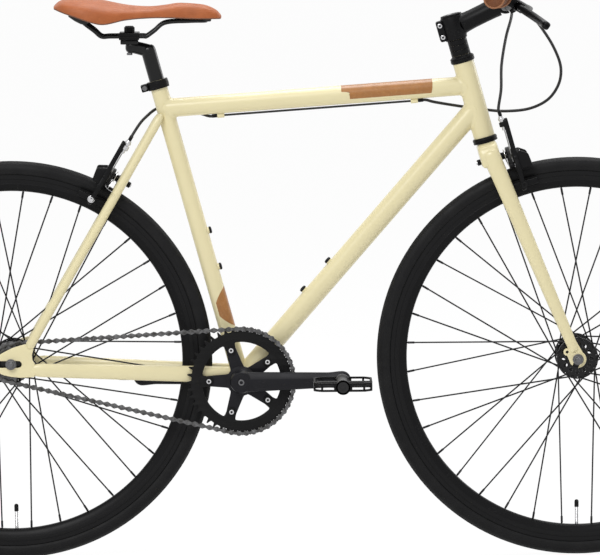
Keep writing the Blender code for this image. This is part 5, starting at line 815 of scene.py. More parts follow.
def wear_group():
    """Sparse fine scuffs and dust, as a mask and a height."""
    group, given, leave = group_base(
        "light_wear", (("Amount", "Float", 0.3), ("Scale", "Float", 25.0)),
        (("Mask", "Float"), ("Height", "Float")))
    place = coordinates(group)
    patches = ramp(group, add_noise(group, place, given["Scale"]), 0.52, 0.72)
    scuffs = ramp(group, add_noise(group, place, 160.0, 4.0, 0.7, (1.0, 3.0, 6.0)), 0.56, 0.7)
    mask = times(group, times(group, patches, scuffs), given["Amount"])
    feed(group, leave, {"Mask": mask, "Height": times(group, mask, -1.0)})
    return group


def lines_group():
    """Fine parallel lines along or round a piece, from its own map."""
    group, given, leave = group_base(
        "turned_lines", (("Lines Across", "Float", 0.0), ("Lines Along", "Float", 1000.0),
                         ("Unevenness", "Float", 0.3)),
        (("Mask", "Float"), ("Height", "Float")))
    place = coordinates(group, "UV")
    parts = add_node(group, "ShaderNodeSeparateXYZ", {0: place})
    phase = add_math(group, "ADD", times(group, parts["X"], given["Lines Across"]),
                     times(group, parts["Y"], given["Lines Along"]))
    drift = times(group, add_noise(group, place, 220.0, 2.0), given["Unevenness"])
    turn = times(group, add_math(group, "ADD", phase, drift), 2 * pi)
    mask = share_of(group, add_math(group, "SINE", turn), 0.5, 0.5)
    feed(group, leave, {"Mask": mask, "Height": mask})
    return group


def place_group(tree, group, values):
    """Outputs of a group node with its values set."""
    return add_node(tree, "ShaderNodeGroup", values, node_tree=GROUPS[group])


GROUPS = {}
FINISHES = {}
SCUFF_GREY = (0.25, 0.25, 0.25, 1.0)
LINE_INPUTS = ("Lines Across", "Lines Along", "Unevenness")


def opaque(colour, share=1.0):
    """Colour with its alpha, darkened by a share."""
    return (colour[0] * share, colour[1] * share, colour[2] * share, 1.0)


def finish(name, colour, roughness, metallic=0.0, other=None, drift=25.0, grain=1200.0, spread=0.12,
           height=0.00002, coat=0.0, coat_roughness=0.08, gleam=0.5, wear=0.0, wear_colour=SCUFF_GREY,
           lines=None, line_height=0.00004, detail=None):
    """Finish with drifting colour and gloss, fine height, light wear and lines where they belong."""
    made = bpy.data.materials.new(name)
    made.use_nodes = True
    tree = made.node_tree
    base = place_group(tree, "surface_drift", {
        "Colour": opaque(colour), "Other Colour": other or opaque(colour, 0.88), "Drift Scale": drift,
        "Grain Scale": grain, "Roughness": roughness, "Roughness Drift": spread})
    tone, gloss, lift = base["Colour"], base["Roughness"], base["Height"]
    lift = times(tree, lift, height)
    if wear:
        worn = place_group(tree, "light_wear", {"Amount": wear})
        tone = add_mix(tree, worn["Mask"], tone, wear_colour)
        gloss = share_of(tree, worn["Mask"], 0.3, gloss)
        lift = share_of(tree, worn["Height"], 0.00002, lift)
    if lines:
        drawn = place_group(tree, "turned_lines", dict(zip(LINE_INPUTS, lines)))
        lift = share_of(tree, drawn["Height"], line_height, lift)
        gloss = share_of(tree, drawn["Mask"], 0.08, gloss)
    if detail:
        tone, gloss, lift = detail(tree, tone, gloss, lift)
    bump = add_node(tree, "ShaderNodeBump", {"Distance": 1.0, "Height": lift})[0]
    feed(tree, tree.nodes["Principled BSDF"], {
        "Base Color": tone, "Roughness": gloss, "Metallic": metallic, "Coat Weight": coat,
        "Coat Roughness": coat_roughness, "Specular IOR Level": gleam, "Normal": bump})
    FINISHES[name] = made


def leather_detail(tree, tone, gloss, lift):
    """Pebbled grain with darker creases and paler cloudy patches."""
    place = coordinates(tree)
    cells = add_node(tree, "ShaderNodeTexVoronoi", {"Scale": 620.0, "Vector": place},
                     feature="DISTANCE_TO_EDGE")
    crease = ramp(tree, cells["Distance"], 0.0, 0.22)
    tone = tinted(tree, tone, add_math(tree, "SUBTRACT", 1.0, crease), 0.22, (0.2, 0.07, 0.025, 1.0))
    cloud = ramp(tree, add_noise(tree, place, 55.0, 5.0, 0.6), 0.4, 0.75)
    tone = tinted(tree, tone, cloud, 0.28, (0.56, 0.18, 0.06, 1.0))
    return tone, gloss, share_of(tree, crease, 0.00009, lift)


def band_detail(tree, tone, gloss, lift):
    """Plain print with a faint cloudy fade."""
    fade = ramp(tree, add_noise(tree, coordinates(tree), 260.0, 4.0, 0.7), 0.5, 0.72)
    return tinted(tree, tone, fade, 0.14, (0.62, 0.44, 0.22, 1.0)), gloss, lift


def tread_detail(tree, tone, gloss, lift):
    """Fine slanted cuts on the tread's shoulders and dust on the sidewalls."""
    place = coordinates(tree, "UV")
    parts = add_node(tree, "ShaderNodeSeparateXYZ", {0: place})
    slant = add_math(tree, "ADD", times(tree, parts["X"], 320.0), times(tree, parts["Y"], 200.0))
    cut = ramp(tree, add_math(tree, "FRACT", slant), 0.72, 0.86)
    dust = ramp(tree, add_noise(tree, place, 35.0, 5.0, 0.65), 0.45, 0.8)
    tone = tinted(tree, tone, dust, 0.2, (0.03, 0.03, 0.029, 1.0))
    return tone, gloss, share_of(tree, cut, -0.00003, lift)


def rib_detail(tree, tone, gloss, lift):
    """Soft paler mottling of moulded tan rubber."""
    cloud = ramp(tree, add_noise(tree, coordinates(tree), 420.0, 3.0, 0.6), 0.35, 0.75)
    return tinted(tree, tone, cloud, 0.35, (0.3, 0.12, 0.05, 1.0)), gloss, lift


def make_finishes(colours):
    """Every finish of the bicycle."""
    GROUPS["surface_drift"] = surface_group()
    GROUPS["light_wear"] = wear_group()
    GROUPS["turned_lines"] = lines_group()
    black, steel = colours.black, colours.steel
    finish("cream_paint", colours.paint, 0.36, gleam=0.4, other=opaque(colours.paint, 0.965), drift=9.0,
           grain=260.0, spread=0.06, height=0.000005, coat=0.35, coat_roughness=0.16, wear=0.06,
           wear_colour=(0.6, 0.55, 0.4, 1.0))
    finish("satin_black", black, 0.36, 0.12, grain=1500.0, gleam=0.12, wear=0.16)
    finish("gloss_black", black, 0.2, 0.1, grain=500.0, spread=0.06, coat=0.22, gleam=0.15, wear=0.1)
    finish("matte_black", (0.006, 0.006, 0.0062), 0.52, 0.0, grain=1600.0, gleam=0.14, wear=0.1)
    finish("crank_grey", colours.crank, 0.4, 0.1, gleam=0.16, other=opaque(colours.crank, 0.8), grain=900.0,
           wear=0.25)
    finish("black_steel", (0.008, 0.008, 0.009), 0.38, 0.1, grain=1800.0, gleam=0.2, wear=0.1)
    finish("chain_steel", colours.chain, 0.42, 0.6, other=(0.035, 0.033, 0.03, 1.0), drift=140.0,
           grain=1500.0, spread=0.25)
    finish("bright_steel", steel, 0.24, 1.0, other=opaque(steel, 0.8), drift=120.0, grain=1600.0, spread=0.2)
    finish("dark_steel", (0.15, 0.15, 0.155), 0.32, 0.8, drift=120.0, grain=1600.0, spread=0.2,
           lines=(0.0, 1800.0, 0.4))
    finish("brake_track", (0.009, 0.009, 0.0095), 0.36, 0.1, grain=1400.0, gleam=0.12,
           lines=(0.0, 2600.0, 0.5), line_height=0.00001)
    finish("tyre_rubber", colours.rubber, 0.52, drift=40.0, grain=1100.0, spread=0.2, height=0.00004,
           gleam=0.13, detail=tread_detail)
    finish("pad_rubber", (0.012, 0.012, 0.012), 0.72, gleam=0.3, grain=900.0, height=0.00004)
    finish("tan_leather", colours.leather, 0.46, gleam=0.35, other=opaque(colours.leather, 0.82), drift=22.0,
           grain=2200.0, spread=0.16, height=0.00003, detail=leather_detail)
    finish("leather_edge", (0.17, 0.06, 0.024), 0.55, other=(0.1, 0.035, 0.015, 1.0), grain=1400.0,
           height=0.00005)
    finish("tan_rubber", colours.grip, 0.62, gleam=0.3, other=opaque(colours.grip, 0.8), drift=60.0,
           grain=1300.0, height=0.00004, detail=rib_detail)
    finish("pale_tan", (0.3, 0.125, 0.05), 0.55, other=(0.25, 0.1, 0.04, 1.0), grain=1300.0)
    finish("black_plastic", (0.009, 0.009, 0.0095), 0.42, grain=800.0, height=0.00005, gleam=0.3)
    finish("cable_housing", (0.008, 0.008, 0.0085), 0.34, gleam=0.4, lines=(0.0, 1100.0, 0.1),
           line_height=0.00006)
    finish("bright_wire", (0.42, 0.42, 0.42), 0.34, 1.0, lines=(700.0, 420.0, 0.0), line_height=0.0001)
    finish("tan_band", colours.band, 0.4, other=opaque(colours.band, 0.8), drift=90.0, coat=0.3,
           detail=band_detail)
    finish("tube_rubber", (0.03, 0.03, 0.03), 0.6, grain=900.0)


def finishes(*names):
    """Finishes by name, in order."""
    return [FINISHES[name] for name in names]


# Stage

WHITE = (1.0, 1.0, 1.0, 1.0)
FLOOR_TONES = (0.9, 0.9, 0.9, 1.0), (0.92, 0.92, 0.92, 1.0)
FLOOR_SHARE = 0.93
FLOOR_GLOW = 1.02
FLOOR_REACH = 60
WORLD_LIGHT = 0.4
LAMP_TARGET = (0.0, 0.0, 0.5)
LAMPS = (("lamp_over_drive_side", (-1.4, -3.2, 3.2), (2.2, 1.6), 88.0),
         ("lamp_above", (0.4, 0.6, 3.8), (2.6, 2.0), 92.0),
         ("lamp_front_left", (3.2, 2.2, 2.2), (1.6, 1.6), 32.0))
CAMERA_AIM = Vector((0.0102, 0.0, 0.4762))
CAMERA_DISTANCE = 9.0
CAMERA_ELEVATION = radians(5.6)
CAMERA_YAW = radians(-0.4)
CAMERA_ROLL = radians(-0.4)
CAMERA_SENSOR = 36.0
PHOTO_WIDTH = 1.0173


def shown_white(tree, share, lit, white, output):
    """Shows what a camera, a gloss or a glass sees as white, by a share, and leaves the light alone."""
    path = tree.nodes.new("ShaderNodeLightPath").outputs
    seen = add_math(tree, "MAXIMUM", path["Is Camera Ray"], path["Is Glossy Ray"])
    seen = add_math(tree, "MAXIMUM", seen, path["Is Transmission Ray"])
    mixed = add_node(tree, "ShaderNodeMixShader", {0: times(tree, seen, share), 1: lit, 2: white})[0]
    feed(tree, tree.nodes[output], {"Surface": mixed})


def floor_finish():
    """White floor that keeps a faint shadow for the camera and lights the bicycle from below."""
    made = bpy.data.materials.new("studio_floor")
    made.use_nodes = True
    tree = made.node_tree
    shader = tree.nodes["Principled BSDF"]
    cloud = add_noise(tree, coordinates(tree), 3.0)
    feed(tree, shader, {"Base Color": add_mix(tree, cloud, *FLOOR_TONES), "Roughness": 0.9})
    glow = add_node(tree, "ShaderNodeEmission", {"Strength": FLOOR_GLOW})[0]
    shown_white(tree, FLOOR_SHARE, shader.outputs[0], glow, "Material Output")
    return made


def add_lamp(name, place, extent, power):
    """Soft rectangular lamp aimed at the bicycle."""
    lamp = bpy.data.lights.new(name, "AREA")
    lamp.shape = "RECTANGLE"
    lamp.size, lamp.size_y = extent
    lamp.energy = power
    made = show(name, lamp)
    made.rotation_euler = (Vector(LAMP_TARGET) - Vector(place)).to_track_quat("-Z", "Y").to_euler()
    made.location = place


def build_stage():
    """Floor, soft lamps, pale world and the camera of the photograph."""
    mesh = bpy.data.meshes.new("studio_floor")
    corners = rectangle(2 * FLOOR_REACH, 2 * FLOOR_REACH)
    mesh.from_pydata([(x, y, 0) for x, y in corners], [], [(0, 1, 2, 3)])
    mesh.materials.append(floor_finish())
    show("studio_floor", mesh)
    for lamp in LAMPS:
        add_lamp(*lamp)
    world = bpy.data.worlds.new("studio_world")
    world.use_nodes = True
    tree = world.node_tree
    plain = tree.nodes["Background"]
    feed(tree, plain, {"Strength": WORLD_LIGHT, "Color": WHITE})
    white = add_node(tree, "ShaderNodeBackground", {"Strength": 1.0, "Color": WHITE})[0]
    shown_white(tree, 1.0, plain.outputs[0], white, "World Output")
    bpy.context.scene.world = world
    bpy.context.scene.view_settings.view_transform = "Standard"

    camera = bpy.data.cameras.new("camera")
    camera.sensor_width = CAMERA_SENSOR
    camera.lens = CAMERA_SENSOR * CAMERA_DISTANCE / PHOTO_WIDTH
    camera.clip_end = 200.0
    level = cos(CAMERA_ELEVATION)
    out = Vector((sin(CAMERA_YAW) * level, -cos(CAMERA_YAW) * level, sin(CAMERA_ELEVATION)))
    made = show("camera", camera)
    turn = (-out).to_track_quat("-Z", "Y").to_matrix().to_4x4() @ Matrix.Rotation(CAMERA_ROLL, 4, "Z")
    made.matrix_world = Matrix.Translation(CAMERA_AIM + out * CAMERA_DISTANCE) @ turn
    bpy.context.scene.camera = made


# Frame tubes

class Tube:
    """Round tube given by its start, direction, length and radius."""

    def __init__(self, start, end, radius):
        self.start = Vector(start)
        self.length = (Vector(end) - self.start).length
        self.along = (Vector(end) - self.start).normalized()
        self.radius = radius
        side = LEFT if abs(self.along.dot(LEFT)) < 0.9 else FORWARD
        self.side = (side - self.along * self.along.dot(side)).normalized()
        self.other = self.along.cross(self.side)

    def normal(self, turn):
        """Direction out of the tube at an angle round it."""
        return self.side * cos(turn) + self.other * sin(turn)

    def reach(self, turn, inset, neighbour, neighbour_radius, far):
        """How far along one line of the surface meets a neighbour's round surface."""
        foot = self.start + self.normal(turn) * (self.radius - inset) - neighbour.start
        step = self.along - neighbour.along * self.along.dot(neighbour.along)
        offset = foot - neighbour.along * foot.dot(neighbour.along)
        a, b, c = step.length_squared, 2 * step.dot(offset), offset.length_squared - neighbour_radius ** 2
        inside = b * b - 4 * a * c
        if inside <= 0:
            return -b / (2 * a)
        return (-b - sqrt(inside)) / (2 * a) if far else (-b + sqrt(inside)) / (2 * a)


SEAT_TUBE = Tube(CRANK_CENTRE, SEAT_TUBE_TOP + SEAT_UP * COLLAR_RISE, SEAT_TUBE_RADIUS)
HEAD_TUBE = Tube(steering_point(0.0, 0.0, HEAD_BOTTOM), steering_point(0.0, 0.0, HEAD_TOP), HEAD_TUBE_RADIUS)
SHELL = Tube(CRANK_CENTRE - LEFT * SHELL_HALF_WIDTH, CRANK_CENTRE + LEFT * SHELL_HALF_WIDTH, SHELL_RADIUS)
TOP_TUBE = Tube(TOP_TUBE_START, TOP_TUBE_END, TOP_TUBE_RADIUS)
DOWN_TUBE = Tube(CRANK_CENTRE, DOWN_TUBE_END, DOWN_TUBE_RADIUS)
TUBE_STEPS = 64
TUBE_ROWS = 24
COPE_DEPTH = 0.0008
WELD_DEPTH = 0.0006
WELD_SKIN = 0.00005


def coped_tube(shape, tube, near, far):
    """Hollow tube whose ends are cut to the surfaces of the tubes that it meets."""
    turns = round_steps(TUBE_STEPS)
    rings = []
    for inset in (0.0, TUBE_WALL):
        starts = [tube.reach(a, inset, near, near.radius - COPE_DEPTH, False) for a in turns]
        ends = [tube.reach(a, inset, far, far.radius - COPE_DEPTH, True) if far else tube.length
                for a in turns]
        made = []
        for row in range(TUBE_ROWS + 1):
            share = row / TUBE_ROWS
            made.append([tube.start + tube.normal(a) * (tube.radius - inset)
                         + tube.along * (low + (high - low) * share)
                         for a, low, high in zip(turns, starts, ends)])
        rings += made if inset == 0.0 else made[::-1]
    shape.skin(rings, 0, loop=True)


def fillet(shape, tube, neighbour, far, reach):
    """Smooth weld along the line where a tube meets its neighbour."""
    rings = []
    for turn in round_steps(TUBE_STEPS):
        out = tube.normal(turn)
        at = tube.reach(turn, 0.0, neighbour, neighbour.radius, far)
        joint = tube.start + out * tube.radius + tube.along * at
        spoke = joint - neighbour.start
        radial = spoke - neighbour.along * spoke.dot(neighbour.along)
        radial.normalize()
        along_tube = tube.along * (-1.0 if far else 1.0)
        along_neighbour = out - radial * out.dot(radial)
        if along_neighbour.length < 0.15:
            along_neighbour = along_tube * -1.0
        along_neighbour.normalize()
        start, end = joint + along_tube * reach, joint + along_neighbour * reach
        inner = joint - out * WELD_DEPTH - radial * WELD_DEPTH
        corner = joint + (out + radial) * 0.0003
        ring = [start - out * WELD_DEPTH, start + out * WELD_SKIN]
        ring += [bent(start, corner, end, step / 6) for step in range(1, 6)]
        rings.append(ring + [end + radial * WELD_SKIN, end - radial * WELD_DEPTH, inner])
    shape.skin(rings, 0, loop=True)


def clear_of(points, tube, radius):
    """Points pushed out of a tube's core."""
    made = []
    for point in points:
        at = (point - tube.start).dot(tube.along)
        radial = point - tube.start - tube.along * at
        if radial.length < radius and -0.003 < at < tube.length + 0.003:
            point = tube.start + tube.along * at + radial.normalized() * radius
        made.append(point)
    return made


def bottle_bolts(shape, start, along, outward, first, radius):
    """Two threaded bosses with low black bolts in them."""
    for place in (first, first + BOSS_SPACING):
        foot = start + along * place
        at = frame_matrix(foot, along, outward)
        shape.bar(at, 0.0055, radius - 0.002, radius + 0.0022, 24, 0, 0.0005)
        profile = [(0.006, radius + 0.0018), (0.006, radius + 0.0042), (0.0053, radius + 0.0054),
                   (0.0036, radius + 0.006), (0.0026, radius + 0.006), (0.0026, radius + 0.0032)]
        shape.turned(at, profile, 24, 1, closed=False)


def wrapped_band(shape, tube, ends, centre_turn, half_turn, finish_index):
    """Thin printed band on a tube; its two ends are given for each place across it, from -1 to 1."""
    rings = []
    columns = 48
    for row in range(17):
        ring = []
        for lift, order in ((0.00018, range(columns + 1)), (-0.0003, range(columns, -1, -1))):
            for column in order:
                across = 2 * column / columns - 1
                out = tube.normal(centre_turn + half_turn * across)
                first, last = ends(across)
                ring.append(tube.start + out * (tube.radius + lift)
                            + tube.along * (first + (last - first) * row / 16))
        rings.append(ring)
    shape.skin(rings, finish_index)


def stepped_ends(across):
    """Ends of the top tube's band: its upper part starts earlier."""
    return (0.2995 if abs(across) < 0.62 else 0.313), 0.454 - 0.003 * across ** 4


def leaf_ends(across):
    """Ends of the seat tube's band, short at its rear edge."""
    half = 0.0355 * (1.0 - 0.68 * ((1.0 - across) / 2) ** 2)
    return 0.125 - half, 0.125 + half


def cable_stop_centre(place):
    """Middle of a cable stop under the top tube."""
    drop = TOP_TUBE_DOWN * (TOP_TUBE_RADIUS + CABLE_STOP_DROP)
    return TOP_TUBE_START + TOP_TUBE_DIRECTION * place + drop


def build_head_tube():
    """Head tube."""
    shape = Shape()
    shape.ring(frame_matrix(HEAD_TUBE.start, STEERING_FORWARD, STEERING_UP), HEAD_TUBE_RADIUS,
               HEAD_TUBE_RADIUS - TUBE_WALL, 0.0, HEAD_TUBE.length, 96, 0, 0.0006)
    shape.piece("painted_head_tube", finishes("cream_paint"), "frame", "frame_paint", "head_tube")


def build_top_tube():
    """Top tube with its cable stops and printed band."""
    weld = bpy.context.scene.bicycle_sizes.weld
    shape = Shape()
    coped_tube(shape, TOP_TUBE, SEAT_TUBE, HEAD_TUBE)
    fillet(shape, TOP_TUBE, SEAT_TUBE, False, weld)
    fillet(shape, TOP_TUBE, HEAD_TUBE, True, weld)
    for place in CABLE_STOPS_AT:
        at = frame_matrix(cable_stop_centre(place), TOP_TUBE_DOWN, TOP_TUBE_DIRECTION)
        half = CABLE_STOP_LENGTH / 2
        shape.ring(at, 0.0042, 0.0016, -half, half, 24, 0, 0.0005)
        foot = at @ shift(-0.0032, 0.0, 0.0)
        shape.block(foot, (0.003, 0.0062, CABLE_STOP_LENGTH - 0.001), 0, 0.0008)
    wrapped_band(shape, TOP_TUBE, stepped_ends, pi / 2, radians(117), 2)
    shape.piece("painted_top_tube", finishes("cream_paint", "matte_black", "tan_band"), "frame",
                "frame_paint", "top_tube")


def build_down_tube():
    """Down tube with its bottle bolts."""
    weld = bpy.context.scene.bicycle_sizes.weld
    shape = Shape()
    coped_tube(shape, DOWN_TUBE, SHELL, HEAD_TUBE)
    fillet(shape, DOWN_TUBE, SHELL, False, weld)
    fillet(shape, DOWN_TUBE, HEAD_TUBE, True, weld)
    bottle_bolts(shape, CRANK_CENTRE, DOWN_TUBE_DIRECTION, DOWN_TUBE_DIRECTION.cross(LEFT), 0.184,
                 DOWN_TUBE_RADIUS)
    shape.piece("painted_down_tube", finishes("cream_paint", "matte_black"), "frame", "frame_paint",
                "down_tube")


def build_seat_tube():
    """Seat tube with its bottle bolts and printed band."""
    shape = Shape()
    coped_tube(shape, SEAT_TUBE, SHELL, None)
    fillet(shape, SEAT_TUBE, SHELL, False, bpy.context.scene.bicycle_sizes.weld)
    bottle_bolts(shape, CRANK_CENTRE, SEAT_UP, SEAT_FORWARD, 0.194, SEAT_TUBE_RADIUS)
    wrapped_band(shape, SEAT_TUBE, leaf_ends, radians(216), radians(62), 2)
    shape.piece("painted_seat_tube", finishes("cream_paint", "matte_black", "tan_band"), "frame",
                "frame_paint", "seat_tube")


def build_bracket_shell():
    """Bottom bracket shell and the cups in it."""
    place = across_frame(CRANK_CENTRE)
    shape = Shape()
    shape.ring(place, SHELL_RADIUS, SHELL_RADIUS - 0.0028, -SHELL_HALF_WIDTH, SHELL_HALF_WIDTH, 96, 0,
               0.0007)
    shape.piece("painted_bottom_bracket_shell", finishes("cream_paint"), "frame", "frame_paint",
                "bottom_bracket_shell")

    shape = Shape()
    for side in (-1, 1):
        for finish_index, radius, low, high in ((0, 0.0182, 0.0003, 0.0015), (1, 0.014, -0.002, 0.0012)):
            shape.ring(place, radius, 0.0092, side * (SHELL_HALF_WIDTH + low),
                       side * (SHELL_HALF_WIDTH + high), 64, finish_index, 0.0003)
    shape.ring(place, 0.0168, 0.0092, -SHELL_HALF_WIDTH + 0.001, SHELL_HALF_WIDTH - 0.001, 48, 0)
    shape.piece("bottom_bracket_cups", finishes("black_steel", "dark_steel"), "frame", "black_steel",
                "bottom_bracket_cartridge")


def rear_dropout_outline():
    """Rear dropout seen from the side, about the axle: slot open to the rear, lug for the seatstay."""
    slot = 0.0058
    across_lug = Vector((STAY_UP.z, -STAY_UP.x)) * SEATSTAY_RADIUS
    lug = DROPOUT_STAY_REACH
    below = [(0.04, -0.0218), (0.016, -0.0226), (0.0, -0.021), (-0.012, -0.0182), (-0.018, -0.0158),
             (-0.0205, -0.012), (-0.0205, -slot)]
    slot_arc = arc(slot, -pi / 2, pi / 2, 13, (0.0125, 0.0))
    above = [(-0.0205, slot), (-0.0205, 0.013), (-0.018, 0.017), (-0.008, 0.0225), (0.0025, 0.0275),
             (0.016, 0.0318)]
    return below + slot_arc + above + [tuple(lug - across_lug), tuple(lug + across_lug), (0.0355, 0.015),
                                       (0.0365, 0.006), (0.04, 0.0015)]


def stay_axes(start, end):
    """Directions along a stay, to its left and across both."""
    along = (end - start).normalized()
    across = (LEFT - along * along.dot(LEFT)).normalized()
    return along, across, across.cross(along)


def build_chainstays():
    """Oval chainstays with their dropouts."""
    for side_name, side in SIDES.items():
        front = CRANK_CENTRE + Vector((-0.0076, side * 0.02, 0.008))
        rear = REAR_AXLE + Vector((0.035, side * STAY_REAR_Y, -0.01))
        _, across, up = stay_axes(front, rear)
        rings = []
        for share in (0.0, 0.03, 0.06, 0.12, 0.2, 0.35, 0.5, 0.65, 0.8, 0.9, 0.95, 0.975, 0.99, 1.0):
            half = 0.0145 + (0.0115 - 0.0145) * share
            end = 1.0 if share < 0.95 else sqrt(max(0.0, 1.0 - ((share - 0.95) / 0.052) ** 2))
            centre = front.lerp(rear, share)
            ring = [centre + spot * half * (0.35 + 0.65 * end)
                    for spot in oval(across, up, 0.52 + 0.06 * sin(pi * share))]
            rings.append(clear_of(clear_of(ring, SHELL, SHELL_RADIUS - COPE_DEPTH), SEAT_TUBE,
                                  SEAT_TUBE_RADIUS - WELD_DEPTH))
        shape = Shape()
        shape.skin(rings, 0)
        collar = [front.lerp(rear, 0.035) + spot * 0.0146 for spot in oval(across, up, 0.54)]
        shape.tube(collar, 0.0011, 8, 0, loop=True)
        place = side_plane(REAR_AXLE + LEFT * side * STAY_REAR_Y)
        shape.plate(place, soften(rear_dropout_outline(), 0.0018), DROPOUT_THICKNESSES["rear"], 0,
                    edge=0.0008, steps=2)
        shape.piece(f"painted_chainstay_{side_name}", finishes("cream_paint"), "frame", "frame_paint",
                    f"chainstay_{side_name}")


def build_seatstays():
    """Round seatstays joined by the brake bridge."""
    shape = Shape()
    for side in SIDES.values():
        bottom = SEATSTAY_BOTTOM + LEFT * side * STAY_REAR_Y
        top = SEATSTAY_TOP + LEFT * side * STAY_TOP_Y
        along, across, up = stay_axes(bottom, top)
        length = (top - bottom).length
        rings = []
        for at, share in ((-0.004, 0.35), (-0.003, 0.62), (-0.0005, 0.86), (0.003, 1.0), (0.05, 1.0),
                          (0.15, 1.0), (0.3, 1.0), (length - 0.06, 1.0), (length - 0.03, 1.0),
                          (length - 0.012, 1.0), (length - 0.004, 0.93), (length + 0.002, 0.78),
                          (length + 0.006, 0.55), (length + 0.0085, 0.25)):
            ring = [bottom + along * at + spot * SEATSTAY_RADIUS * share for spot in oval(across, up)]
            rings.append(clear_of(ring, SEAT_TUBE, SEAT_TUBE_RADIUS - 0.0005))
        shape.skin(rings, 0)
    share = BRIDGE_REACH / (SEATSTAY_TOP - SEATSTAY_BOTTOM).length
    reach = STAY_REAR_Y + (STAY_TOP_Y - STAY_REAR_Y) * share
    half = [(0.008, 0.008), (0.0069, 0.012), (0.0069, reach * 0.6), (0.0076, reach)]
    shape.turned(frame_matrix(REAR_BRIDGE, STAY_BACK, LEFT),
                 [(radius, -y) for radius, y in reversed(half)] + half, 40, 0, closed=False)
    shape.piece("painted_seatstays", finishes("cream_paint"), "frame", "frame_paint", "seatstays")


def build_seat_clamp():
    """Split collar at the top of the seat tube with its bolt behind."""
    shape = Shape()
    inner = 0.01488
    outer = inner + 0.0033
    high = SEAT_TUBE_LENGTH + COLLAR_RISE
    low = high - 0.0145
    shape.ring(SEAT_FRAME, outer, inner, low, high, 96, 0, 0.0008)
    shape.turned(SEAT_FRAME, [(outer + 0.0004, high - 0.0042), (outer + 0.0004, high - 0.0104),
                              (outer - 0.0008, high - 0.0108), (outer - 0.0008, high - 0.0038)], 96, 0)
    centre = seat_point(-(outer + 0.005), 0.0, (low + high) / 2)
    for side in (-1, 1):
        half = frame_matrix(centre + LEFT * side * 0.0054, SEAT_FORWARD, LEFT)
        shape.plate(half, soften(rectangle(0.012, 0.0125), 0.0022, 4), 0.0092, 0, edge=0.0009, steps=2)
    bolt = frame_matrix(centre, SEAT_FORWARD, LEFT)
    shape.bar(bolt, 0.003, -0.0118, 0.0118, 24, 1)
    shape.turned(bolt, [(0.0042, -0.0098), (0.0042, -0.0116), (0.0036, -0.0122), (0.0019, -0.0122),
                        (0.0017, -0.0106)], 32, 1, closed=False)
    shape.piece("seat_collar", finishes("satin_black", "dark_steel"), "frame", "black_alloy", "seat_clamp")


def headset_ring(name, body, node, profile, reach=0.0003, steps=2):
    """Black ring turned about the steering axis."""
    shape = Shape()
    shape.turned(STEERING_FRAME, soften(profile, reach, steps), 96)
    shape.piece(name, finishes("satin_black"), body, "black_alloy", node)


def build_headset():
    """Cups, cover and spacers on the steering axis."""
    low, high, top = HEAD_BOTTOM - GAP, HEAD_TOP + GAP, COVER_BOTTOM + 0.006
    inner, skirt, outer = CUP_INNER_RADIUS, CUP_SKIRT_RADIUS, LOWER_CUP_RADIUS
    headset_ring("lower_cup", "frame", "headset_lower_cup", [
        (skirt, low + 0.012), (skirt, low), (outer - 0.0012, low), (outer, low - 0.0016),
        (outer, low - 0.0046), (outer - 0.0008, low - 0.005), (outer - 0.0008, low - 0.0056),
        (outer, low - 0.006), (outer - 0.0004, low - 0.009), (inner, low - 0.009), (inner, low + 0.012)])
    outer = UPPER_CUP_RADIUS
    headset_ring("upper_cup", "frame", "headset_upper_cup", [
        (outer - 0.0006, high + 0.006), (outer, high + 0.0054), (outer, high + 0.0018),
        (outer - 0.0014, high), (skirt, high), (skirt, high - 0.012), (inner, high - 0.012),
        (inner, high + 0.006)])
    inner = STEERER_RADIUS + GAP
    headset_ring("dust_cover", "steering", "headset_cover", [
        (SPACER_RADIUS, top), (SPACER_RADIUS + 0.0008, top - 0.0012), (outer, COVER_BOTTOM + 0.0024),
        (outer, COVER_BOTTOM + 0.0002), (outer - 0.0005, COVER_BOTTOM), (inner, COVER_BOTTOM), (inner, top)],
        0.0005, 3)
    shape = Shape()
    for index in range(SPACERS):
        bottom = SPACER_BOTTOM + index * SPACER_HEIGHT
        shape.ring(STEERING_FRAME, SPACER_RADIUS, inner, bottom + 0.0001, bottom + 0.0089, 96, 0, 0.0007)
    shape.piece("spacer_rings", finishes("satin_black"), "steering", "black_alloy", "headset_spacers")


# Fork, stem and bar

def fork_end_outline():
    """Fork end seen from the drive side, about the axle: slot open below, eyelet behind."""
    slot = DROPOUT_SLOT_RADIUS
    slot_angle = radians(250.0)
    down = Vector((cos(slot_angle), sin(slot_angle))) * FORK_END_RADIUS
    across = Vector((-down.y, down.x)).normalized() * slot
    blade = steering_point(BLADE_END_FORWARD, 0.0, BLADE_END_RISE + FORK_END_RADIUS) - FRONT_AXLE
    half = STEERING_FORWARD * 0.00704
    front, rear = blade + half, blade - half
    turn = slot_angle - 2 * pi
    outline = [(front.x, front.z)] + arc(FORK_END_RADIUS, radians(55), radians(-82), 19)
    outline += [tuple(down + across)] + arc(slot, turn + pi / 2, turn + 3 * pi / 2, 17)
    outline += [tuple(down.normalized() * 0.0133 - across), (-0.0125, -0.008)]
    outline += arc(0.0063, radians(270), radians(70), 17, EYELET)
    return outline + [(rear.x, rear.z)]


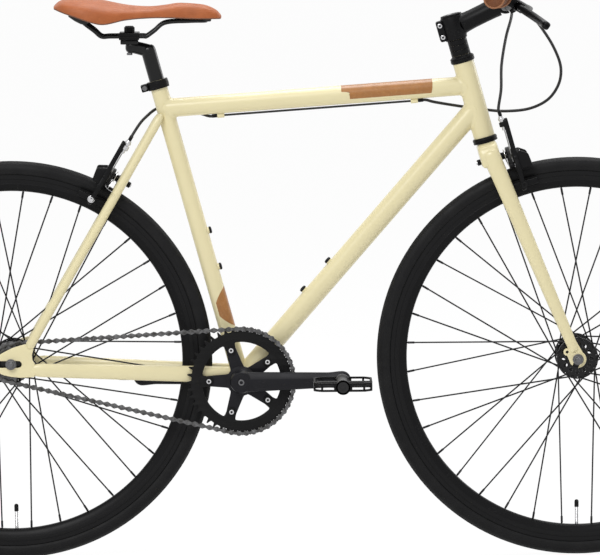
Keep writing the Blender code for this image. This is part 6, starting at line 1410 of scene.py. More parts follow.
def add_blade(shape, side):
    """Tapered fork blade with its slotted end and vent."""
    top = steering_point(0.002, side * 0.033, CROWN_TOP - 0.02)
    bottom = steering_point(BLADE_END_FORWARD, side * FORK_END_Y, BLADE_END_RISE)
    shares = [index / 16 for index in range(17)]
    shape.tube([top.lerp(bottom, t) for t in shares], [0.015 - 0.0062 * t for t in shares], 40, flatten=0.68)
    place = side_plane(FRONT_AXLE + LEFT * side * FORK_END_Y)
    shape.plate(place, fork_end_outline(), DROPOUT_THICKNESSES["front"], 0,
                (circle(0.0025, 20, EYELET),), 0.0009, 2)
    rim = [place @ Vector((x, y, -0.0024 * side)) for x, y in arc(0.0126, radians(70), radians(-75), 30)]
    shape.tube(rim, 0.0008, 8)
    vent = steering_point(0.0474, side * 0.0553, 0.0142)
    shape.rod(vent, vent - LEFT * side * 0.003, 0.0013, 12, 1)


def build_fork():
    """Crown, steerer, two tapered blades and their ends."""
    shape = Shape()
    front_view = frame_matrix(STEERING_FRAME.translation, LEFT, STEERING_FORWARD)
    outline = [(LOWER_CUP_RADIUS, CROWN_TOP), (0.0345, CROWN_TOP - 0.005), (0.0398, CROWN_TOP - 0.016),
               (0.04, CROWN_TOP - 0.04)]
    outline += [(-y, z) for y, z in reversed(outline)]
    hole = circle(0.0033, 24, (0.0, BRAKE_BOLT_S))
    shape.plate(front_view, soften(outline, 0.006, 5), CROWN_DEPTH, 0, (hole,), 0.0062, 5)
    shape.ring(STEERING_FRAME, STEERER_RADIUS, STEERER_RADIUS - 0.0016, CROWN_TOP - 0.006, 0.611, 64)
    for side in SIDES.values():
        add_blade(shape, side)
    shape.piece("painted_fork", finishes("cream_paint", "matte_black"), "steering", "frame_paint", "fork")


def half_ring(side, inner):
    """Outline of half of the bar's clamp, in front of (1) or behind (-1) its slit."""
    centre = 0.0 if side > 0 else pi
    wide, narrow = acos(FACEPLATE_SLIT / FACEPLATE_RADIUS), acos(FACEPLATE_SLIT / inner)
    return (arc(FACEPLATE_RADIUS, centre - wide, centre + wide, 40)
            + arc(inner, centre + narrow, centre - narrow, 32))


def build_stem():
    """Stem with its clamp bolts."""
    shape = Shape()
    shape.ring(STEERING_FRAME, STEM_CLAMP_RADIUS, STEERER_RADIUS + GAP, STEM_BOTTOM, STEM_TOP, 96, 0, 0.0012)
    root = steering_point(0.0, 0.0, STEM_CENTRE) + STEM_DIRECTION * 0.0148
    shares = (0.0, 0.05, 0.12, 0.3, 0.6, 0.85, 1.0)
    radii = (0.0178, 0.0171, 0.0166, 0.016, 0.016, 0.0164, 0.017)
    tip = BAR_CENTRE - STEM_DIRECTION * 0.0138
    shape.tube([root.lerp(tip, t) for t in shares], radii, 56, dome=False)
    clamp_tube = Tube(steering_point(0.0, 0.0, STEM_BOTTOM), steering_point(0.0, 0.0, STEM_TOP),
                      STEM_CLAMP_RADIUS)
    fillet(shape, Tube(steering_point(0.0, 0.0, STEM_CENTRE), tip, 0.0166), clamp_tube, False, 0.0032)
    for side in SIDES.values():
        lug = STEERING_FRAME @ shift(-0.0215, side * 0.00585, STEM_CENTRE)
        lug = lug @ Matrix.Rotation(pi / 2, 4, "X")
        shape.plate(lug, soften(rectangle(0.012, STEM_TOP - STEM_BOTTOM - 0.004), 0.004, 4), 0.0102,
                    edge=0.0016, steps=2)
    for height in (-0.01, 0.01):
        centre = steering_point(-0.0218, 0.0, STEM_CENTRE + height)
        place = frame_matrix(centre, STEERING_FORWARD, LEFT)
        shape.bar(place, 0.004, -0.0128, 0.0128, 32, 2, 0.0006)
        shape.hexagon(place, 0.0021, -0.0131, 0.0131, 1)
    shape.plate(BAR_CLAMP_FRAME, half_ring(-1, BAR_CENTRE_RADIUS + GAP), FACEPLATE_WIDTH, 0,
                edge=0.001, steps=2)
    shape.piece("clamped_stem", finishes("satin_black", "matte_black", "bright_steel"), "steering",
                "black_alloy", "stem")


def build_faceplate():
    """Front half of the bar's clamp with its four bolts."""
    shape = Shape()
    shape.plate(BAR_CLAMP_FRAME, half_ring(1, BAR_CENTRE_RADIUS + GAP), FACEPLATE_WIDTH, 0,
                edge=0.001, steps=2)
    for up in (-0.017, 0.017):
        for across in (-0.0135, 0.0135):
            start = BAR_CLAMP_FRAME @ Vector((0.0012, up, across))
            shape.rod(start, start + STEM_DIRECTION * 0.0085, 0.0044, 24, 0, 0.0008)
            shape.rod(start + STEM_DIRECTION * 0.0075, start + STEM_DIRECTION * 0.01, 0.0031, 20, 1)
    shape.piece("faceplate", finishes("satin_black", "dark_steel"), "steering", "black_alloy",
                "stem_faceplate")


def build_stem_cap():
    """Cap on the stem with its socket bolt."""
    shape = Shape()
    low = STEM_TOP + GAP
    shape.turned(STEERING_FRAME, [(0.0168, low), (0.017, low + 0.0022), (0.016, low + 0.0036),
                                  (0.013, low + 0.004), (0.0062, low + 0.004), (0.006, low + 0.003)],
                 72, closed=False)
    shape.hexagon(STEERING_FRAME, 0.0052, low + 0.0028, low + 0.0039, 1, 0.0026)
    shape.piece("stem_top_cap", finishes("satin_black", "bright_steel"), "steering", "black_alloy",
                "stem_cap")


def bar_knots(side):
    """Places along one half of the bar, from the stem out, from the bar's centre."""
    knots = [Vector((0.0, side * 0.035, 0.0)), Vector((-0.002, side * 0.06, 0.003)),
             Vector((-0.006, side * 0.09, 0.014))]
    bend = Vector((-0.01, side * 0.115, 0.02))
    sweep = (BAR_HALF_WIDTH - 0.115) * tan(radians(6.8))
    end = Vector((bend.x - sweep, side * BAR_HALF_WIDTH, 0.021))
    return knots + [bend, bend.lerp(end, 0.15), end]


def bar_end_frame(side):
    """Placement at one end of the bar with Z outwards along it."""
    knots = bar_knots(side)
    end, inner = knots[-1], knots[-2]
    return between(BAR_CENTRE + end, BAR_CENTRE + end * 2 - inner, UP)[0]


def build_bar():
    """Riser handlebar."""
    shape = Shape()
    knots = bar_knots(-1)[::-1] + bar_knots(1)
    points = [BAR_CENTRE + point for point in smooth_path(knots, 0.005)]
    shares = [min(1.0, max(0.0, (abs(point.y) - 0.04) / 0.018)) for point in points]
    radii = [BAR_CENTRE_RADIUS + (BAR_RADIUS - BAR_CENTRE_RADIUS) * t * t * (3 - 2 * t) for t in shares]
    shape.tube(points, radii, 40, side=UP, dome=False)
    shape.piece("riser_bar", finishes("satin_black"), "steering", "black_alloy", "handlebar")


def build_grips():
    """Ribbed grips with their flange and end plug."""
    sizes = bpy.context.scene.bicycle_sizes
    for side_name, side in SIDES.items():
        shape = Shape()
        end = bar_end_frame(side)
        profile = [(BAR_RADIUS + GAP, -GRIP_LENGTH), (0.0207, -GRIP_LENGTH), (0.0215, -GRIP_LENGTH + 0.0008),
                   (0.0215, -GRIP_LENGTH + 0.0036), (0.0196, -GRIP_LENGTH + 0.005), (0.0178, -0.1115)]
        tones = [1, 1, 1, 1, 0, 0]
        groove = GRIP_RADIUS - sizes.grip_rib
        for index in range(GRIP_RIBS):
            low = -0.1095 + index * 0.0031
            profile += [(GRIP_RADIUS, low), (groove, low + 0.0003), (groove, low + 0.0011),
                        (GRIP_RADIUS, low + 0.0014)]
            tones += [0] * 4
        profile += [(0.018, -0.003), (0.018, 0.0012), (0.0172, 0.0022), (0.0155, 0.0023), (0.015, 0.0018),
                    (0.004, 0.0018), (0.003, 0.0012), (0.003, 0.0004), (BAR_RADIUS, 0.0004),
                    (BAR_RADIUS + GAP, -0.002)]
        tones += [1] * 4 + [0] * 6
        shape.turned(end, profile, 96, tones)
        shape.bar(end, BAR_RADIUS - 0.0004, -0.004, 0.0003, 24, 2)
        shape.piece(f"ribbed_grip_{side_name}", finishes("tan_rubber", "pale_tan", "matte_black"), "steering",
                    "tan_rubber", f"grip_{side_name}")


# Brake levers

def lever_frame(side):
    """Placement at the lever clamp: X along the lever's droop, Z out of its flat side."""
    clamp = bar_end_frame(side) @ Vector((0.0, 0.0, -LEVER_CLAMP_REACH))
    return frame_matrix(clamp, LEVER_DIRECTION, LEVER_UP)


def adjuster_tip(side):
    """Inner end of a lever's barrel adjuster, where the cable starts."""
    return lever_frame(side) @ Vector((0.028, -side * 0.04, 0.0))


def strip_on(side, rows):
    """Flat bar's outline from rows of reach, outboard place and width, for one side of the bicycle."""
    return strip([(x, side * y, width) for x, y, width in rows])


LEVER_ROOT = ((0.015, 0.0, 0.0155), (0.0185, -0.002, 0.016), (0.0225, -0.0045, 0.0165))
LEVER_CHEEK = ((0.018, -0.002, 0.016), (0.024, -0.006, 0.017), (0.036, -0.012, 0.015), (0.042, -0.014, 0.01))
ADJUSTER_LUG = ((0.0155, -0.004, 0.0145), (0.021, -0.016, 0.0145), (0.027, -0.027, 0.013))
LEVER_BLADE = ((0.03, -0.013, 0.008), (0.036, -0.012, 0.013), (0.048, 0.004, 0.014), (0.063, 0.024, 0.0125),
               (0.073, 0.054, 0.011), (0.079, 0.088, 0.011), (0.083, 0.122, 0.013))


def build_levers():
    """Brackets with clamp, cheeks, pin and adjuster, and the lever blades."""
    looks = finishes("satin_black", "dark_steel", "matte_black")
    for side_name, side in SIDES.items():
        shape = Shape()
        place = lever_frame(side)
        clamp = bar_end_frame(side) @ shift(0.0, 0.0, -LEVER_CLAMP_REACH)
        shape.ring(clamp, 0.0155, BAR_RADIUS + GAP, -0.007, 0.007, 64, 0, 0.0012)
        shape.plate(place, strip_on(side, LEVER_ROOT), 0.016, edge=0.0022, steps=2)
        for height in (-0.0067, 0.0067):
            shape.plate(place @ shift(0.0, 0.0, height), strip_on(side, LEVER_CHEEK), 0.0026, edge=0.0008,
                        steps=2)
        shape.plate(place, strip_on(side, ADJUSTER_LUG), 0.0112, edge=0.0022, steps=2)
        pivot = place @ Vector((0.036, -side * 0.012, 0.0))
        shape.rod(pivot - LEVER_UP * 0.009, pivot + LEVER_UP * 0.009, 0.0025, 20, 1, 0.0004)
        shape.rod(pivot + LEVER_UP * 0.008, pivot + LEVER_UP * 0.0094, 0.004, 24, 1, 0.0004)
        tip = adjuster_tip(side)
        barrel, _ = between(tip + LEFT * side * 0.0185, tip + LEFT * side * GAP)
        shape.knurled(barrel, 0.0045, 0.0105, 0.018, 14, 2)
        shape.knurled(barrel, 0.0058, 0.0065, 0.0095, 18, 0)
        shape.bar(barrel, 0.0032, -0.004, 0.011, 20, 1)
        shape.piece(f"bracket_{side_name}", looks, "steering", "black_alloy", f"brake_bracket_{side_name}")
        shape = Shape()
        shape.plate(place, strip_on(side, LEVER_BLADE), 0.01, edge=0.0032, steps=3)
        shape.plate(place, strip_on(side, LEVER_BLADE[2:]), 0.0132, edge=0.0042, steps=3)
        shape.piece(f"lever_blade_{side_name}", looks[:1], f"brake_lever_{side_name}", "black_alloy",
                    f"brake_lever_{side_name}")


# Brakes

def axes(place):
    """Directions of a placement's own X, Y and Z."""
    return [place.col[index].to_3d() for index in range(3)]


def cable_side(place):
    """Which side of a caliper its cable comes down on, in its own Y."""
    return -1 if place.col[1].y > 0 else 1


def pad_centre(place, axle):
    """Middle of a pad's place on the braking track, in the wheel's plane."""
    start = place @ Vector((0.022, 0.0, 0.0)) - axle
    start.y = 0.0
    down = -axes(place)[2]
    ahead = start.dot(down)
    drop = -ahead - sqrt(ahead ** 2 - start.length_squared + (RIM_RADIUS - BRAKE_TRACK_DROP) ** 2)
    return axle + start + down * drop


def add_pad(shape, end, pad, radial, out, groove):
    """Grooved pad at the braking track, in its holder, with its post, washer and nut."""
    tangent = radial.cross(out)
    face = RIM_HALF_WIDTH + PAD_CLEARANCE
    rubber = frame_matrix(pad + out * (face + 0.003), tangent, radial)
    outline = [(-0.0245, -0.003), (-0.0245, 0.002), (-0.0235, 0.003)]
    for middle_x in (-0.015, -0.005, 0.005, 0.015):
        outline += [(middle_x - 0.0008, 0.003), (middle_x - 0.0008, 0.003 - groove),
                    (middle_x + 0.0008, 0.003 - groove), (middle_x + 0.0008, 0.003)]
    outline += [(0.0235, 0.003), (0.0245, 0.002), (0.0245, -0.003)]
    shape.plate(rubber, outline, 0.0096, 3, edge=0.0005)
    holder = frame_matrix(pad + out * (face + 0.0075), tangent, out)
    shape.plate(holder, soften([(-0.025, -0.0036), (-0.021, -0.005), (0.021, -0.005), (0.025, -0.0036),
                                (0.025, 0.0036), (0.021, 0.005), (-0.021, 0.005), (-0.025, 0.0036)], 0.0018),
                0.0034, 0, edge=0.0009, steps=2)
    post = frame_matrix(pad, tangent, out)
    shape.bar(post, 0.0052, face + 0.008, 0.0222, 28, 2, 0.0006)
    shape.bar(post, 0.0035, 0.02, 0.0335, 24, 1)
    washer = 2 if end == "front" else 1
    shape.bar(post, 0.0062, 0.0317, 0.0327, 32, washer, 0.0002)
    shape.turned(post, [(0.0044, 0.0327), (0.0047, 0.0334), (0.0047, 0.0356), (0.004, 0.0364),
                        (0.0023, 0.0364), (0.0021, 0.0346)], 28, washer, closed=False)


ARM_SHOULDERS = {
    "front": ((0.014, 0.002), (0.03, 0.005), (0.043, -0.004), (0.0454, -0.027), (0.018, -0.027)),
    "rear": ((0.014, 0.008), (0.0245, 0.0095), (0.0403, 0.001), (0.037, -0.0205), (0.015, -0.024)),
}


def build_brake_arm(end, side, outer):
    """Caliper arm with its pad, post, spring and the cable's adjuster or anchor."""
    sizes = bpy.context.scene.bicycle_sizes
    place, axle, _ = BRAKES[end]
    pad = pad_centre(place, axle)
    reach = -(place.inverted() @ pad).z
    ahead, across, _ = axes(place)
    out = across * side
    shape = Shape()

    def limb(depth, rows):
        plane = frame_matrix(place @ Vector((depth, 0.0, 0.0)), across, ahead)
        outline = strip([(x * side, y, width) for x, y, width in rows])
        shape.plate(plane, outline, LIMB_THICKNESS, edge=0.0018, steps=2)

    foot = (0.027, -reach - 0.005, 0.009)
    shoulder = frame_matrix(place @ Vector((0.0, side * 0.0335, 0.0)), ahead, -across)
    shape.plate(shoulder, soften(ARM_SHOULDERS[end], 0.003, 4), 0.0064, 0, edge=0.0022, steps=3)
    if outer:
        limb(0.0207, (foot, (0.036, -0.028, 0.0125), (0.031, 0.0, 0.0145), (0.031, 0.058, 0.0105)))
        limb(0.0207, ((0.033, -0.006, 0.014), (0.0, 0.0, 0.016), (-0.007, 0.0, 0.012)))
        barrel = place @ shift(ADJUSTER_DEPTH, side * ADJUSTER_SPREAD, 0.0)
        shape.bar(barrel, 0.0044, 0.0585, 0.068, 28, 1, 0.0005)
        shape.bar(barrel, 0.0056, 0.0612, 0.065, 28, 1, 0.0006)
        shape.knurled(barrel, 0.006, 0.05, 0.058, 16, 1 if end == "rear" else 2)
        shape.bar(barrel, 0.0032, 0.044, 0.052, 24, 1)
    else:
        limb(0.012, (foot, (0.036, -0.028, 0.0125), (0.027, 0.0, 0.0145), (0.0, 0.003, 0.0165),
                     (-0.018, -0.006, 0.01), (-0.031, -0.017, 0.009)))
        shape.block(place @ shift(0.017, side * 0.027, -reach), (0.018, 0.009, 0.009), 0, 0.0014)
        anchor = place @ Vector((0.012, -side * 0.03, -0.015))
        shape.rod(anchor + ahead * 0.0041, anchor + ahead * 0.0056, 0.0048, 24, 1)
        anchor_place, _ = between(anchor + ahead * 0.0056, anchor + ahead * 0.01)
        shape.hexagon(anchor_place, 0.0042, 0.0, 0.0044, 1)
    add_pad(shape, end, pad, (pad - axle).normalized(), out, sizes.pad_groove)
    spring = [(0.0048, 0.003, 0.0075), (0.0046, 0.012, 0.009), (0.0046, 0.022, 0.0035),
              (0.005, 0.0285, -0.008), (0.007, 0.031, -0.02)]
    knots = [place @ Vector((x, side * y, z)) for x, y, z in spring]
    shape.tube(smooth_path(knots, 0.002), 0.0008, 8, 1)
    name = f"{end}_brake_arm_{'left' if out.y > 0 else 'right'}"
    shape.piece(f"fine_{name}", finishes("satin_black", "bright_steel", "matte_black", "pad_rubber"), name,
                "black_alloy", name)


def build_brakes():
    """Both calipers with their pivot bolts."""
    for end, (place, _, body) in BRAKES.items():
        build_brake_arm(end, cable_side(place), True)
        build_brake_arm(end, -cable_side(place), False)
        back, face = (-0.037, -0.003) if end == "front" else (-0.018, -0.002)
        ahead, _, up = axes(place)
        along = frame_matrix(place.translation, up, ahead)
        shape = Shape()
        shape.bar(along, 0.0029, back - 0.008, 0.0316, 24, 1)
        shape.bar(along, 0.006, face + GAP, 0.0076, 32, 0)
        shape.ring(along, 0.0072, 0.0029, face + GAP, face + 0.0016, 32, 0, 0.0002)
        shape.hexagon(along, 0.0052, back - 0.0063, back - GAP, 0)
        shape.hexagon(along, 0.0058, 0.0251, 0.029, 0)
        shape.bar(along, 0.0048, 0.029, 0.0311, 28, 0, 0.0008)
        shape.piece(f"{end}_caliper_bolt", finishes("satin_black", "bright_steel"), body, "black_steel",
                    f"{end}_brake_pivot_bolt")


# Cables

FRONT_CABLE_ROUTE = ((0.374, 0.085, 0.941), (0.373, 0.055, 0.915), (0.362, 0.025, 0.88),
                     (0.353, -0.005, 0.835), (0.351, -0.028, 0.795))
REAR_CABLE_ROUTE = ((0.396, -0.094, 0.926), (0.424, -0.083, 0.89), (0.442, -0.068, 0.858),
                    (0.4505, -0.054, 0.83), (0.447, -0.036, 0.802), (0.43, -0.015, 0.776),
                    (0.4, 0.004, 0.76), (0.362, 0.019, 0.755), (0.328, 0.027, 0.757),
                    (0.282, 0.022, 0.764), (0.24, 0.008, 0.772))
REAR_CABLE_END_ROUTE = ((-0.158, 0.013, 0.7555), (-0.185, 0.02, 0.76), (-0.212, 0.021, 0.767),
                        (-0.232, 0.013, 0.763), (-0.248, 0.001, 0.751), (-0.258, -0.014, 0.741))


def caliper_cable_end(place):
    """Housing's last two places above a caliper's adjuster, and the bare wire below it."""
    side = cable_side(place) * ADJUSTER_SPREAD
    spots = [place @ Vector((ADJUSTER_DEPTH, side, height)) for height in (0.0813, 0.0683, 0.068, -0.014)]
    return spots[:2], spots[2:]


def add_housing(shape, knots):
    """Cable housing with a metal end at each end."""
    line = smooth_path(knots, 0.004)
    shape.tube(line, HOUSING_RADIUS, 16, 0, dome=False)
    for first, second in ((line[0], line[3]), (line[-1], line[-4])):
        place, _ = between(first, second)
        shape.bar(place, HOUSING_RADIUS + 0.0006, 0.0, 0.009, 24, 1, 0.0005)


def build_cables():
    """Brake cables: front, rear from the lever to the frame, and rear along the frame."""
    looks = finishes("cable_housing", "satin_black", "bright_wire")
    inboard = LEFT * -CABLE_END_LEAD
    end, wire = caliper_cable_end(FRONT_BRAKE_FRAME)
    shape = Shape()
    start = adjuster_tip(1)
    add_housing(shape, [start, start + inboard, *FRONT_CABLE_ROUTE, *end])
    shape.tube(wire, WIRE_RADIUS, 12, 2)
    shape.piece("front_cable", looks, "steering", "cable_housing", "front_brake_cable")

    end, wire = caliper_cable_end(REAR_BRAKE_FRAME)
    start = adjuster_tip(-1)
    to_face = TOP_TUBE_DIRECTION * (CABLE_STOP_LENGTH / 2 + GAP)
    lead = TOP_TUBE_DIRECTION * CABLE_END_LEAD
    front_stop = cable_stop_centre(CABLE_STOPS_AT[0]) + to_face
    rear_stop = cable_stop_centre(CABLE_STOPS_AT[1]) - to_face
    shape = Shape()
    add_housing(shape, [start, start - inboard, *REAR_CABLE_ROUTE, front_stop + lead, front_stop])
    loop = show("rear_cable_loop", shape.mesh("rear_cable_loop", looks))
    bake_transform(loop)
    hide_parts("rear_brake_cable")
    shape = Shape()
    shape.tube([front_stop - TOP_TUBE_DIRECTION * GAP, rear_stop + TOP_TUBE_DIRECTION * GAP], 0.0018, 12, 0)
    add_housing(shape, [rear_stop, rear_stop - lead, *REAR_CABLE_END_ROUTE, *end])
    shape.tube(wire, WIRE_RADIUS, 12, 2)
    tail = [wire[1] + Vector(step)
            for step in ((0.0, 0.0, 0.0), (0.002, -0.01, -0.008), (0.012, -0.022, -0.014))]
    shape.tube(smooth_path(tail, 0.003), WIRE_RADIUS * 0.8, 8, 2)
    shape.piece("rear_cable_on_frame", looks, "frame", "cable_housing", "rear_brake_cable")


# Saddle and seatpost

SADDLE_LENGTH = 0.2822
SADDLE_TOP = ((0.0, 0.052), (0.03, 0.059), (0.08, 0.0636), (0.2, 0.0653), (0.43, 0.0528), (0.57, 0.0498),
              (0.67, 0.0523), (0.74, 0.0551), (0.84, 0.0538), (0.91, 0.0508), (0.97, 0.0428), (1.0, 0.0338))
SADDLE_END_SHARE = 0.16
SADDLE_BOTTOM = ((0.0, 0.0478), (0.05, 0.0425), (0.12, 0.0358), (0.22, 0.0262), (0.3, 0.0218), (0.43, 0.0285),
                 (0.57, 0.0308), (0.7, 0.0303), (0.84, 0.0283), (1.0, 0.0278))
SADDLE_HALF_WIDTH = ((0.0, 0.04), (0.06, 0.062), (0.15, 0.073), (0.25, 0.074), (0.38, 0.062), (0.5, 0.045),
                     (0.6, 0.033), (0.75, 0.024), (0.9, 0.021), (0.97, 0.016), (1.0, 0.008))


def cover_lift(height, crown, recess):
    """Height on the cover, from a place on the ball that it is stretched from."""
    return recess * abs(height) ** 0.35 if height < 0 else crown * height ** 0.6


def shell_lift(height, crown, recess):
    """Height on the shell under the cover, flat below."""
    if height < 0:
        return 0.001
    return 0.001 + (min(recess, crown) - 0.0019) * height ** 0.35


def saddle_rings(rear, nose, inset, lift, rows, columns):
    """Rings from rear to nose of a body stretched to the saddle's width and crown."""
    rings = []
    for row in range(rows + 1):
        high = -cos(pi * (row + 0.15) / (rows + 0.3))
        place = rear + (nose - rear) * (1.0 + high) / 2
        half = interpolate(SADDLE_HALF_WIDTH, place)
        top, bottom = interpolate(SADDLE_TOP, place), interpolate(SADDLE_BOTTOM, place)
        recess = min(0.007, (top - bottom) / 3)
        shut = min(1.0, sin(acos(max(-1.0, min(1.0, high)))) / SADDLE_END_SHARE)
        ring = []
        mean = (lift(1.0, top - bottom, recess) + lift(-1.0, top - bottom, recess)) / 2
        for turn in round_steps(columns):
            share = sin(turn)
            width = (half - inset) * copysign(abs(share) ** 0.8, share)
            rise = lift(cos(turn), top - bottom, recess)
            round_off = sin(shut * pi / 2)
            ring.append(SADDLE_FRAME @ Vector((place * SADDLE_LENGTH, width * round_off,
                                               bottom + mean + (rise - mean) * round_off)))
        rings.append(ring)
    return rings


def build_cover():
    """Padded cover with its folded edge."""
    sizes = bpy.context.scene.bicycle_sizes
    shape = Shape()
    shape.skin(saddle_rings(0.0, 1.0, 0.0, cover_lift, 110, 96), 0)
    edge = []
    for side in (1, -1):
        places = [0.5 - 0.492 * cos(pi * index / 60) for index in range(61)]
        for place in (places if side > 0 else places[-2:0:-1]):
            shut = min(1.0, 2 * sqrt(max(place * (1 - place), 0.0)) / SADDLE_END_SHARE)
            width = interpolate(SADDLE_HALF_WIDTH, place) * sin(shut * pi / 2) - 0.0005
            edge.append(SADDLE_FRAME @ Vector((place * SADDLE_LENGTH, side * width,
                                               interpolate(SADDLE_BOTTOM, place) + 0.001)))
    shape.tube(edge, sizes.leather_lip, 10, 1, loop=True, side=UP)
    cover = shape.piece("padded_cover", finishes("tan_leather", "leather_edge"), "saddle", "tan_leather",
                        "saddle_cover", sharp=50)


def build_shell():
    """Hard shell under the cover, with the rails' sockets."""
    shape = Shape()
    shape.skin(saddle_rings(0.06, 0.95, 0.006, shell_lift, 60, 64), 0)
    for side in SIDES.values():
        socket = SADDLE_FRAME @ Vector((0.0462, side * 0.03, interpolate(SADDLE_BOTTOM, 0.16) + 0.002))
        shape.rod(socket, socket - UP * 0.006, 0.0062, 24, 0, 0.0012)
        bulge = [SADDLE_FRAME @ Vector((x, side * 0.03, z)) for x, z in
                 ((0.028, 0.0375), (0.038, 0.0325), (0.048, 0.028), (0.055, 0.0258))]
        shape.tube(bulge, (0.0045, 0.0062, 0.0068, 0.006), 28)
    nose = SADDLE_FRAME @ shift(0.25, 0.0, interpolate(SADDLE_BOTTOM, 0.9) - 0.001)
    shape.block(nose, (0.03, 0.022, 0.007), 0, 0.0022)
    shape.piece("saddle_base", finishes("black_plastic"), "saddle", "black_plastic", "saddle_shell")


def rail_height(x):
    """Height of the rails where they meet the shell."""
    return interpolate(SADDLE_BOTTOM, x / SADDLE_LENGTH) + 0.0004


def build_rails():
    """Both rails bent from one wire."""
    rear_z, nose_z = rail_height(0.0462), rail_height(0.2562) - 0.0035
    side_knots = [Vector((0.048, 0.03, rear_z - 0.0024)), Vector((0.051, 0.0295, rear_z - 0.0084)),
                  Vector((0.068, 0.026, 0.01))]
    side_knots += [Vector((x, 0.022, 0.0)) for x in (0.08, 0.095, 0.1265, 0.15, 0.156)]
    side_knots += [Vector(row) for row in ((0.169, 0.02, 0.009), (0.188, 0.017, 0.0225),
                                           (0.2282, 0.013, nose_z), (0.2512, 0.008, nose_z))]
    knots = side_knots + [Vector((0.2562, 0.0, nose_z))]
    knots += [Vector((knot.x, -knot.y, knot.z)) for knot in reversed(side_knots)]
    shape = Shape()
    shape.tube([SADDLE_FRAME @ point for point in smooth_path(knots, 0.003)], 0.0035, 24)
    shape.piece("bent_rails", finishes("gloss_black"), "saddle", "black_steel", "saddle_rails")


def build_rail_clamp():
    """Toothed clamp of the rails with its knob and bolt."""
    shape = Shape()
    for height in (-0.0031, 0.0031):
        shape.block(CLAMP_FRAME @ shift(0.0, 0.0, height), (0.034, 0.058, 0.0056), 0, 0.0011)
    for side in SIDES.values():
        for index in range(9):
            tooth = shift(-0.0136 + index * 0.0034, side * 0.0288, 0.0)
            shape.block(CLAMP_FRAME @ tooth, (0.002, 0.0024, 0.0112), 0, 0.0005)
    shape.knurled(CLAMP_FRAME, 0.009, 0.0057, 0.015, 15, 0, 0.0007)
    shape.turned(CLAMP_FRAME, [(0.0074, 0.0148), (0.0074, 0.016), (0.006, 0.0168), (0.003, 0.0168),
                               (0.0028, 0.0156)], 32, 1, closed=False)
    shape.bar(CLAMP_FRAME, 0.003, -0.0315, 0.006, 24, 1)
    shape.hexagon(CLAMP_FRAME, 0.005, -0.0325, -0.0287, 1)
    shape.piece("rail_clamp", finishes("satin_black", "dark_steel"), "saddle", "black_alloy", "saddle_clamp")


def build_seatpost():
    """Seatpost with its bent head."""
    shape = Shape()
    shape.turned(SEAT_FRAME, [(0.0119, 0.4115), (0.0127, 0.4123), (0.0127, 0.577), (0.0122, 0.5815),
                              (0.0108, 0.5852), (0.008, 0.5875)], 96, closed=False)
    start, end = seat_point(0.0, 0.0, 0.5785), CLAMP_FRAME @ Vector((0.0, 0.0, -0.017))
    shares = (0.0, 0.25, 0.5, 0.75, 1.0)
    shape.tube([start.lerp(end, t) for t in shares], (0.011, 0.011, 0.0108, 0.0108, 0.0114), 48)
    seat = CLAMP_FRAME @ shift(0.0, 0.0, -0.0103)
    shape.block(seat, (0.03, 0.0254, 0.008), 0, 0.0016)
    shape.piece("polished_seatpost", finishes("gloss_black"), "saddle", "black_alloy", "seatpost")


# Wheels

def wheel_point(axle, radius, turn, y):
    """Point on a wheel from its radius, angle and place across."""
    return axle + Vector((radius * cos(turn), y, radius * sin(turn)))


def build_tyre(end, axle):
    """Tyre with its tread grooves and sidewall ribs."""
    sizes = bpy.context.scene.bicycle_sizes
    centre_radius = sizes.tyre_radius - sizes.tyre_width / 2
    profile = []
    for index in range(97):
        turn = radians(-125 + 250 * index / 96)
        angle = abs(degrees(turn))
        radius = sizes.tyre_width / 2
        if 56 < angle < 104:
            radius -= sizes.sidewall_rib * (index % 2)
        if 6 < angle < 9 or 18 < angle < 21 or 30 < angle < 33:
            radius -= sizes.tread_groove
        profile.append((centre_radius + radius * cos(turn), (radius - 0.0002) * sin(turn)))
    profile += [(RIM_RADIUS, 0.0093), (BEAD_LOW + 0.0008, 0.0093), (BEAD_LOW, 0.008)]
    inner = sizes.tyre_width / 2 - TYRE_WALL
    profile += [(centre_radius + r * cos(t), r * sin(t)) for r, t in
                ((inner, radians(125 - 250 * index / 24)) for index in range(25))]
    profile += [(BEAD_LOW, -0.008), (BEAD_LOW + 0.0008, -0.0093), (RIM_RADIUS, -0.0093)]
    shape = Shape()
    shape.turned(across_frame(axle), profile, 160)
    shape.piece(f"{end}_ribbed_tyre", finishes("tyre_rubber"), f"{end}_wheel", "tyre_rubber", f"{end}_tyre",
                sharp=70)


def build_inner_tube(end, axle):
    """Inner tube and its threaded valve."""
    shape = Shape()
    section = [(0.324 + 0.0096 * cos(a), 0.0084 * sin(a)) for a in round_steps(16)]
    shape.turned(across_frame(axle), section, 96)
    out = Vector((cos(VALVE_ANGLES[end]), 0.0, sin(VALVE_ANGLES[end])))
    stem_place = frame_matrix(axle, LEFT, out)
    thread = [(0.0024, VALVE_END_RADIUS + 0.012)]
    for index in range(22):
        thread += [(0.003, VALVE_END_RADIUS + 0.0125 + index * 0.0012),
                   (0.0027, VALVE_END_RADIUS + 0.0131 + index * 0.0012)]
    shape.turned(stem_place, thread + [(0.003, 0.316)], 20, 1, closed=False)
    shape.turned(stem_place, [(0.0014, VALVE_END_RADIUS), (0.0032, VALVE_END_RADIUS + 0.0014),
                              (0.0036, VALVE_END_RADIUS + 0.003), (0.0036, VALVE_END_RADIUS + 0.0125)],
                 20, 2, closed=False)
    shape.piece(f"{end}_tube_and_valve", finishes("tube_rubber", "bright_steel", "matte_black"),
                f"{end}_wheel", "tube_rubber", f"{end}_inner_tube")


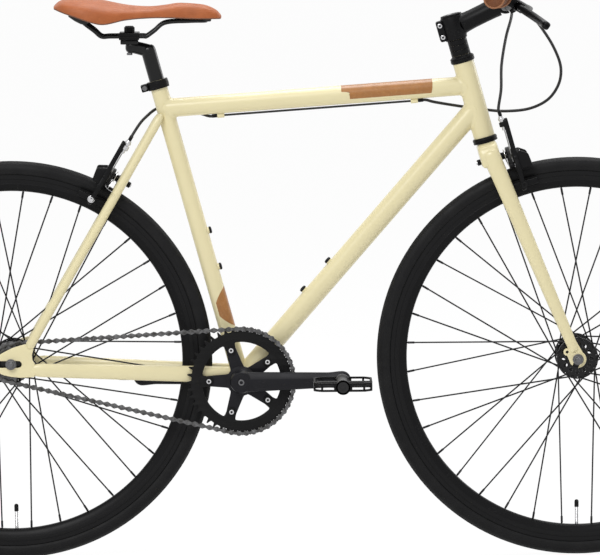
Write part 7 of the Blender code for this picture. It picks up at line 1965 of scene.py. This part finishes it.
def build_rim(end, axle):
    """Rim with its two machined braking tracks."""
    half = [(RIM_NOSE_RADIUS, 0.0012), (0.2882, 0.003), (0.2892, 0.0052), (0.2915, 0.0074), (0.2955, 0.0098),
            (0.3, 0.0112), (0.301, 0.0115), (0.3014, 0.0113), (0.3018, 0.0115), (0.3084, 0.0115),
            (0.3087, 0.0112), (0.309, 0.0115), (0.3158, 0.0115), (0.3165, 0.011), (0.3165, 0.0101),
            (0.316, 0.0097), (0.3122, 0.0097), (0.3112, 0.009), (0.3106, 0.006)]
    profile = half + [(radius, -y) for radius, y in reversed(half)]
    tones = [int(abs(a[1]) > 0.0111 and abs(b[1]) > 0.0111 and a[0] > 0.3005 and b[0] > 0.3005)
             for a, b in zip(profile, profile[1:] + profile[:1])]
    shape = Shape()
    shape.turned(across_frame(axle), profile, 180, tones)
    shape.piece(f"{end}_machined_rim", finishes("satin_black", "brake_track"), f"{end}_wheel", "black_alloy",
                f"{end}_rim")


def build_hub(end, axle):
    """Hub with its pierced flanges."""
    place = across_frame(axle)
    width, flange_y = HUB_WIDTHS[end] / 2, FLANGE_YS[end]
    left = [(0.013, 0.0), (0.013, flange_y - 0.012), (0.0152, flange_y - 0.004), (0.02, flange_y - 0.0014),
            (0.02, flange_y + 0.0014), (0.015, flange_y + 0.0024), (0.0138, flange_y + 0.005),
            (0.013, width - 0.0055), (0.009, width - 0.004), (HUB_END_RADIUS, width - GAP)]
    right = left
    if end == "rear":
        right = left[:5] + [(0.0172, flange_y + 0.002), (0.0172, 0.0512), (0.01, 0.0516),
                            (HUB_END_RADIUS, 0.053), (HUB_END_RADIUS, width - GAP)]
    bore = AXLE_RADIUS + GAP
    profile = [(bore, -width + GAP)] + [(radius, -y) for radius, y in reversed(right)] + left[1:]
    shape = Shape()
    shape.turned(place, profile + [(bore, width - GAP)], 64)
    holes = [circle(0.0007, 6, (SPOKE_HOLE_RADIUS * cos(a), SPOKE_HOLE_RADIUS * sin(a)))
             for a in (turn + VALVE_ANGLES[end] for turn in round_steps(18))]
    holes += [circle(0.0034, 16, (0.0232 * cos(a), 0.0232 * sin(a)))
              for a in (radians(1 + 30 * index) for index in range(12))]
    for side in SIDES.values():
        flange = place @ shift(0.0, 0.0, side * flange_y)
        shape.plate(flange, circle(FLANGE_RADIUS, 96), FLANGE_THICKNESS, 0,
                    holes + [circle(0.018, 48)], 0.0006, 1)
    shape.piece(f"{end}_flanged_hub", finishes("gloss_black"), f"{end}_wheel", "black_alloy", f"{end}_hub")


def build_axle(end, axle):
    """Threaded axle with its washers and nuts."""
    shape = Shape()
    face = HUB_WIDTHS[end] / 2 + DROPOUT_THICKNESSES[end] + GAP
    tip = face + AXLE_NUT_LENGTH + 0.0048
    shape.bar(across_frame(axle), AXLE_RADIUS - 0.0002, -face, face, 32, 1)
    for side in SIDES.values():
        outward = across_frame(axle, side)
        thread = [(0.0046, face - 0.002)]
        for index in range(9):
            thread += [(AXLE_RADIUS, face + AXLE_NUT_LENGTH - 0.0045 + index * 0.00098),
                       (AXLE_RADIUS - 0.0005, face + AXLE_NUT_LENGTH - 0.004 + index * 0.00098)]
        shape.turned(outward, thread + [(0.0036, tip)], 32, 1, closed=False)
        shape.ring(outward, 0.0092, AXLE_RADIUS, face, face + 0.0018, 48, 1, 0.0003)
        shape.hexagon(outward, 0.008, face + 0.0018, face + AXLE_NUT_LENGTH, 1, AXLE_RADIUS + 0.0001)
    shape.piece(f"{end}_threaded_axle", finishes("satin_black", "dark_steel"),
                "steering" if end == "front" else "frame", "black_steel", f"{end}_axle")


def build_wheels():
    """Both wheels but for their spokes."""
    for end, axle in AXLES.items():
        for build in (build_tyre, build_inner_tube, build_rim, build_hub, build_axle):
            build(end, axle)


def build_spokes():
    """Crossed spokes with their elbows and nipples, repeated round each side of both wheels."""
    sizes = bpy.context.scene.bicycle_sizes
    count = sizes.spokes_per_side
    step = 2 * pi / count
    for end, axle in AXLES.items():
        for side_name, side in SIDES.items():
            shape = Shape()
            first = VALVE_ANGLES[end] + step / 2 + side * step / 4
            for heading in (1, -1):
                rim_turn = first + (step if heading < 0 else 0.0)
                hub_turn = rim_turn + heading * SPOKES_CROSSED * step
                middle_y = side * FLANGE_YS[end]
                rim_end = wheel_point(axle, RIM_NOSE_RADIUS - 0.0006, rim_turn, side * 0.00175)
                head = wheel_point(axle, SPOKE_HOLE_RADIUS, hub_turn, middle_y - heading * 0.003)
                elbow = wheel_point(axle, SPOKE_HOLE_RADIUS, hub_turn, middle_y + heading * 0.0024)
                bend = elbow.lerp(rim_end, 0.006) + LEFT * heading * 0.0007
                shape.tube([head, elbow, bend, rim_end], sizes.spoke_radius, 8)
                shape.tube([head, head + LEFT * heading * 0.0008], 0.0019, 8)
                shape.rod(rim_end, rim_end.lerp(elbow, 0.042), 0.0019, 8)
            copied_round(f"{end}_crossed_spokes_{side_name}", shape, FINISHES["black_steel"], count // 2,
                         axle, LEFT, f"{end}_wheel", "black_steel", f"{end}_spokes_{side_name}")


# Drive

LINE_ANGLE = atan2(REAR_AXLE.z - CRANK_CENTRE.z, REAR_AXLE.x - CRANK_CENTRE.x)
CHAIN_LEAN = asin((RING_RADIUS - SPROCKET_RADIUS) / CHAINSTAY)
UPPER_TANGENT = LINE_ANGLE - pi / 2 + CHAIN_LEAN
LOWER_TANGENT = LINE_ANGLE + pi / 2 - CHAIN_LEAN
RUN_LINKS = CHAINSTAY * cos(CHAIN_LEAN) / CHAIN_PITCH
RING_WRAP = (UPPER_TANGENT + 2 * pi - LOWER_TANGENT) * RING_TEETH / (2 * pi)
SPROCKET_WRAP = CHAIN_LINKS - 2 * RUN_LINKS - RING_WRAP


def chain_place(links):
    """Point of the chain's middle line, counted in links from the chainring's lower tangent point."""
    links %= CHAIN_LINKS
    ring_step, sprocket_step = 2 * pi / RING_TEETH, 2 * pi / SPROCKET_TEETH

    def on_circle(centre, radius, angle):
        return Vector((centre.x + radius * cos(angle), -CHAIN_LINE, centre.z + radius * sin(angle)))

    if links < RING_WRAP:
        return on_circle(CRANK_CENTRE, RING_RADIUS, LOWER_TANGENT + links * ring_step)
    links -= RING_WRAP
    if links < RUN_LINKS:
        start = on_circle(CRANK_CENTRE, RING_RADIUS, UPPER_TANGENT)
        return start.lerp(on_circle(REAR_AXLE, SPROCKET_RADIUS, UPPER_TANGENT), links / RUN_LINKS)
    links -= RUN_LINKS
    if links < SPROCKET_WRAP:
        return on_circle(REAR_AXLE, SPROCKET_RADIUS, UPPER_TANGENT + links * sprocket_step)
    links -= SPROCKET_WRAP
    start = on_circle(REAR_AXLE, SPROCKET_RADIUS, LOWER_TANGENT)
    return start.lerp(on_circle(CRANK_CENTRE, RING_RADIUS, LOWER_TANGENT), links / RUN_LINKS)


def link_outline():
    """Side plate of a chain link: two round ends and a waist."""
    half = CHAIN_PITCH / 2
    right = arc(0.0042, radians(-125), radians(125), 11, (half, 0.0))
    left = arc(0.0042, radians(55), radians(305), 11, (-half, 0.0))
    return right + [(0.0, 0.0017)] + left + [(0.0, -0.0017)]


def build_chain():
    """Inner and outer links on the chain's path."""
    sizes = bpy.context.scene.bicycle_sizes
    rollers = [chain_place(index + CHAIN_PHASE) for index in range(CHAIN_LINKS)]
    spots = []
    for first, second in zip(rollers, rollers[1:] + rollers[:1]):
        ahead = second - first
        spots.append(((first + second) / 2, atan2(ahead.z, ahead.x)))
    thick = sizes.link_thickness
    for name, parity, inner_y in (("inner_links", 0, 0.0018), ("outer_links", 1, 0.0029)):
        shape = Shape()
        for side in (-1, 1):
            plane = frame_matrix(LEFT * side * (inner_y + thick / 2), FORWARD, -LEFT)
            shape.plate(plane, link_outline(), thick, edge=0.0002)
        for end in (-1, 1):
            centre = across_frame(FORWARD * end * CHAIN_PITCH / 2)
            radius, reach = (0.0036, 0.0017) if parity == 0 else (0.0019, 0.0041)
            shape.bar(centre, radius, -reach, reach, 12, 0, 0.0002)
        copied_on_points(f"chain_{name}", shape, FINISHES["chain_steel"], spots[parity::2], "frame",
                         "chain_steel", "chain")


def toothed_outline(teeth, radius, first_roller):
    """Outline of a sprocket with rounded teeth halfway between the chain's rollers."""
    step = 2 * pi / teeth
    seat = radius * cos(step / 2)
    outline = []
    for index in range(teeth):
        angle = first_roller + (index + 0.5) * step
        out = Vector((cos(angle), sin(angle)))
        along = Vector((-out.y, out.x))
        for height, width in ((seat - 0.0041, -0.0034), (seat - 0.0022, -0.0024), (seat + 0.0016, -0.0015),
                              (seat + 0.0034, -0.0007), (seat + 0.0034, 0.0007), (seat + 0.0016, 0.0015),
                              (seat - 0.0022, 0.0024), (seat - 0.0041, 0.0034)):
            outline.append(tuple(out * height + along * width))
    return outline


def spider_angle(index):
    """Angle of one spider arm."""
    return SPIDER_FIRST_ANGLE + index * 2 * pi / SPIDER_ARMS


def build_chainring():
    """Chainring with its bolts."""
    lug, reach = 0.0095, 0.0668
    half = asin(lug / reach)
    opening = []
    for index in range(SPIDER_ARMS):
        angle = spider_angle(index)
        out = Vector((cos(angle), sin(angle)))
        along = Vector((-out.y, out.x))
        for turn in range(-80, 81, 16):
            depth = BOLT_CIRCLE_RADIUS - lug * 0.8 * cos(radians(turn))
            opening.append(tuple(out * depth + along * lug * 0.9 * sin(radians(turn))))
        opening += arc(reach, angle + half, angle + 2 * pi / SPIDER_ARMS - half, 12)
    outline = toothed_outline(RING_TEETH, RING_RADIUS, LOWER_TANGENT + CHAIN_PHASE * 2 * pi / RING_TEETH)
    plane = side_plane(CRANK_CENTRE - LEFT * CHAIN_LINE)
    shape = Shape()
    shape.plate(plane, outline, TOOTH_THICKNESS, 0, (soften(opening, 0.005),), 0.0004, 1)
    shape.ring(plane, 0.0735, 0.0712, 0.0004, 0.0017, 120, 0, 0.0004)
    shape.piece("toothed_chainring", finishes("matte_black"), "crankset", "black_alloy", "chainring")
    for name, finish_name, slot, radius, low, high in (
            ("chainring_bolt_heads", "satin_black", "black_alloy", 0.006, 0.0012, 0.003),
            ("chainring_bolt_centres", "bright_steel", "bright_steel", 0.0041, 0.0016, 0.0033)):
        shape = Shape()
        spot = plane @ Matrix.Rotation(SPIDER_FIRST_ANGLE, 4, "Z")
        spot = spot @ shift(BOLT_CIRCLE_RADIUS, 0.0, 0.0)
        hole = 0.004 if radius > 0.005 else 0.0019
        shape.ring(spot, radius, hole, low, high, 32, 0, 0.0005)
        copied_round(name, shape, FINISHES[finish_name], SPIDER_ARMS, CRANK_CENTRE, LEFT, "crankset", slot)


def build_freewheel():
    """Freewheel's body with its sprocket."""
    place = across_frame(REAR_AXLE)
    inner, outer = -FREEWHEEL_INNER_Y, -FREEWHEEL_INNER_Y - FREEWHEEL_WIDTH
    shape = Shape()
    bore = 0.0179
    profile = [(0.0235, inner), (0.0228, inner - 0.0006), (0.0228, outer + 0.001), (0.0222, outer),
               (0.02, outer), (0.0198, outer + 0.001), (0.019, outer + 0.001), (bore, outer + 0.0004),
               (bore, inner)]
    shape.turned(place, profile, 72, 1)
    first = UPPER_TANGENT + (CHAIN_PHASE - RING_WRAP - RUN_LINKS) * 2 * pi / SPROCKET_TEETH
    shape.plate(side_plane(REAR_AXLE - LEFT * CHAIN_LINE),
                toothed_outline(SPROCKET_TEETH, SPROCKET_RADIUS, first), TOOTH_THICKNESS, 0,
                (circle(0.0228, 64),), 0.0004, 1)
    shape.piece("toothed_freewheel", finishes("chain_steel", "satin_black"), "freewheel", "chain_steel",
                "freewheel")


def crank_pedal_centre(side, y):
    """Point on the pedal axle of one side."""
    reach = -side * CRANK_LENGTH
    return CRANK_CENTRE + Vector((reach * cos(CRANK_ANGLE), side * y, reach * sin(CRANK_ANGLE)))


CRANK_SECTION = ((1.0, -0.55), (0.93, -0.88), (0.8, -1.0), (-0.8, -1.0), (-0.93, -0.88), (-1.0, -0.55),
                 (-1.0, 0.05), (-0.96, 0.4), (-0.86, 0.62), (-0.4, 0.97), (-0.3, 1.0), (0.24, 1.0),
                 (0.32, 0.97), (0.84, 0.4), (0.95, 0.24), (1.0, -0.05))
CRANK_END_HALF = 0.0009


def arm_half_height(at, length):
    """Half of a crank arm's height at a place along it, round at both ends and swollen at the eye."""
    if at < 0.0:
        return sqrt(max(0.0175 ** 2 - at ** 2, CRANK_END_HALF ** 2)) * 0.985
    if at > length:
        return sqrt(max(0.0146 ** 2 - (at - length) ** 2, CRANK_END_HALF ** 2))
    swell = max(0.0, 1.0 - abs(at - length) / 0.026)
    return (0.0172 + (0.0128 - 0.0172) * min(1.0, at / (length - 0.02))
            + 0.0018 * swell * swell * (3 - 2 * swell))


def add_spider(shape, across, bore):
    """Five arms that carry the chainring, and their collar."""
    outline = []
    for index in range(SPIDER_ARMS):
        angle = spider_angle(index)
        tip = (BOLT_CIRCLE_RADIUS * cos(angle), BOLT_CIRCLE_RADIUS * sin(angle))
        outline += arc(0.0088, angle - pi / 2, angle + pi / 2, 15, tip)
        outline += arc(0.025, angle + 0.48, angle + 2 * pi / SPIDER_ARMS - 0.48, 3)
    shape.plate(side_plane(CRANK_CENTRE - LEFT * SPIDER_CENTRE_Y), soften(outline, 0.007, 5),
                SPIDER_ARM_THICKNESS, 0, (circle(bore, 40),), 0.0008, 2)
    shape.turned(across, [(0.0185, 0.0405), (0.0185, 0.047), (0.021, 0.044), (0.025, 0.0413),
                          (0.025, 0.0405)], 72, 0)


def build_cranks():
    """Ridged arms with their bosses, bolts, pedal axles and the spider."""
    looks = finishes("crank_grey", "matte_black", "bright_steel", "dark_steel")
    for side_name, side in SIDES.items():
        turn = CRANK_ANGLE if side < 0 else CRANK_ANGLE + pi
        out = Vector((cos(turn), 0.0, sin(turn)))
        start = CRANK_CENTRE + LEFT * side * CRANK_ROOT_Y
        end = CRANK_CENTRE + out * CRANK_LENGTH + LEFT * side * CRANK_EYE_Y
        along = (end - start).normalized()
        outward = (LEFT * side - along * along.dot(LEFT * side)).normalized()
        raised = outward.cross(along)
        raised *= copysign(1.0, raised.z)
        length = (end - start).length
        shape = Shape()
        rings = []
        for index in range(57):
            at = (length + 0.032) / 2 * (1 - cos(pi * index / 56)) - 0.0175
            half = arm_half_height(at, length)
            thick = min(0.006, half)
            rings.append([start + along * at + raised * (v * half) + outward * (w * thick)
                          for v, w in CRANK_SECTION])
        shape.skin(rings, 0)
        across = across_frame(CRANK_CENTRE, side)
        inner = SPIDER_CENTRE_Y - SPIDER_ARM_THICKNESS / 2 + GAP
        face = 0.065
        bore = SPINDLE_RADIUS + GAP
        shape.turned(across, soften([(0.019, inner), (0.019, 0.056), (0.0178, face - 0.0018),
                                     (0.0168, face), (bore, face), (bore, inner)], 0.0012), 80, 0)
        shape.ring(across, 0.013, 0.006, face - 0.004, face + 0.0004, 56, 0, 0.0008)
        shape.bar(across, 0.0064, face - 0.01, face - 0.0012, 32, 1)
        shape.ring(across, 0.0052, 0.0028, face - 0.0018, face - 0.0004, 32, 3, 0.0004)
        if side < 0:
            add_spider(shape, across, bore)
        pedal_axle = across_frame(crank_pedal_centre(side, 0.0), side)
        shape.bar(pedal_axle, 0.004, 0.067, 0.178, 24, 3)
        shape.bar(pedal_axle, 0.0072, 0.0662, 0.0838, 32, 3, 0.0006)
        shape.hexagon(pedal_axle, 0.0086, 0.079, 0.085, 3)
        shape.piece(f"ridged_crank_{side_name}", looks, "crankset", "grey_alloy", f"crank_{side_name}",
                    sharp=28)


def build_pedals():
    """Cage pedals with studs, webs, barrel and end cap."""
    looks = finishes("black_plastic", "satin_black", "bright_steel")
    for side_name, side in SIDES.items():
        centre = crank_pedal_centre(side, 0.0) + LEFT * side * (PEDAL_INNER_Y + PEDAL_WIDTH / 2)
        length, width, wall, corner = 0.049, PEDAL_WIDTH / 2, 0.0035, 0.012
        cage = soften([(-length + corner, -width), (length - corner, -width), (length, -width + corner),
                       (length, width - corner), (length - corner, width), (-length + corner, width),
                       (-length, width - corner), (-length, -width + corner)], 0.005)
        opening = [(x * (length - wall) / length, y * (width - wall) / width) for x, y in cage]
        level = Matrix.Translation(centre)
        shape = Shape()
        for height in (-0.0056, 0.0056):
            rim = level @ shift(0.0, 0.0, height)
            shape.plate(rim, cage, 0.0036, 1, (opening,), 0.0009, 2)
        for x in (-1, 1):
            for y, reach in ((-0.0335, 0.004), (0.0335, 0.004), (-0.0216, 0.0055), (0.0216, 0.0055)):
                shape.block(level @ shift(x * 0.0473, y, 0.0), (0.0032, 2 * reach, 0.01), 1)
        for y in (-1, 1):
            for x in (-0.035, -0.0135, 0.0135, 0.035):
                shape.block(level @ shift(x, y * 0.0463, 0.0), (0.0036, 0.0032, 0.01), 1)
        for x in (-0.0472, 0.0472):
            for y in (-0.028, -0.014, 0.0, 0.014, 0.028):
                for low in (0.0055, -0.008):
                    shape.bar(level @ shift(x, y, low), 0.0019, 0.0, 0.0025, 12, 1, 0.0005)
        for y in (-0.0216, 0.0216):
            web = level @ shift(0.0, y, 0.0)
            shape.block(web, (2 * length - wall, 0.01, 0.0056), 0, 0.0018)
            for x in (-0.0496, 0.0496):
                screw, _ = between(web @ Vector((copysign(0.048, x), 0.0, 0.0)), web @ Vector((x, 0.0, 0.0)))
                shape.bar(screw, 0.0028, -0.001, 0.0012, 20, 2, 0.0004)
        outward = across_frame(centre, side)
        bore = 0.0044
        barrel = [(bore, -0.0488), (0.0108, -0.0488), (0.012, -0.0478), (0.012, -0.035), (0.0098, -0.03),
                  (0.0092, 0.0), (0.0098, 0.03), (0.012, 0.035), (0.0122, 0.048), (0.0116, 0.049),
                  (bore, 0.049)]
        shape.turned(outward, barrel, 48, 0)
        shape.ring(outward, 0.0124, 0.0086, 0.0462, 0.049, 48, 1, 0.0006)
        shape.bar(outward, 0.0086, 0.045, 0.0484, 40, 0, 0.0008)
        shape.piece(f"cage_pedal_{side_name}", looks, f"pedal_{side_name}", "black_plastic",
                    f"pedal_{side_name}")


# Operators, panel and the run

def paint_spindle():
    """Gives the hidden bottom bracket spindle its finish."""
    hidden = bpy.data.objects["bottom_bracket_spindle"]
    for slot in hidden.material_slots:
        slot.material = FINISHES["dark_steel"]


def start_finishes():
    """Finishes and node trees that the pieces use."""
    make_finishes(bpy.context.scene.bicycle_colours)
    TREES.update(ring=ring_tree(), path=path_tree())


def run(*makers):
    """Runs builders in order; returns what an operator gives back."""
    for make in makers:
        make()
    return {"FINISHED"}


class BICYCLE_OT_finishes(bpy.types.Operator):
    """Make the finishes and the node trees."""

    bl_idname = "bicycle.finishes"
    bl_label = "Finishes"

    def execute(self, context):
        return run(start_finishes)


class BICYCLE_OT_stage(bpy.types.Operator):
    """Add the camera, floor, lamps and world."""

    bl_idname = "bicycle.stage"
    bl_label = "Stage"

    def execute(self, context):
        return run(build_stage)


class BICYCLE_OT_main_tubes(bpy.types.Operator):
    """Build the head, top, down and seat tubes and the bottom bracket shell."""

    bl_idname = "bicycle.main_tubes"
    bl_label = "Main tubes"

    def execute(self, context):
        return run(build_head_tube, build_top_tube, build_down_tube, build_seat_tube, build_bracket_shell)


class BICYCLE_OT_stays(bpy.types.Operator):
    """Build the chainstays, dropouts, seatstays and the seat clamp."""

    bl_idname = "bicycle.stays"
    bl_label = "Stays and seat clamp"

    def execute(self, context):
        return run(build_chainstays, build_seatstays, build_seat_clamp)


class BICYCLE_OT_headset(bpy.types.Operator):
    """Build the headset's cups, cover and spacers."""

    bl_idname = "bicycle.headset"
    bl_label = "Headset"

    def execute(self, context):
        return run(build_headset)


class BICYCLE_OT_fork(bpy.types.Operator):
    """Build the fork."""

    bl_idname = "bicycle.fork"
    bl_label = "Fork"

    def execute(self, context):
        return run(build_fork)


class BICYCLE_OT_stem_and_bar(bpy.types.Operator):
    """Build the stem, handlebar and grips."""

    bl_idname = "bicycle.stem_and_bar"
    bl_label = "Stem, bar and grips"

    def execute(self, context):
        return run(build_stem, build_faceplate, build_stem_cap, build_bar, build_grips)


class BICYCLE_OT_levers(bpy.types.Operator):
    """Build the brake levers and their brackets."""

    bl_idname = "bicycle.levers"
    bl_label = "Brake levers"

    def execute(self, context):
        return run(build_levers)


class BICYCLE_OT_brakes(bpy.types.Operator):
    """Build the brake arms, pads and pivot bolts."""

    bl_idname = "bicycle.brakes"
    bl_label = "Brakes"

    def execute(self, context):
        return run(build_brakes)


class BICYCLE_OT_cables(bpy.types.Operator):
    """Lay the brake cables."""

    bl_idname = "bicycle.cables"
    bl_label = "Cables"

    def execute(self, context):
        return run(build_cables)


class BICYCLE_OT_saddle(bpy.types.Operator):
    """Build the saddle, its rails and clamp and the seatpost."""

    bl_idname = "bicycle.saddle"
    bl_label = "Saddle"

    def execute(self, context):
        return run(build_cover, build_shell, build_rails, build_rail_clamp, build_seatpost)


class BICYCLE_OT_wheels(bpy.types.Operator):
    """Build the tyres, rims, hubs and axles."""

    bl_idname = "bicycle.wheels"
    bl_label = "Wheels"

    def execute(self, context):
        return run(build_wheels)


class BICYCLE_OT_spokes(bpy.types.Operator):
    """Lace the spokes of both wheels."""

    bl_idname = "bicycle.spokes"
    bl_label = "Spokes"

    def execute(self, context):
        return run(build_spokes)


class BICYCLE_OT_chain(bpy.types.Operator):
    """Lay the chain's links on its path."""

    bl_idname = "bicycle.chain"
    bl_label = "Chain"

    def execute(self, context):
        return run(build_chain)


class BICYCLE_OT_drive(bpy.types.Operator):
    """Build the chainring, freewheel and cranks."""

    bl_idname = "bicycle.drive"
    bl_label = "Chainring, freewheel and cranks"

    def execute(self, context):
        return run(build_chainring, build_freewheel, build_cranks, paint_spindle)


class BICYCLE_OT_pedals(bpy.types.Operator):
    """Build the pedals."""

    bl_idname = "bicycle.pedals"
    bl_label = "Pedals"

    def execute(self, context):
        return run(build_pedals)


OPERATORS = (
    BICYCLE_OT_finishes, BICYCLE_OT_stage, BICYCLE_OT_main_tubes, BICYCLE_OT_stays, BICYCLE_OT_headset,
    BICYCLE_OT_fork, BICYCLE_OT_stem_and_bar, BICYCLE_OT_levers, BICYCLE_OT_brakes, BICYCLE_OT_cables,
    BICYCLE_OT_saddle, BICYCLE_OT_wheels, BICYCLE_OT_spokes, BICYCLE_OT_chain, BICYCLE_OT_drive,
    BICYCLE_OT_pedals)


class BICYCLE_PT_panel(bpy.types.Panel):
    """Bicycle's tab in the sidebar."""

    bl_label = "Single-speed bicycle"
    bl_space_type = "VIEW_3D"
    bl_region_type = "UI"
    bl_category = "Bicycle"

    def draw(self, context):
        for values in (context.scene.bicycle_sizes, context.scene.bicycle_colours):
            for name in values.__annotations__:
                self.layout.prop(values, name)
        for operator in OPERATORS:
            self.layout.operator(operator.bl_idname)


CLASSES = (BicycleSizes, BicycleColours, *OPERATORS, BICYCLE_PT_panel)


def register():
    """Registers the classes and the scene's properties."""
    for made in CLASSES:
        bpy.utils.register_class(made)
    bpy.types.Scene.bicycle_sizes = PointerProperty(type=BicycleSizes)
    bpy.types.Scene.bicycle_colours = PointerProperty(type=BicycleColours)


def unregister():
    """Takes the properties and classes away again."""
    del bpy.types.Scene.bicycle_sizes
    del bpy.types.Scene.bicycle_colours
    for made in reversed(CLASSES):
        bpy.utils.unregister_class(made)


def main():
    """Builds the whole scene."""
    register()
    for operator in OPERATORS:
        family, name = operator.bl_idname.split(".")
        getattr(getattr(bpy.ops, family), name)()


if __name__ == "__main__":
    main()
